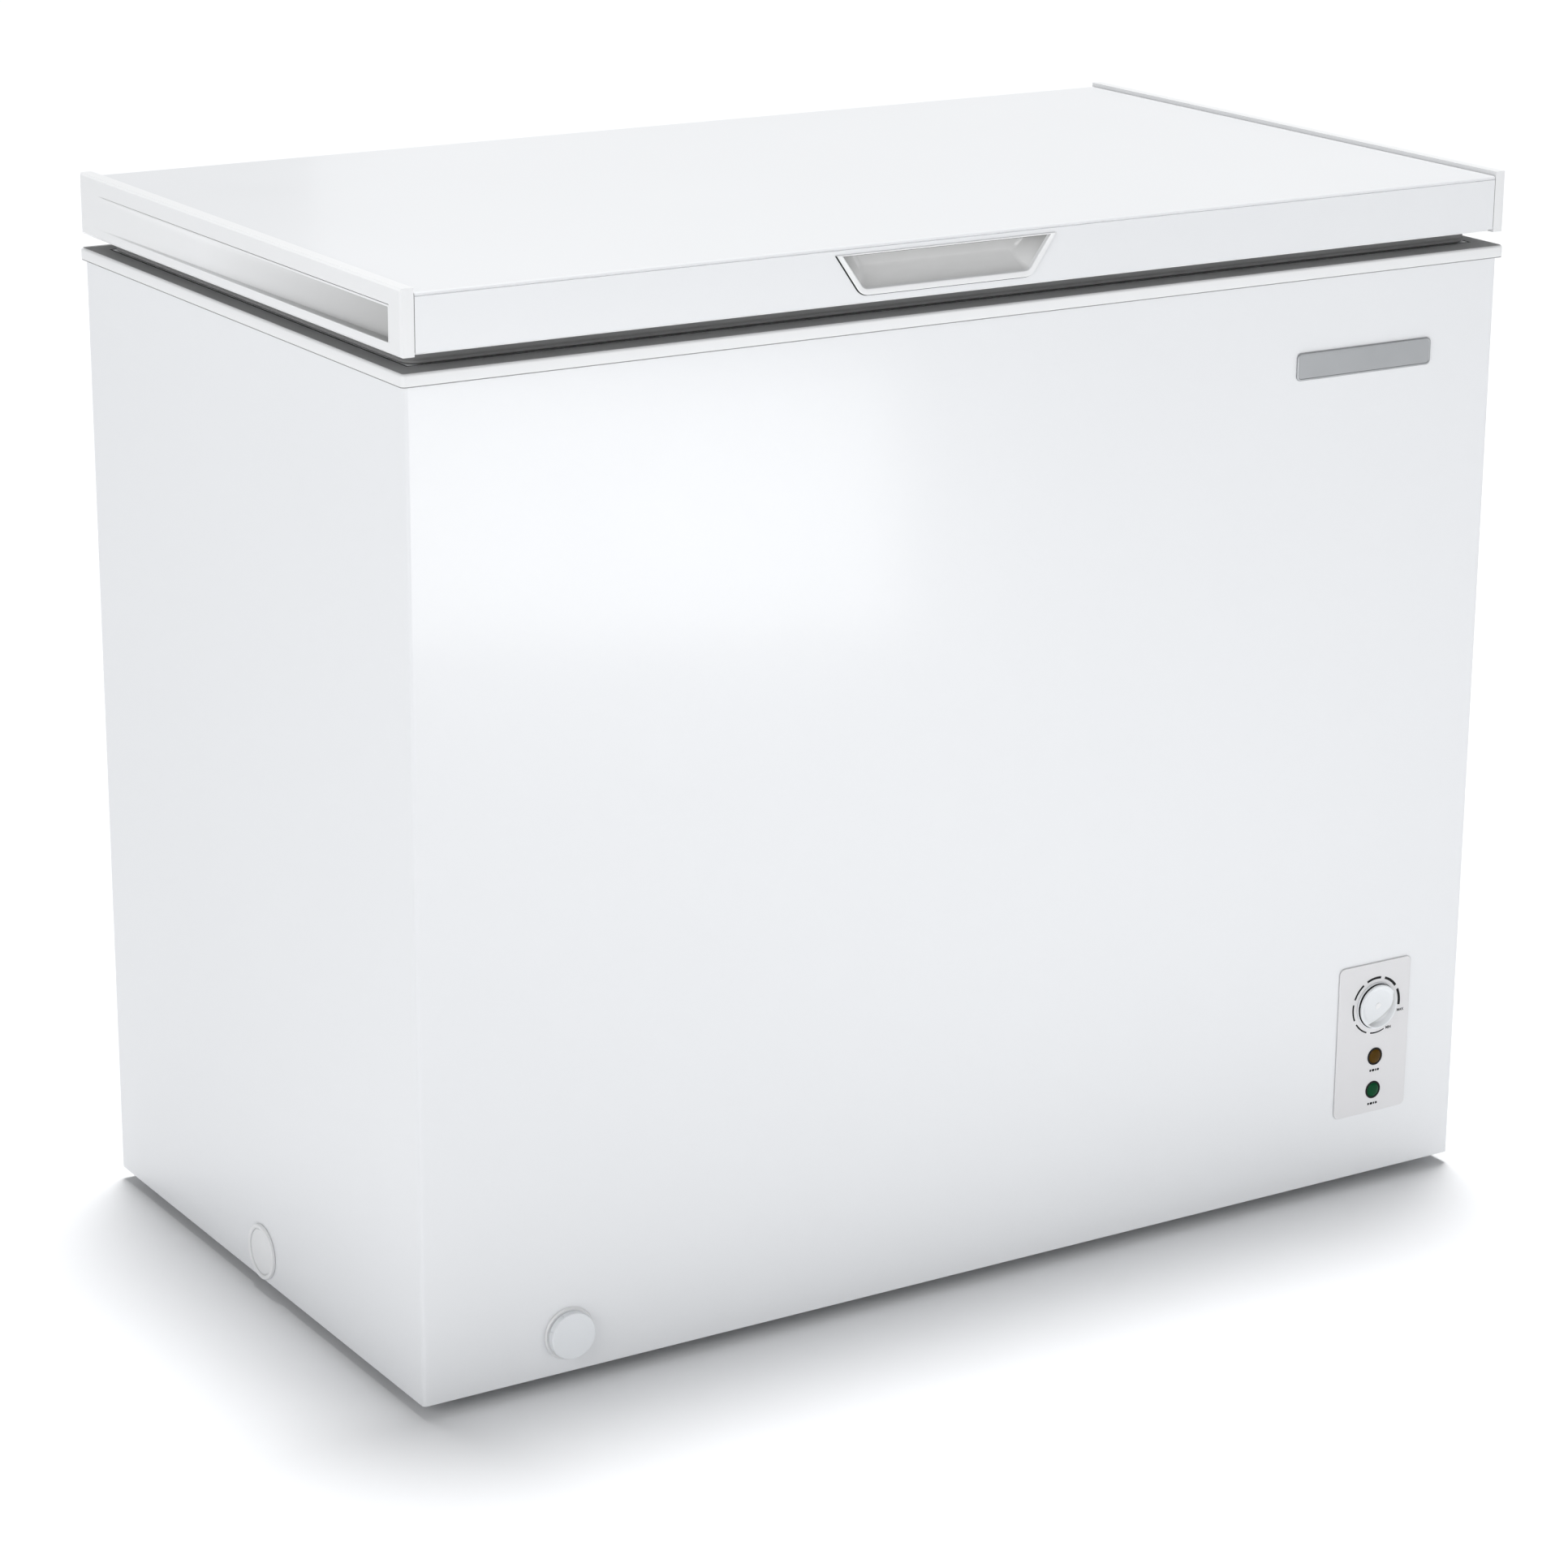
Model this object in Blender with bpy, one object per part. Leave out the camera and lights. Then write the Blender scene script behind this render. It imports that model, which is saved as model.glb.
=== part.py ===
"""Chest freezer: foamed cabinet, sprung lid, wire basket, drain and compressor room.

The origin is on the floor under the middle of the cabinet. X runs along the front,
-Y is the front, Z is up, and every size is in metres.
"""

import math

import bmesh
import bpy
from mathutils import Matrix, Vector

# ---------------------------------------------------------------- driving dimensions

# Cabinet
CABINET_WIDTH = 0.980
CABINET_DEPTH = 0.5465
CABINET_HEIGHT = 0.7713           # base edge to the lip of the top frame
SHEET = 0.0008                    # steel sheet of shell, rear panel, partition and liner
BASE_SHEET = 0.0012
SHELL_EDGE_RADIUS = 0.003         # upright front edges
GAP = 0.0003                      # between pieces that rest against each other

# Feet
FOOT_HEIGHT = 0.010
FOOT_RADIUS = 0.016
FOOT_STUD_RADIUS = 0.004
FOOT_INSET_X = 0.062
FOOT_INSET_Y = 0.060

# Top frame, the plastic collar that joins shell and liner
FRAME_OVERHANG = 0.004
FRAME_HEIGHT = 0.0092
FRAME_WALL = 0.0025
FRAME_LIP = 0.0035
FRAME_TOP_WIDTH = 0.048
FRAME_SLOPE = 0.002               # draft of its inner wall
FRAME_CORNER = 0.004
LEDGE_DROP = 0.0205               # top of the frame to the ledge that carries the basket
LEDGE_WIDTH = 0.016

# Liner
LINER_CORNER = 0.014
LINER_FLANGE = 0.011
FLOOR_INSULATION = 0.062
STEP_HEIGHT = 0.320               # base edge to the top of the step over the machine room
STEP_INSULATION = 0.060
RISER_INSULATION = 0.055

# Machine room, at the right end of the cabinet
ROOM_WIDTH = 0.220
COVER_OVERLAP = 0.008
COVER_SHEET = 0.0012
COVER_SLOTS = 9
COVER_SLOT_LENGTH = 0.060
SLOT_HEIGHT = 0.006
SLOT_PITCH = 0.016
GRILLE_LENGTH = 0.200
GRILLE_HEIGHT = 0.160
GRILLE_FROM_REAR = 0.075
GRILLE_Z = 0.140
GRILLE_SLOTS = 8
BASE_SLOTS = 4

# Compressor
COMPRESSOR_LENGTH = 0.190
COMPRESSOR_WIDTH = 0.156
COMPRESSOR_HEIGHT = 0.165
COMPRESSOR_FROM_REAR = 0.168
MOUNT_HEIGHT = 0.020              # base pan to the underside of the mounting plate
MOUNT_SHEET = 0.0025
MOUNT_SPAN_X = 0.172
MOUNT_SPAN_Y = 0.150
GROMMET_RADIUS = 0.0105
GROMMET_NECK = 0.0055
RELAY_SIZE = (0.056, 0.043, 0.070)

# Refrigerant circuit
TUBE_RADIUS = 0.003
TUBE_BEND = 0.016
CAPILLARY_RADIUS = 0.0012
EVAPORATOR_TURNS = 4
CONDENSER_RUNS = 4
DRIER_RADIUS = 0.009
DRIER_LENGTH = 0.080

# Thermostat panel, low on the right of the front
PANEL_WIDTH = 0.075
PANEL_HEIGHT = 0.133
PANEL_FROM_RIGHT = 0.0895
PANEL_Z = 0.131
PANEL_CORNER = 0.005
PANEL_PROUD = 0.0015
PANEL_DEPTH = 0.012
PANEL_WALL = 0.0025
PANEL_RIM = 0.003                 # width of its flange beyond the opening
KNOB_RADIUS = 0.0203
KNOB_HEIGHT = 0.0045
KNOB_OFFSET_X = 0.002
KNOB_Z = 0.1595
KNOB_SKIRT = 0.0012
GRIP_HALF_WIDTH = 0.004
GRIP_ANGLE = 45.0                 # degrees, right end up
SHAFT_RADIUS = 0.003
THERMOSTAT_SIZE = (0.040, 0.032, 0.040)
LENS_RADIUS = 0.0072
LENS_DOME = 0.0018
LAMP_RADIUS = 0.003
LAMP_LENGTH = 0.013
AMBER_OFFSET_X = 0.0033
AMBER_Z = 0.114
GREEN_OFFSET_X = 0.0028
GREEN_Z = 0.0843

# Drain, low on the left of the front
DRAIN_FROM_LEFT = 0.1235
DRAIN_Z = 0.0417
DRAIN_DIAL_RADIUS = 0.01875
DRAIN_DIAL_LENGTH = 0.0062
DRAIN_FLANGE_RADIUS = 0.0212
DRAIN_FLANGE_SHEET = 0.0013
DRAIN_NECK_RADIUS = 0.0135
DRAIN_NECK_LENGTH = 0.020
DRAIN_SEAL_RADIUS = 0.0112
DRAIN_HOSE_BORE = 0.009
DRAIN_INLET_FROM_FRONT = 0.083
DRAIN_PLUG_RADIUS = 0.0086
DRAIN_PLUG_FLANGE = 0.014
DRAIN_PLUG_HEIGHT = 0.016

# Plug over the foam filling hole in the left side
SIDE_PLUG_RADIUS = 0.0225
SIDE_PLUG_DISC = 0.019
SIDE_PLUG_NECK = 0.0165
SIDE_PLUG_PROUD = 0.0027
SIDE_PLUG_DEPTH = 0.015
SIDE_PLUG_Z = 0.0342

# Blank name badge, high on the right of the front
BADGE_LENGTH = 0.134
BADGE_HEIGHT = 0.022
BADGE_SHEET = 0.0014
BADGE_FROM_RIGHT = 0.132
BADGE_BELOW_LIP = 0.070

# Cord inlet gland, in the machine room cover
GLAND_RADIUS = 0.010
GLAND_NECK = 0.0062
GLAND_BORE = 0.0035
GLAND_LENGTH = 0.016
GLAND_INSET = 0.018
GLAND_Z = 0.038

# Lid
LID_GAP = 0.0135                  # top frame to the lid's front edge
LID_OVERHANG_FRONT = 0.00225
LID_OVERHANG_REAR = 0.00075
LID_RETURN = 0.006
LID_EDGE = 0.002                  # bend radius of its upper edges
LID_SHEET = 0.0008
CAP_WIDTH = 0.0104
CAP_OVERHANG = 0.0032             # cabinet side to the outer face of the cap
CAP_ABOVE = 0.0035
CAP_BELOW = 0.0025
CAP_RECESS_DEPTH = 0.006
CAP_RECESS_FRONT = 0.0175         # from the lid's front to the recess
CAP_RECESS_REAR = 0.035
CAP_RECESS_LOW = 0.0078           # above the cap's lower edge
CAP_RECESS_HEIGHT = 0.0272
LID_LINER_SHEET = 0.0015
LID_PLUG_DEPTH = 0.0245           # underside of the lid to the bottom of its plug
LID_PLUG_CLEARANCE = 0.008        # plug to the inner wall of the top frame
GASKET_WIDTH = 0.012
GASKET_INSET_X = 0.012            # from the cabinet side
GASKET_INSET_Y = 0.0193           # from the cabinet front

# Recessed grip in the lid's front, a little left of the middle
GRIP_CENTRE_X = -0.0424
GRIP_TOP_LENGTH = 0.1945
GRIP_BOTTOM_LENGTH = 0.1510
GRIP_CUP_HEIGHT = 0.031
GRIP_CUP_BELOW_TOP = 0.0065       # lid top to the upper edge of the bezel
GRIP_CUP_ABOVE_BOTTOM = 0.005     # lid's front edge to the lower edge of the bezel
GRIP_BEZEL = 0.0050
GRIP_BEZEL_TOP = 0.0012           # the bezel is narrow along its upper edge
GRIP_BEZEL_SHEET = 0.0012
GRIP_CUP_DEPTH = 0.020
GRIP_WALL = 0.0018
GRIP_CORNER = 0.012

# Hinges, on the rear panel
HINGE_FROM_SIDE = 0.160
HINGE_AXIS_BEHIND = 0.01235       # cabinet rear to the pin
HINGE_AXIS_ABOVE = 0.0065         # top of the frame to the pin
HINGE_PIN_RADIUS = 0.0016
HINGE_BARREL_RADIUS = 0.0038
HINGE_CHANNEL_DEPTH = 0.01755     # cabinet rear to the outer face of the channel
HINGE_CHANNEL_HALF = 0.0112
HINGE_CHANNEL_LENGTH = 0.125
HINGE_SHEET = 0.0012
HINGE_FLANGE = 0.018
HINGE_LEAF_HALF = 0.026
HINGE_LEAF_HEIGHT = 0.034
HINGE_LEAF_SHEET = 0.002
CAM_RADIUS = 0.0063
CAM_OFFSET = 0.0035
CAM_ANGLE = 50.0                  # degrees from straight down, towards the front
CAM_HALF_WIDTH = 0.0045
CAM_CLEARANCE = 0.0004
PLUNGER_LENGTH = 0.028
SPRING_RADIUS = 0.0040            # centre line of the wire
SPRING_WIRE = 0.0009
SPRING_TURNS = 8

# Basket
BASKET_LENGTH = 0.240
BASKET_HEIGHT = 0.190
BASKET_WALL = 0.003
BASKET_FROM_RIGHT = 0.018         # liner to basket
BASKET_SIDE_CLEARANCE = 0.010
BASKET_CORNER = 0.018
BASKET_HOOK = 0.014               # reach of its rails over the ledge
BASKET_RAIL = 0.004

# Fine sizes
CUT_PAST = 0.010               # how far a cutter runs past what it cuts
GRILLE_OVERLAP = 0.008         # side grille over the edge of its opening
GRILLE_CORNER = 0.006
GRILLE_PROUD = 0.0022          # grille's face off the shell
GRILLE_RIB = 0.006             # half the rib between its two columns of slots
GRILLE_BORDER = 0.014          # ends of the slots to the grille's edge
BASE_SLOT_HALF = 0.045
FOOT_CHAMFER = 0.002
FOOT_TAPER = 0.001
TUBE_PLAY = 0.0015             # hole in the partition round a tube
FOAM_PLAY = 0.0008             # foam round the drain line and the side plug
FRAME_EDGE = 0.0012            # chamfer of the top frame's outer edge
FRAME_INNER_EDGE = 0.001
CONDENSER_IN_FROM_REAR = 0.075
CONDENSER_OUT_FROM_REAR = 0.040
EVAPORATOR_IN_FROM_REAR = 0.120
EVAPORATOR_OUT_FROM_REAR = 0.170
COIL_ABOVE_STEP = 0.040
COIL_BELOW_LEDGE = 0.060
COIL_CLIMB = 0.15              # where the evaporator climbs on the rear wall
COIL_RETURN = 0.03
PIPE_STUB = 0.008              # tube ends below the top of the machine room
DRIER_ENTRY = 0.030
DRIER_FROM_WALL = 0.014
DRIER_DROP = 0.065
DRIER_NECK = 0.012
MOUNT_MARGIN = 0.001           # compressor plate beyond its grommets
GROMMET_CAP = 0.004
GROMMET_CAP_RADIUS = GROMMET_RADIUS - 0.002
CAP_TAPER = 0.001
RELAY_EDGE = 0.003
CAPILLARY_DIP = 0.030
CAPILLARY_FORWARD = 0.055
CAPILLARY_SIDESTEP = 0.004
CAPILLARY_TURN = 0.070
CAPILLARY_JOIN = 0.060
CAPILLARY_BEND = 0.006
SUCTION_DROP = 0.022
SUCTION_OFFSET = 0.012
DISCHARGE_DROP = 0.030
DISCHARGE_OFFSET = 0.018
PIPE_BEND = 0.008
COVER_INSET = 0.0015           # rear cover in from the corner of the shell
COVER_LIFT = 0.002
COVER_SLOTS_UP = 0.012         # slots above the middle of the cover
COVER_RIB = 0.008
GLAND_FLANGE = 0.002
GLAND_PROUD = 0.004
GLAND_TAPER = 0.001
GLAND_WALL = 0.0015
PANEL_EDGE = 0.0008
PANEL_INNER_CORNER = 0.002
SHAFT_PLAY = 0.0015
THERMOSTAT_EDGE = 0.002
KNOB_CROWN = 0.0012             # solid plastic over the end of the shaft
KNOB_DRAFT = 0.0006
KNOB_CHAMFER = 0.0008
SCOOP_PAST = 0.004
SCOOP_LEAN = 0.0015
SCOOP_EASE = 0.0015
LENS_DEPTH = 0.0045
LAMP_ROUND = 0.001
DRAIN_BEND_SPARE = 0.001
DRAIN_CHAMFER = 0.001
DRAIN_SEAL_TIP = 0.003
DRAIN_SEAL_TAPER = 0.002
DIAL_EDGE = 0.0008
DIAL_RIM = 0.004
DIAL_NOTCH = 0.0035
DIAL_NOTCH_HALF = 0.0007
DRAIN_PLUG_REACH = 0.010
DRAIN_PLUG_SHEET = 0.003
PLUG_STEM = 0.005
PLUG_KNOB = 0.0065
PLUG_KNOB_HEIGHT = 0.010
PLUG_TAPER = 0.001
SIDE_PLUG_SUNK = 0.0012        # disc below the ring
BADGE_EDGE = 0.0006
BADGE_CORNER = 0.004
GRIP_LEAST_CORNER = 0.002
GRIP_EDGE = 0.0006
GRIP_UNDERCUT = 0.0038         # cup above the grip's upper edge
GRIP_LIP = 0.003               # upper edge that the fingers pull
GRIP_LIP_DEPTH = 0.003
CAP_EDGE = 0.0015
CAP_RECESS_FLAT = 0.020
LID_PLUG_CORNER = 0.012
LID_PLUG_DRAFT = 0.002
LID_LINER_CORNER = 0.003
LID_LINER_INSET = 0.0008
BOSS_OVERLAP = 0.004
GASKET_LIP = 0.001
GASKET_CORNER = 0.014
HINGE_BELOW_LIP = 0.001
HINGE_EAR_RISE = 0.0052
HINGE_EAR_OVERLAP = 0.012
HINGE_CLEARANCE = 0.0008       # ears off the top frame
HINGE_LEAF_RISE = 0.0085
HINGE_PIN_PROUD = 0.0015
ARM_HALF = 0.003
ARM_SUNK = 0.001
ARM_ON_LEAF = 0.008
PLUNGER_CLEARANCE = 0.0010
PLUNGER_EDGE = 0.0008
BASKET_DRAFT = 0.008
BASKET_RAIL_CORNER = 0.006

# ---------------------------------------------------------------- worked-out places

HALF_X = CABINET_WIDTH / 2
HALF_Y = CABINET_DEPTH / 2
INNER_X = HALF_X - SHEET
INNER_Y = HALF_Y - SHEET
BASE_Z = FOOT_HEIGHT
PAN_TOP = BASE_Z + BASE_SHEET
LIP_Z = BASE_Z + CABINET_HEIGHT
FRAME_TOP = LIP_Z + FRAME_HEIGHT
SHELL_TOP = FRAME_TOP - FRAME_WALL - GAP
LEDGE_Z = FRAME_TOP - LEDGE_DROP
LEDGE_UNDER = LEDGE_Z - FRAME_WALL

FRAME_X = HALF_X + FRAME_OVERHANG
FRAME_Y = HALF_Y + FRAME_OVERHANG
FRAME_REACH = FRAME_TOP_WIDTH + FRAME_SLOPE + LEDGE_WIDTH
LINER_X = FRAME_X - FRAME_REACH
LINER_Y = FRAME_Y - FRAME_REACH
LINER_FLOOR = BASE_Z + FLOOR_INSULATION
LINER_TOP = LEDGE_UNDER - GAP
STEP_TOP = BASE_Z + STEP_HEIGHT
ROOM_TOP = STEP_TOP - STEP_INSULATION
ROOM_LEFT = HALF_X - ROOM_WIDTH
ROOM_X = (ROOM_LEFT + INNER_X) / 2
STEP_X = ROOM_LEFT - RISER_INSULATION

LID_FRONT = -HALF_Y - LID_OVERHANG_FRONT
LID_REAR = HALF_Y + LID_OVERHANG_REAR
LID_BOTTOM = FRAME_TOP + LID_GAP
LID_TOP = LID_BOTTOM + GRIP_CUP_ABOVE_BOTTOM + GRIP_CUP_HEIGHT + GRIP_CUP_BELOW_TOP
CAP_OUTER = HALF_X + CAP_OVERHANG
LID_HALF_X = CAP_OUTER - CAP_WIDTH - GAP
CAP_BOTTOM = LID_BOTTOM - CAP_BELOW
CAP_TOP = LID_TOP + CAP_ABOVE

PANEL_X = HALF_X - PANEL_FROM_RIGHT
PANEL_FACE = -HALF_Y - PANEL_PROUD
KNOB_X = PANEL_X + KNOB_OFFSET_X
DRAIN_X = DRAIN_FROM_LEFT - HALF_X
DRAIN_INLET_Y = DRAIN_INLET_FROM_FRONT - HALF_Y
COMPRESSOR_Y = HALF_Y - COMPRESSOR_FROM_REAR
COMPRESSOR_BASE = PAN_TOP + MOUNT_HEIGHT + MOUNT_SHEET + GAP

HINGE_X = HALF_X - HINGE_FROM_SIDE
HINGE_Y = HALF_Y + HINGE_AXIS_BEHIND
HINGE_Z = FRAME_TOP + HINGE_AXIS_ABOVE
CAM_CENTRE_Z = HINGE_Z - CAM_OFFSET * math.cos(math.radians(CAM_ANGLE))
CAM_CENTRE_Y = HINGE_Y - CAM_OFFSET * math.sin(math.radians(CAM_ANGLE))
PLUNGER_TOP = CAM_CENTRE_Z - CAM_RADIUS - CAM_CLEARANCE
CHANNEL_BACK = HALF_Y + HINGE_CHANNEL_DEPTH
CHANNEL_MID = (HALF_Y + FRAME_OVERHANG + CHANNEL_BACK - HINGE_SHEET) / 2
CHANNEL_TOP = LIP_Z + 0.004
CHANNEL_BOTTOM = CHANNEL_TOP - HINGE_CHANNEL_LENGTH

BASKET_RIGHT = LINER_X - BASKET_FROM_RIGHT
BASKET_X = BASKET_RIGHT - BASKET_LENGTH / 2
BASKET_Y = LINER_Y - BASKET_SIDE_CLEARANCE
BASKET_TOP = LEDGE_Z + GAP + BASKET_RAIL

# ---------------------------------------------------------------- finishes

FINISHES = {
    "white_paint": ((0.86, 0.87, 0.88), 0.30, 0.0),
    "white_plastic": ((0.84, 0.85, 0.86), 0.42, 0.0),
    "grey_plastic": ((0.30, 0.31, 0.32), 0.50, 0.0),
    "gasket_grey": ((0.18, 0.18, 0.18), 0.65, 0.0),
    "black_plastic": ((0.03, 0.03, 0.03), 0.45, 0.0),
    "zinc_steel": ((0.62, 0.63, 0.64), 0.35, 1.0),
    "black_paint": ((0.02, 0.02, 0.02), 0.40, 0.0),
    "liner_aluminium": ((0.82, 0.83, 0.84), 0.38, 0.6),
    "copper": ((0.72, 0.38, 0.22), 0.30, 1.0),
    "foam": ((0.80, 0.72, 0.48), 0.90, 0.0),
    "rubber": ((0.04, 0.04, 0.04), 0.80, 0.0),
    "amber": ((0.42, 0.20, 0.02), 0.12, 0.0),
    "green": ((0.01, 0.33, 0.16), 0.12, 0.0),
    "frosted": ((0.75, 0.75, 0.70), 0.30, 0.0),
    "chrome": ((0.80, 0.81, 0.82), 0.12, 1.0),
}


def finish(name):
    """Return the named material, made on first use."""
    found = bpy.data.materials.get(name)
    if found:
        return found
    colour, roughness, metallic = FINISHES[name]
    made = bpy.data.materials.new(name)
    made.use_nodes = True
    shader = made.node_tree.nodes["Principled BSDF"]
    shader.inputs["Base Color"].default_value = (*colour, 1.0)
    shader.inputs["Roughness"].default_value = roughness
    shader.inputs["Metallic"].default_value = metallic
    made.diffuse_color = (*colour, 1.0)
    return made


# ---------------------------------------------------------------- shape helpers


def on_axis(axis, across, up, along):
    """Return a 3-D point from two plane coordinates and one along the axis."""
    if axis == "X":
        return Vector((along, across, up))
    if axis == "Y":
        return Vector((across, along, up))
    return Vector((across, up, along))


def add_box(bm, low, high):
    """Add a block between two corners."""
    size = [high[i] - low[i] for i in range(3)]
    centre = [(high[i] + low[i]) / 2 for i in range(3)]
    place = Matrix.Translation(centre) @ Matrix.Diagonal((*size, 1.0))
    bmesh.ops.create_cube(bm, size=1.0, matrix=place)


def add_loft(bm, loops, closed=False):
    """Join point loops of equal length into one skin, capped unless it closes on itself."""
    rings = [[bm.verts.new(point) for point in loop] for loop in loops]
    pairs = list(zip(rings, rings[1:]))
    if closed:
        pairs.append((rings[-1], rings[0]))
    for lower, upper in pairs:
        for i in range(len(lower)):
            j = (i + 1) % len(lower)
            bm.faces.new((lower[i], lower[j], upper[j], upper[i]))
    if not closed:
        bm.faces.new(list(reversed(rings[0])))
        bm.faces.new(rings[-1])


def add_prism(bm, outline, low, high, axis="Z"):
    """Add a flat outline extruded along an axis."""
    add_loft(bm, [[on_axis(axis, a, b, level) for a, b in outline] for level in (low, high)])


def add_turned(bm, profile, segments, centre, axis="Z", scale=(1.0, 1.0), closed=False):
    """Turn a profile of (radius, place along the axis) pairs about an axis."""
    rings = []
    for radius, along in profile:
        if radius == 0.0:
            rings.append([bm.verts.new(on_axis(axis, centre[0], centre[1], along))])
            continue
        ring = []
        for i in range(segments):
            angle = 2 * math.pi * i / segments
            across = centre[0] + radius * scale[0] * math.cos(angle)
            up = centre[1] + radius * scale[1] * math.sin(angle)
            ring.append(bm.verts.new(on_axis(axis, across, up, along)))
        rings.append(ring)
    pairs = list(zip(rings, rings[1:]))
    if closed:
        pairs.append((rings[-1], rings[0]))
    for lower, upper in pairs:
        for i in range(segments):
            j = (i + 1) % segments
            corners = [lower[i % len(lower)], lower[j % len(lower)]]
            corners += [upper[j % len(upper)], upper[i % len(upper)]]
            bm.faces.new(list(dict.fromkeys(corners)))


def add_rod(bm, radius, low, high, centre, axis="Z", segments=16):
    """Add a plain round rod."""
    add_turned(bm, [(0.0, low), (radius, low), (radius, high), (0.0, high)], segments, centre, axis)


def add_sweep(bm, points, radius, sides):
    """Sweep a regular section along a path, keeping its flats square to the path."""
    points = [Vector(point) for point in points]
    steps = [(b - a).normalized() for a, b in zip(points, points[1:])]
    tangents = [steps[0]]
    tangents += [(a + b).normalized() for a, b in zip(steps, steps[1:])]
    tangents.append(steps[-1])
    side = Vector((1.0, 0.0, 0.0)) if abs(steps[0].x) < 0.9 else Vector((0.0, 1.0, 0.0))
    side = (side - side.dot(tangents[0]) * tangents[0]).normalized()
    loops = []
    for i, point in enumerate(points):
        if i:
            turn = tangents[i - 1].rotation_difference(tangents[i])
            side = turn @ side
        other = tangents[i].cross(side)
        loop = []
        for k in range(sides):
            angle = 2 * math.pi * (k + 0.5) / sides
            loop.append(point + radius * (math.cos(angle) * side + math.sin(angle) * other))
        loops.append(loop)
    add_loft(bm, loops)


def arc(centre, radius, start, end, steps):
    """Return points on an arc, angles in degrees."""
    points = []
    for i in range(steps + 1):
        angle = math.radians(start + (end - start) * i / steps)
        points.append((centre[0] + radius * math.cos(angle), centre[1] + radius * math.sin(angle)))
    return points


def rounded_rectangle(half_x, half_y, radius, steps=3, centre=(0.0, 0.0)):
    """Return the outline of a rectangle with round corners, front left corner first."""
    x, y = half_x - radius, half_y - radius
    points = []
    for corner_x, corner_y, start in ((-x, -y, 180), (x, -y, 270), (x, y, 0), (-x, y, 90)):
        place = (centre[0] + corner_x, centre[1] + corner_y)
        points += arc(place, radius, start, start + 90, steps)
    return points


def rounded_path(corners, radius, steps=3):
    """Replace the inner corners of a path by bends of the given radius."""
    corners = [Vector(corner) for corner in corners]
    path = [corners[0]]
    for before, corner, after in zip(corners, corners[1:], corners[2:]):
        incoming = (corner - before).normalized()
        outgoing = (after - corner).normalized()
        turn = incoming.angle(outgoing)
        reach = radius * math.tan(turn / 2)
        start = corner - incoming * reach
        inward = (outgoing - incoming * incoming.dot(outgoing)).normalized()
        for i in range(steps + 1):
            angle = turn * i / steps
            offset = incoming * math.sin(angle) + inward * (1 - math.cos(angle))
            path.append(start + radius * offset)
    path.append(corners[-1])
    return path


def add_stepped_block(bm, grow, floor, step, top, flange=None):
    """Add the block that fills the liner, grown sideways, with its step at the right.

    The flange is a (width, thickness) pair for a rim turned out at the top.
    """
    outline = rounded_rectangle(LINER_X + grow, LINER_Y + grow, LINER_CORNER + grow)
    quarter = len(outline) // 4
    left_front, right = outline[:quarter], outline[quarter:3 * quarter]
    left_rear = outline[3 * quarter:]
    edge_x = STEP_X + grow
    low_outline = left_front + [(edge_x, -LINER_Y - grow), (edge_x, LINER_Y + grow)] + left_rear
    bottom = [bm.verts.new((x, y, floor)) for x, y in low_outline]
    middle = [bm.verts.new((x, y, step)) for x, y in low_outline]
    ledge = [bm.verts.new((x, y, step)) for x, y in right]
    bm.faces.new(list(reversed(bottom)))
    for i in range(len(bottom)):
        j = (i + 1) % len(bottom)
        bm.faces.new((bottom[i], bottom[j], middle[j], middle[i]))
    front_corner, rear_corner = middle[quarter], middle[quarter + 1]
    bm.faces.new([rear_corner] + list(reversed(ledge)) + [front_corner])
    upper_low = middle[:quarter] + ledge + middle[quarter + 2:]
    rim = top - (flange[1] if flange else 0.0)
    upper_top = [bm.verts.new((x, y, rim)) for x, y in outline]
    for i in range(len(outline)):
        j = (i + 1) % len(outline)
        face = [upper_low[i], upper_low[j], upper_top[j], upper_top[i]]
        if i == quarter - 1:
            face.insert(1, front_corner)
        if i == 3 * quarter - 1:
            face.insert(1, rear_corner)
        bm.faces.new(face)
    if flange:
        wide = grow + flange[0]
        outer = rounded_rectangle(LINER_X + wide, LINER_Y + wide, LINER_CORNER + wide)
        for level in (rim, top):
            ring = [bm.verts.new((x, y, level)) for x, y in outer]
            for i in range(len(outer)):
                j = (i + 1) % len(outer)
                bm.faces.new((upper_top[i], upper_top[j], ring[j], ring[i]))
            upper_top = ring
    bm.faces.new(upper_top)


def centre_of(bm):
    """Return the middle of a mesh's box."""
    low = [min(vert.co[i] for vert in bm.verts) for i in range(3)]
    high = [max(vert.co[i] for vert in bm.verts) for i in range(3)]
    return Vector([(low[i] + high[i]) / 2 for i in range(3)])


def to_object(name, bm, pivot):
    """Turn a mesh built in place into an object with its origin at its middle or pivot."""
    bmesh.ops.recalc_face_normals(bm, faces=bm.faces)
    origin = pivot.location.copy() if pivot else centre_of(bm)
    bmesh.ops.translate(bm, verts=bm.verts, vec=-origin)
    mesh = bpy.data.meshes.new(name)
    bm.to_mesh(mesh)
    bm.free()
    made = bpy.data.objects.new(name, mesh)
    bpy.context.scene.collection.objects.link(made)
    if pivot:
        made.parent = pivot
    else:
        made.location = origin
    return made


def piece(name, bm, finish_name, pivot=None, round_piece=False):
    """Make one named sub-part."""
    made = to_object(name, bm, pivot)
    made.data.materials.append(finish(finish_name))
    if round_piece:
        made.data.shade_smooth()
        made.data.set_sharp_from_angle(angle=math.radians(35))
    return made


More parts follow.
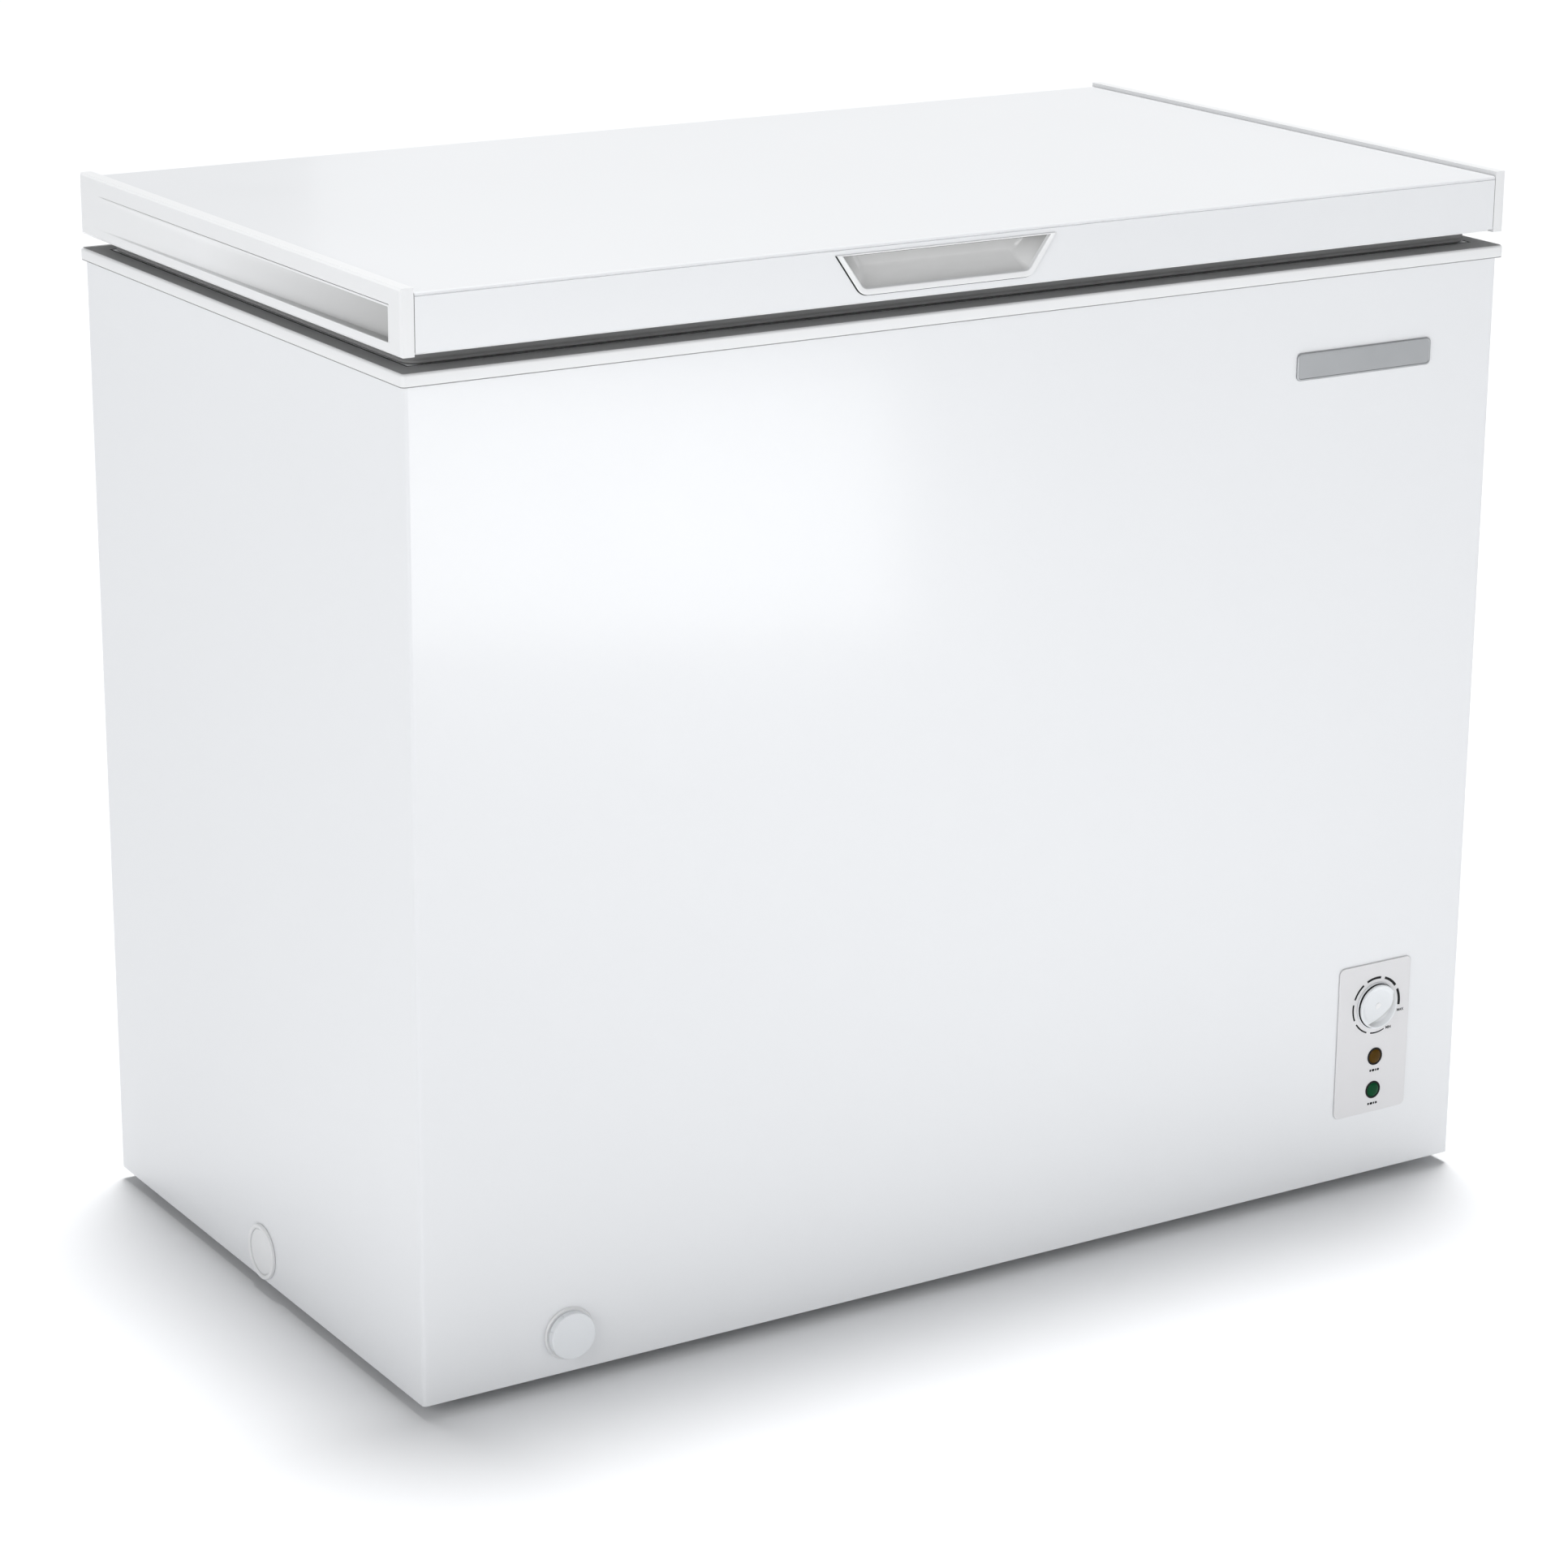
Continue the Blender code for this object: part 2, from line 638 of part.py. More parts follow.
def cut(target, bm):
    """Cut a closed shape out of a piece."""
    cutter = to_object("cut_" + target.name, bm, None)
    cutter.display_type = "WIRE"
    cutter.hide_render = True
    modifier = target.modifiers.new("cut", "BOOLEAN")
    modifier.operation = "DIFFERENCE"
    modifier.object = cutter


def cut_box(target, low, high):
    """Cut a block out of a piece."""
    bm = bmesh.new()
    add_box(bm, low, high)
    cut(target, bm)


def cut_hole(target, radius, low, high, centre, axis, segments=16):
    """Cut a round hole through a piece."""
    bm = bmesh.new()
    add_rod(bm, radius, low, high, centre, axis, segments)
    cut(target, bm)


def cut_prism(target, outline, low, high, axis):
    """Cut an extruded outline out of a piece."""
    bm = bmesh.new()
    add_prism(bm, outline, low, high, axis)
    cut(target, bm)


def bevel(target, width, segments=1):
    """Round the sharp edges of a piece."""
    modifier = target.modifiers.new("edges", "BEVEL")
    modifier.width = width
    modifier.segments = segments
    modifier.limit_method = "ANGLE"
    modifier.angle_limit = math.radians(50)


def pivot_at(name, place):
    """Make the empty that marks a joint's axis."""
    made = bpy.data.objects.new(name, None)
    made.location = place
    made.empty_display_size = 0.02
    bpy.context.scene.collection.objects.link(made)
    return made


# ---------------------------------------------------------------- cabinet


def add_shell_wrap(bm, outer_x, front, thickness, radius, low, high):
    """Add the U-shaped sheet that makes the left side, the front and the right side."""
    rear = HALF_Y
    outline = [(-outer_x, rear)]
    outline += arc((-outer_x + radius, front + radius), radius, 180, 270, 3)
    outline += arc((outer_x - radius, front + radius), radius, 270, 360, 3)
    outline += [(outer_x, rear), (outer_x - thickness, rear)]
    inner = radius - thickness
    outline += arc((outer_x - radius, front + radius), inner, 360, 270, 3)
    outline += arc((-outer_x + radius, front + radius), inner, 270, 180, 3)
    outline += [(-outer_x + thickness, rear)]
    add_prism(bm, outline, low, high)


def make_outer_shell():
    """Sides and front in one sheet, with the openings for what is fitted in them."""
    bm = bmesh.new()
    add_shell_wrap(bm, HALF_X, -HALF_Y, SHEET, SHELL_EDGE_RADIUS, BASE_Z, SHELL_TOP)
    shell = piece("outer_shell", bm, "white_paint")
    half_x = PANEL_WIDTH / 2 - PANEL_RIM + GAP
    half_z = PANEL_HEIGHT / 2 - PANEL_RIM + GAP
    cut_prism(
        shell, rounded_rectangle(half_x, half_z, PANEL_CORNER - PANEL_RIM, 2, (PANEL_X, PANEL_Z)),
        -HALF_Y - CUT_PAST, -HALF_Y + CUT_PAST, "Y")
    cut_hole(shell, DRAIN_NECK_RADIUS + GAP, -HALF_Y - CUT_PAST, -HALF_Y + CUT_PAST,
             (DRAIN_X, DRAIN_Z), "Y", 20)
    cut_hole(shell, SIDE_PLUG_NECK + GAP, -HALF_X - CUT_PAST, -HALF_X + CUT_PAST,
             (0.0, SIDE_PLUG_Z), "X", 20)
    grille_y = HALF_Y - GRILLE_FROM_REAR - GRILLE_LENGTH / 2
    open_y, open_z = GRILLE_LENGTH / 2 - GRILLE_OVERLAP, GRILLE_HEIGHT / 2 - GRILLE_OVERLAP
    cut_box(shell, (HALF_X - CUT_PAST, grille_y - open_y, GRILLE_Z - open_z),
            (HALF_X + CUT_PAST, grille_y + open_y, GRILLE_Z + open_z))


def make_rear_panel():
    """Flat sheet between the sides, open behind the machine room."""
    bm = bmesh.new()
    half = INNER_X - GAP
    add_box(bm, (-half, INNER_Y, BASE_Z), (half, HALF_Y, SHELL_TOP))
    panel = piece("rear_panel", bm, "zinc_steel")
    cut_box(panel, (ROOM_LEFT + COVER_OVERLAP, INNER_Y - CUT_PAST, PAN_TOP + COVER_OVERLAP),
            (half - COVER_OVERLAP, HALF_Y + CUT_PAST, ROOM_TOP - COVER_OVERLAP))


def inside_outline():
    """Return the outline of what fills the shell, clear of its round edges."""
    return rounded_rectangle(INNER_X - GAP, INNER_Y - GAP, SHELL_EDGE_RADIUS, 2)


def make_base_pan():
    """Bottom sheet with foot holes and air slots under the compressor."""
    bm = bmesh.new()
    add_prism(bm, inside_outline(), BASE_Z, PAN_TOP)
    pan = piece("base_pan", bm, "zinc_steel")
    for x, y in foot_places():
        cut_hole(pan, FOOT_STUD_RADIUS + GAP, BASE_Z - CUT_PAST, PAN_TOP + CUT_PAST, (x, y),
                 "Z", 12)
    for i in range(BASE_SLOTS):
        y = COMPRESSOR_Y + (i - (BASE_SLOTS - 1) / 2) * 2 * SLOT_PITCH
        cut_box(pan, (ROOM_X - BASE_SLOT_HALF, y - SLOT_HEIGHT, BASE_Z - CUT_PAST),
                (ROOM_X + BASE_SLOT_HALF, y + SLOT_HEIGHT, PAN_TOP + CUT_PAST))


def foot_places():
    """Return the four foot centres."""
    x, y = HALF_X - FOOT_INSET_X, HALF_Y - FOOT_INSET_Y
    return [(-x, -y), (x, -y), (x, y), (-x, y)]


def make_feet():
    """Four rubber feet with a stud that stops inside the base pan."""
    for number, place in enumerate(foot_places(), start=1):
        bm = bmesh.new()
        rise = BASE_Z - GAP
        profile = [(0.0, 0.0), (FOOT_RADIUS - FOOT_CHAMFER, 0.0), (FOOT_RADIUS, FOOT_CHAMFER),
                   (FOOT_RADIUS - FOOT_TAPER, rise), (FOOT_STUD_RADIUS, rise),
                   (FOOT_STUD_RADIUS, PAN_TOP - GAP / 3), (0.0, PAN_TOP - GAP / 3)]
        add_turned(bm, profile, 16, place)
        piece(f"foot_{number}", bm, "rubber", round_piece=True)


def make_partition():
    """L-shaped sheet that parts the machine room from the foam."""
    bm = bmesh.new()
    low, high = PAN_TOP + GAP, ROOM_TOP + SHEET
    right = INNER_X - GAP
    outline = [(ROOM_LEFT - SHEET, low), (ROOM_LEFT, low), (ROOM_LEFT, ROOM_TOP),
               (right, ROOM_TOP), (right, high), (ROOM_LEFT - SHEET, high)]
    add_prism(bm, outline, -INNER_Y + SHELL_EDGE_RADIUS, INNER_Y - GAP, "Y")
    partition = piece("machine_room_partition", bm, "zinc_steel")
    for x, y in pipe_passages():
        cut_hole(partition, TUBE_RADIUS + TUBE_PLAY, ROOM_TOP - CUT_PAST, high + CUT_PAST,
                 (x, y), "Z", 8)


def make_foam():
    """Foamed body between shell and liner, with its channels for the tubes."""
    bm = bmesh.new()
    add_prism(bm, inside_outline(), PAN_TOP + GAP, SHELL_TOP)
    foam = piece("insulation_foam", bm, "foam")
    cut_box(foam, (ROOM_LEFT - SHEET - GAP, -HALF_Y, BASE_Z),
            (HALF_X, HALF_Y, ROOM_TOP + SHEET + GAP))
    well = bmesh.new()
    grow = SHEET + GAP
    add_stepped_block(well, grow, LINER_FLOOR - grow, STEP_TOP - grow, FRAME_TOP)
    cut(foam, well)
    shelf_x = FRAME_X - FRAME_TOP_WIDTH + FRAME_WALL + GAP
    shelf_y = FRAME_Y - FRAME_TOP_WIDTH + FRAME_WALL + GAP
    shelf = rounded_rectangle(shelf_x, shelf_y, frame_corner(FRAME_TOP_WIDTH - FRAME_WALL))
    cut_prism(foam, shelf, LINER_TOP - SHEET - GAP, FRAME_TOP, "Z")
    for path in (evaporator_path(), condenser_path()):
        groove = bmesh.new()
        add_sweep(groove, path, (TUBE_RADIUS + 2 * GAP) * math.sqrt(2), 4)
        cut(foam, groove)
    bore = bmesh.new()
    add_sweep(bore, drain_path(-HALF_Y - CUT_PAST, LINER_FLOOR), DRAIN_NECK_RADIUS + FOAM_PLAY,
              12)
    cut(foam, bore)
    cut_hole(foam, SIDE_PLUG_NECK + FOAM_PLAY, -HALF_X - CUT_PAST,
             -HALF_X + SIDE_PLUG_DEPTH + FOAM_PLAY,
             (0.0, SIDE_PLUG_Z), "X", 20)


def make_inner_liner():
    """Sheet tub with the step over the machine room and a rim under the ledge."""
    bm = bmesh.new()
    add_stepped_block(bm, SHEET, LINER_FLOOR - SHEET, STEP_TOP - SHEET, LINER_TOP,
                      (LINER_FLANGE, SHEET))
    liner = piece("inner_liner", bm, "liner_aluminium")
    hollow = bmesh.new()
    add_stepped_block(hollow, 0.0, LINER_FLOOR, STEP_TOP, LINER_TOP + CUT_PAST)
    cut(liner, hollow)
    cut_hole(liner, DRAIN_HOSE_BORE, LINER_FLOOR - CUT_PAST, LINER_FLOOR + CUT_PAST,
             (DRAIN_X, DRAIN_INLET_Y), "Z", 16)


def frame_corner(inset):
    """Return the top frame's corner radius, tight round the shell and easier inwards."""
    if inset <= FRAME_LIP:
        return FRAME_CORNER - inset
    return LINER_CORNER * (inset - FRAME_LIP) / (FRAME_REACH - FRAME_LIP)


def make_top_frame():
    """Collar over the edges of shell and liner, with the ledge for the basket."""
    wall_outer = FRAME_TOP_WIDTH - FRAME_WALL
    ledge_inner = FRAME_TOP_WIDTH + FRAME_SLOPE
    profile = [
        (0.0, LIP_Z), (0.0, FRAME_TOP - FRAME_EDGE), (FRAME_EDGE, FRAME_TOP),
        (FRAME_TOP_WIDTH - FRAME_INNER_EDGE, FRAME_TOP),
        (FRAME_TOP_WIDTH, FRAME_TOP - FRAME_INNER_EDGE),
        (ledge_inner, LEDGE_Z), (FRAME_REACH, LEDGE_Z), (FRAME_REACH, LEDGE_UNDER),
        (wall_outer + FRAME_SLOPE, LEDGE_UNDER), (wall_outer, FRAME_TOP - FRAME_WALL),
        (FRAME_LIP, FRAME_TOP - FRAME_WALL), (FRAME_LIP, LIP_Z)]
    loops = []
    for inset, level in profile:
        outline = rounded_rectangle(FRAME_X - inset, FRAME_Y - inset, frame_corner(inset))
        loops.append([(x, y, level) for x, y in outline])
    bm = bmesh.new()
    add_loft(bm, loops, closed=True)
    piece("top_frame", bm, "white_plastic")


# ---------------------------------------------------------------- refrigerant circuit


def coil_places():
    """Return the upright lines where the tubes leave the machine room."""
    wall = INNER_X - GAP - TUBE_RADIUS
    side = LINER_X + SHEET + GAP + TUBE_RADIUS
    apart = 3 * TUBE_RADIUS
    return {
        "condenser_in": (wall, HALF_Y - CONDENSER_IN_FROM_REAR),
        "condenser_out": (wall, HALF_Y - CONDENSER_OUT_FROM_REAR),
        "evaporator_in": (side, HALF_Y - EVAPORATOR_IN_FROM_REAR),
        "evaporator_out": (side + apart, HALF_Y - EVAPORATOR_OUT_FROM_REAR),
    }


def pipe_passages():
    """Return the four holes in the top of the machine room."""
    return list(coil_places().values())


def levels(count):
    """Return evenly spaced heights on the walls above the step."""
    low, high = STEP_TOP + COIL_ABOVE_STEP, LEDGE_UNDER - COIL_BELOW_LEDGE
    return [low + (high - low) * i / (count - 1) for i in range(count)]


def evaporator_path():
    """Tube wound round the outside of the liner, from the machine room and back to it."""
    start, end = coil_places()["evaporator_in"], coil_places()["evaporator_out"]
    x = start[0]
    y = LINER_Y + SHEET + GAP + TUBE_RADIUS
    room = ROOM_TOP - PIPE_STUB
    heights = levels(EVAPORATOR_TURNS + 1)
    corners = [(x, start[1], room), (x, start[1], heights[0])]
    for low, high in zip(heights, heights[1:]):
        corners += [(x, -y, low), (-x, -y, low), (-x, y, low), (0.0, y, low)]
        corners += [(COIL_CLIMB, y, high), (x, y, high)]
    corners += [(x, end[1] + COIL_RETURN, heights[-1]), (end[0], end[1], heights[-1]),
                (end[0], end[1], room)]
    return rounded_path(corners, TUBE_BEND, 2)


def condenser_path():
    """Tube run to and fro along the inside of the shell."""
    start, end = coil_places()["condenser_in"], coil_places()["condenser_out"]
    x = start[0]
    front = -INNER_Y + GAP + TUBE_RADIUS
    turn_y = start[1]
    room = ROOM_TOP - PIPE_STUB
    heights = levels(CONDENSER_RUNS)
    corners = [(x, start[1], room), (x, start[1], heights[0])]
    for run, height in enumerate(heights):
        side = x if run % 2 == 0 else -x
        corners += [(side, front, height), (-side, front, height)]
        if run < CONDENSER_RUNS - 1:
            corners += [(-side, turn_y, height), (-side, turn_y, heights[run + 1])]
    corners += [(x, end[1], heights[-1]), (x, end[1], ROOM_TOP - 2 * GAP)]
    corners += [(drier_place()[0], end[1], ROOM_TOP - DRIER_ENTRY)]
    corners += [(drier_place()[0], end[1], drier_top() + GAP)]
    return rounded_path(corners, TUBE_BEND / 2, 2)


def drier_place():
    """Return the upright axis of the filter drier."""
    wall, rear = coil_places()["condenser_out"]
    return (wall - DRIER_FROM_WALL, rear)


def drier_top():
    """Return the height of the drier's upper end."""
    return ROOM_TOP - DRIER_DROP


def make_coils():
    """Evaporator round the liner and condenser inside the shell."""
    bm = bmesh.new()
    add_sweep(bm, evaporator_path(), TUBE_RADIUS, 6)
    piece("evaporator_coil", bm, "copper", round_piece=True)
    bm = bmesh.new()
    add_sweep(bm, condenser_path(), TUBE_RADIUS, 6)
    piece("condenser_coil", bm, "copper", round_piece=True)


def compressor_profile():
    """Return the upright section of the compressor's can, as shares of its width."""
    base, height = COMPRESSOR_BASE, COMPRESSOR_HEIGHT
    half = COMPRESSOR_WIDTH / 2
    return [(0.0, base), (0.70 * half, base), (0.90 * half, base + 0.10 * height),
            (0.95 * half, base + 0.47 * height), (half, base + 0.48 * height),
            (half, base + 0.53 * height), (0.94 * half, base + 0.54 * height),
            (0.88 * half, base + 0.80 * height), (0.62 * half, base + 0.95 * height),
            (0.25 * half, base + height), (0.0, base + height)]


def make_compressor():
    """Welded can on its mounting plate and four rubber grommets."""
    bm = bmesh.new()
    stretch = COMPRESSOR_LENGTH / COMPRESSOR_WIDTH
    add_turned(bm, compressor_profile(), 20, (ROOM_X, COMPRESSOR_Y), scale=(1.0, stretch))
    piece("compressor", bm, "black_paint", round_piece=True)

    bm = bmesh.new()
    low = PAN_TOP + MOUNT_HEIGHT
    half_x, half_y = MOUNT_SPAN_X / 2, MOUNT_SPAN_Y / 2
    ear = GROMMET_RADIUS + MOUNT_MARGIN
    add_prism(bm, rounded_rectangle(half_x + ear, half_y + ear, ear, 3, (ROOM_X, COMPRESSOR_Y)),
              low, low + MOUNT_SHEET)
    plate = piece("compressor_mount", bm, "black_paint")
    bottom = PAN_TOP + GAP
    for number, (x, y) in enumerate(grommet_places(), start=1):
        cut_hole(plate, GROMMET_NECK + GAP, low - CUT_PAST, low + CUT_PAST, (x, y), "Z", 12)
        bm = bmesh.new()
        cap = low + MOUNT_SHEET + GAP
        profile = [(0.0, bottom), (GROMMET_RADIUS, bottom), (GROMMET_RADIUS, low - GAP),
                   (GROMMET_NECK, low - GAP), (GROMMET_NECK, cap),
                   (GROMMET_CAP_RADIUS, cap), (GROMMET_CAP_RADIUS - CAP_TAPER, cap + GROMMET_CAP),
                   (0.0, cap + GROMMET_CAP)]
        add_turned(bm, profile, 10, (x, y))
        piece(f"grommet_{number}", bm, "rubber", round_piece=True)


def grommet_places():
    """Return the centres of the compressor's grommets."""
    x, y = MOUNT_SPAN_X / 2, MOUNT_SPAN_Y / 2
    return [(ROOM_X + a * x, COMPRESSOR_Y + b * y) for a, b in ((-1, -1), (1, -1), (1, 1), (-1, 1))]


def make_room_fittings():
    """Relay cover, drier and the tubes that join them to the compressor."""
    width, depth, height = RELAY_SIZE
    can_front = COMPRESSOR_Y - COMPRESSOR_LENGTH / 2
    middle = COMPRESSOR_BASE + COMPRESSOR_HEIGHT / 2
    bm = bmesh.new()
    add_box(bm, (ROOM_X - width / 2, can_front - GAP - depth, middle - height / 2),
            (ROOM_X + width / 2, can_front - GAP, middle + height / 2))
    bevel(piece("relay_cover", bm, "black_plastic"), RELAY_EDGE)

    top, place = drier_top(), drier_place()
    bottom = top - DRIER_LENGTH
    neck = CAPILLARY_RADIUS * 2
    bm = bmesh.new()
    profile = [(0.0, bottom), (neck, bottom), (DRIER_RADIUS, bottom + DRIER_NECK),
               (DRIER_RADIUS, top - DRIER_NECK), (TUBE_RADIUS, top), (0.0, top)]
    add_turned(bm, profile, 12, place)
    piece("filter_drier", bm, "copper", round_piece=True)

    inlet = coil_places()["evaporator_in"]
    room = ROOM_TOP - PIPE_STUB
    dip = bottom - CAPILLARY_DIP
    across = inlet[1] + CAPILLARY_FORWARD
    bm = bmesh.new()
    corners = [(place[0], place[1], bottom - GAP), (place[0], place[1], dip),
               (place[0] - CAPILLARY_SIDESTEP, across, dip),
               (inlet[0], across, room - CAPILLARY_TURN),
               (inlet[0], inlet[1], room - CAPILLARY_JOIN), (inlet[0], inlet[1], room - GAP)]
    add_sweep(bm, rounded_path(corners, CAPILLARY_BEND, 2), CAPILLARY_RADIUS, 5)
    piece("capillary_tube", bm, "copper", round_piece=True)

    can_top = COMPRESSOR_BASE + COMPRESSOR_HEIGHT
    out = coil_places()["evaporator_out"]
    run = room - SUCTION_DROP
    bm = bmesh.new()
    corners = [(out[0], out[1], room - GAP), (out[0], out[1], run),
               (ROOM_X + SUCTION_OFFSET, out[1], run),
               (ROOM_X + SUCTION_OFFSET, out[1], can_top + GAP)]
    add_sweep(bm, rounded_path(corners, PIPE_BEND), TUBE_RADIUS, 6)
    piece("suction_pipe", bm, "copper", round_piece=True)

    start = coil_places()["condenser_in"]
    bm = bmesh.new()
    rise = room - DISCHARGE_DROP
    outlet = COMPRESSOR_Y + DISCHARGE_OFFSET
    corners = [(ROOM_X, outlet, can_top + GAP), (ROOM_X, outlet, rise),
               (ROOM_X, start[1], rise), (start[0], start[1], rise),
               (start[0], start[1], room - GAP)]
    add_sweep(bm, rounded_path(corners, PIPE_BEND), TUBE_RADIUS, 6)
    piece("discharge_pipe", bm, "copper", round_piece=True)


def make_machine_room_cover():
    """Slotted cover over the opening in the rear panel."""
    bm = bmesh.new()
    left, right = ROOM_LEFT - COVER_OVERLAP, HALF_X - COVER_INSET
    low, high = PAN_TOP + COVER_LIFT, ROOM_TOP + COVER_OVERLAP
    face = HALF_Y + GAP
    add_box(bm, (left, face, low), (right, face + COVER_SHEET, high))
    cover = piece("machine_room_cover", bm, "grey_plastic")
    middle = (left + right) / 2
    for i in range(COVER_SLOTS):
        z = (low + high) / 2 + (i - (COVER_SLOTS - 1) / 2) * SLOT_PITCH + COVER_SLOTS_UP
        for side in (-1, 1):
            near, far = middle + side * COVER_RIB, middle + side * (COVER_RIB + COVER_SLOT_LENGTH)
            cut_box(cover, (min(near, far), HALF_Y - CUT_PAST, z - SLOT_HEIGHT / 2),
                    (max(near, far), HALF_Y + CUT_PAST, z + SLOT_HEIGHT / 2))
    cut_hole(cover, GLAND_NECK + GAP, HALF_Y - CUT_PAST, HALF_Y + CUT_PAST, gland_place(), "Y", 12)


def gland_place():
    """Return the gland's centre in the machine room cover."""
    return (ROOM_LEFT + COVER_OVERLAP + GLAND_INSET, GLAND_Z)


def make_cord_gland():
    """Flanged bush where a mains cord would enter."""
    face = HALF_Y + GAP + COVER_SHEET + GAP
    profile = [(GLAND_BORE, face - GLAND_LENGTH), (GLAND_NECK, face - GLAND_LENGTH),
               (GLAND_NECK, face), (GLAND_RADIUS, face),
               (GLAND_RADIUS - GLAND_TAPER, face + GLAND_FLANGE),
               (GLAND_BORE + GLAND_WALL, face + GLAND_PROUD), (GLAND_BORE, face + GLAND_PROUD)]
    bm = bmesh.new()
    add_turned(bm, profile, 14, gland_place(), "Y", closed=True)
    piece("cord_gland", bm, "black_plastic", round_piece=True)


def make_side_vent_grille():
    """Slotted grille over the opening in the right side."""
    bm = bmesh.new()
    middle = HALF_Y - GRILLE_FROM_REAR - GRILLE_LENGTH / 2
    outline = rounded_rectangle(
        GRILLE_LENGTH / 2, GRILLE_HEIGHT / 2, GRILLE_CORNER, 2, (middle, GRILLE_Z))
    add_prism(bm, outline, HALF_X + GAP, HALF_X + GRILLE_PROUD, "X")
    grille = piece("side_vent_grille", bm, "white_plastic")
    for i in range(GRILLE_SLOTS):
        z = GRILLE_Z + (i - (GRILLE_SLOTS - 1) / 2) * SLOT_PITCH
        for side in (-1, 1):
            near = middle + side * GRILLE_RIB
            far = middle + side * (GRILLE_LENGTH / 2 - GRILLE_BORDER)
            cut_box(grille, (HALF_X - CUT_PAST, min(near, far), z - SLOT_HEIGHT / 2),
                    (HALF_X + CUT_PAST, max(near, far), z + SLOT_HEIGHT / 2))


# ---------------------------------------------------------------- thermostat panel


def make_control_panel():
    """Moulded panel with a flange outside and a shallow rim through the shell."""
    middle = (PANEL_X, PANEL_Z)
    half_x, half_z = PANEL_WIDTH / 2, PANEL_HEIGHT / 2
    seat = -HALF_Y - GAP
    back = PANEL_FACE + PANEL_DEPTH
    loops = []
    for inset, level in ((PANEL_EDGE, PANEL_FACE), (0.0, PANEL_FACE + PANEL_EDGE), (0.0, seat),
                         (PANEL_RIM, seat), (PANEL_RIM, back)):
        outline = rounded_rectangle(half_x - inset, half_z - inset, PANEL_CORNER - inset, 3, middle)
        loops.append([on_axis("Y", x, z, level) for x, z in outline])
    bm = bmesh.new()
    add_loft(bm, loops)
    panel = piece("control_panel", bm, "white_plastic")
    inset = PANEL_RIM + PANEL_WALL
    hollow = rounded_rectangle(half_x - inset, half_z - inset, PANEL_INNER_CORNER, 2, middle)
    cut_prism(panel, hollow, PANEL_FACE + PANEL_WALL, back + CUT_PAST, "Y")
    front, rear = PANEL_FACE - CUT_PAST, PANEL_FACE + PANEL_WALL + GAP
    cut_hole(panel, SHAFT_RADIUS + SHAFT_PLAY, front, rear, (KNOB_X, KNOB_Z), "Y", 14)
    for x, z in lens_places():
        cut_hole(panel, LENS_RADIUS + GAP, front, rear, (x, z), "Y", 20)


def lens_places():
    """Return the centres of the amber and the green lens."""
    return [(PANEL_X + AMBER_OFFSET_X, AMBER_Z), (PANEL_X + GREEN_OFFSET_X, GREEN_Z)]


def make_thermostat():
    """Thermostat body behind the panel, with its turning shaft and knob."""
    width, depth, height = THERMOSTAT_SIZE
    front = PANEL_FACE + PANEL_WALL + GAP
    bm = bmesh.new()
    add_box(bm, (KNOB_X - width / 2, front, KNOB_Z - height / 2),
            (KNOB_X + width / 2, front + depth, KNOB_Z + height / 2))
    bevel(piece("thermostat_body", bm, "zinc_steel"), THERMOSTAT_EDGE)

    pivot = pivot_at("knob_axis", (KNOB_X, PANEL_FACE, KNOB_Z))
    tip = PANEL_FACE - GAP - KNOB_HEIGHT + KNOB_CROWN
    bm = bmesh.new()
    add_rod(bm, SHAFT_RADIUS, tip, front - GAP, (KNOB_X, KNOB_Z), "Y", 12)
    piece("thermostat_shaft", bm, "white_plastic", pivot, True)

    back, face = PANEL_FACE - GAP, PANEL_FACE - GAP - KNOB_HEIGHT
    centre = (KNOB_X, KNOB_Z)
    bm = bmesh.new()
    profile = [(0.0, back), (KNOB_RADIUS, back), (KNOB_RADIUS, back - KNOB_SKIRT),
               (KNOB_RADIUS - KNOB_DRAFT, face + KNOB_CHAMFER),
               (KNOB_RADIUS - KNOB_DRAFT - KNOB_CHAMFER, face), (0.0, face)]
    add_turned(bm, profile, 28, centre, "Y")
    knob = piece("thermostat_knob", bm, "white_plastic", pivot, True)
    turn = Matrix.Rotation(math.radians(-GRIP_ANGLE), 4, "Y")
    place = Matrix.Translation((KNOB_X, 0.0, KNOB_Z))
    for side in (-1, 1):
        scoop = bmesh.new()
        near, far = GRIP_HALF_WIDTH, KNOB_RADIUS + SCOOP_PAST
        floor = back - KNOB_SKIRT
        outline = [(near, face - SCOOP_PAST), (near + SCOOP_LEAN, floor - SCOOP_EASE),
                   (near + SCOOP_LEAN + SCOOP_EASE, floor), (far, floor), (far, face - SCOOP_PAST)]
        outline = [(side * z, y) for z, y in outline]
        loops = []
        for x in (-far, far):
            loops.append([(x, y, z) for z, y in outline])
        add_loft(scoop, loops)
        bmesh.ops.transform(scoop, matrix=place @ turn, verts=scoop.verts)
        cut(knob, scoop)
    cut_hole(knob, SHAFT_RADIUS + GAP, tip - GAP, back + CUT_PAST, centre, "Y", 12)


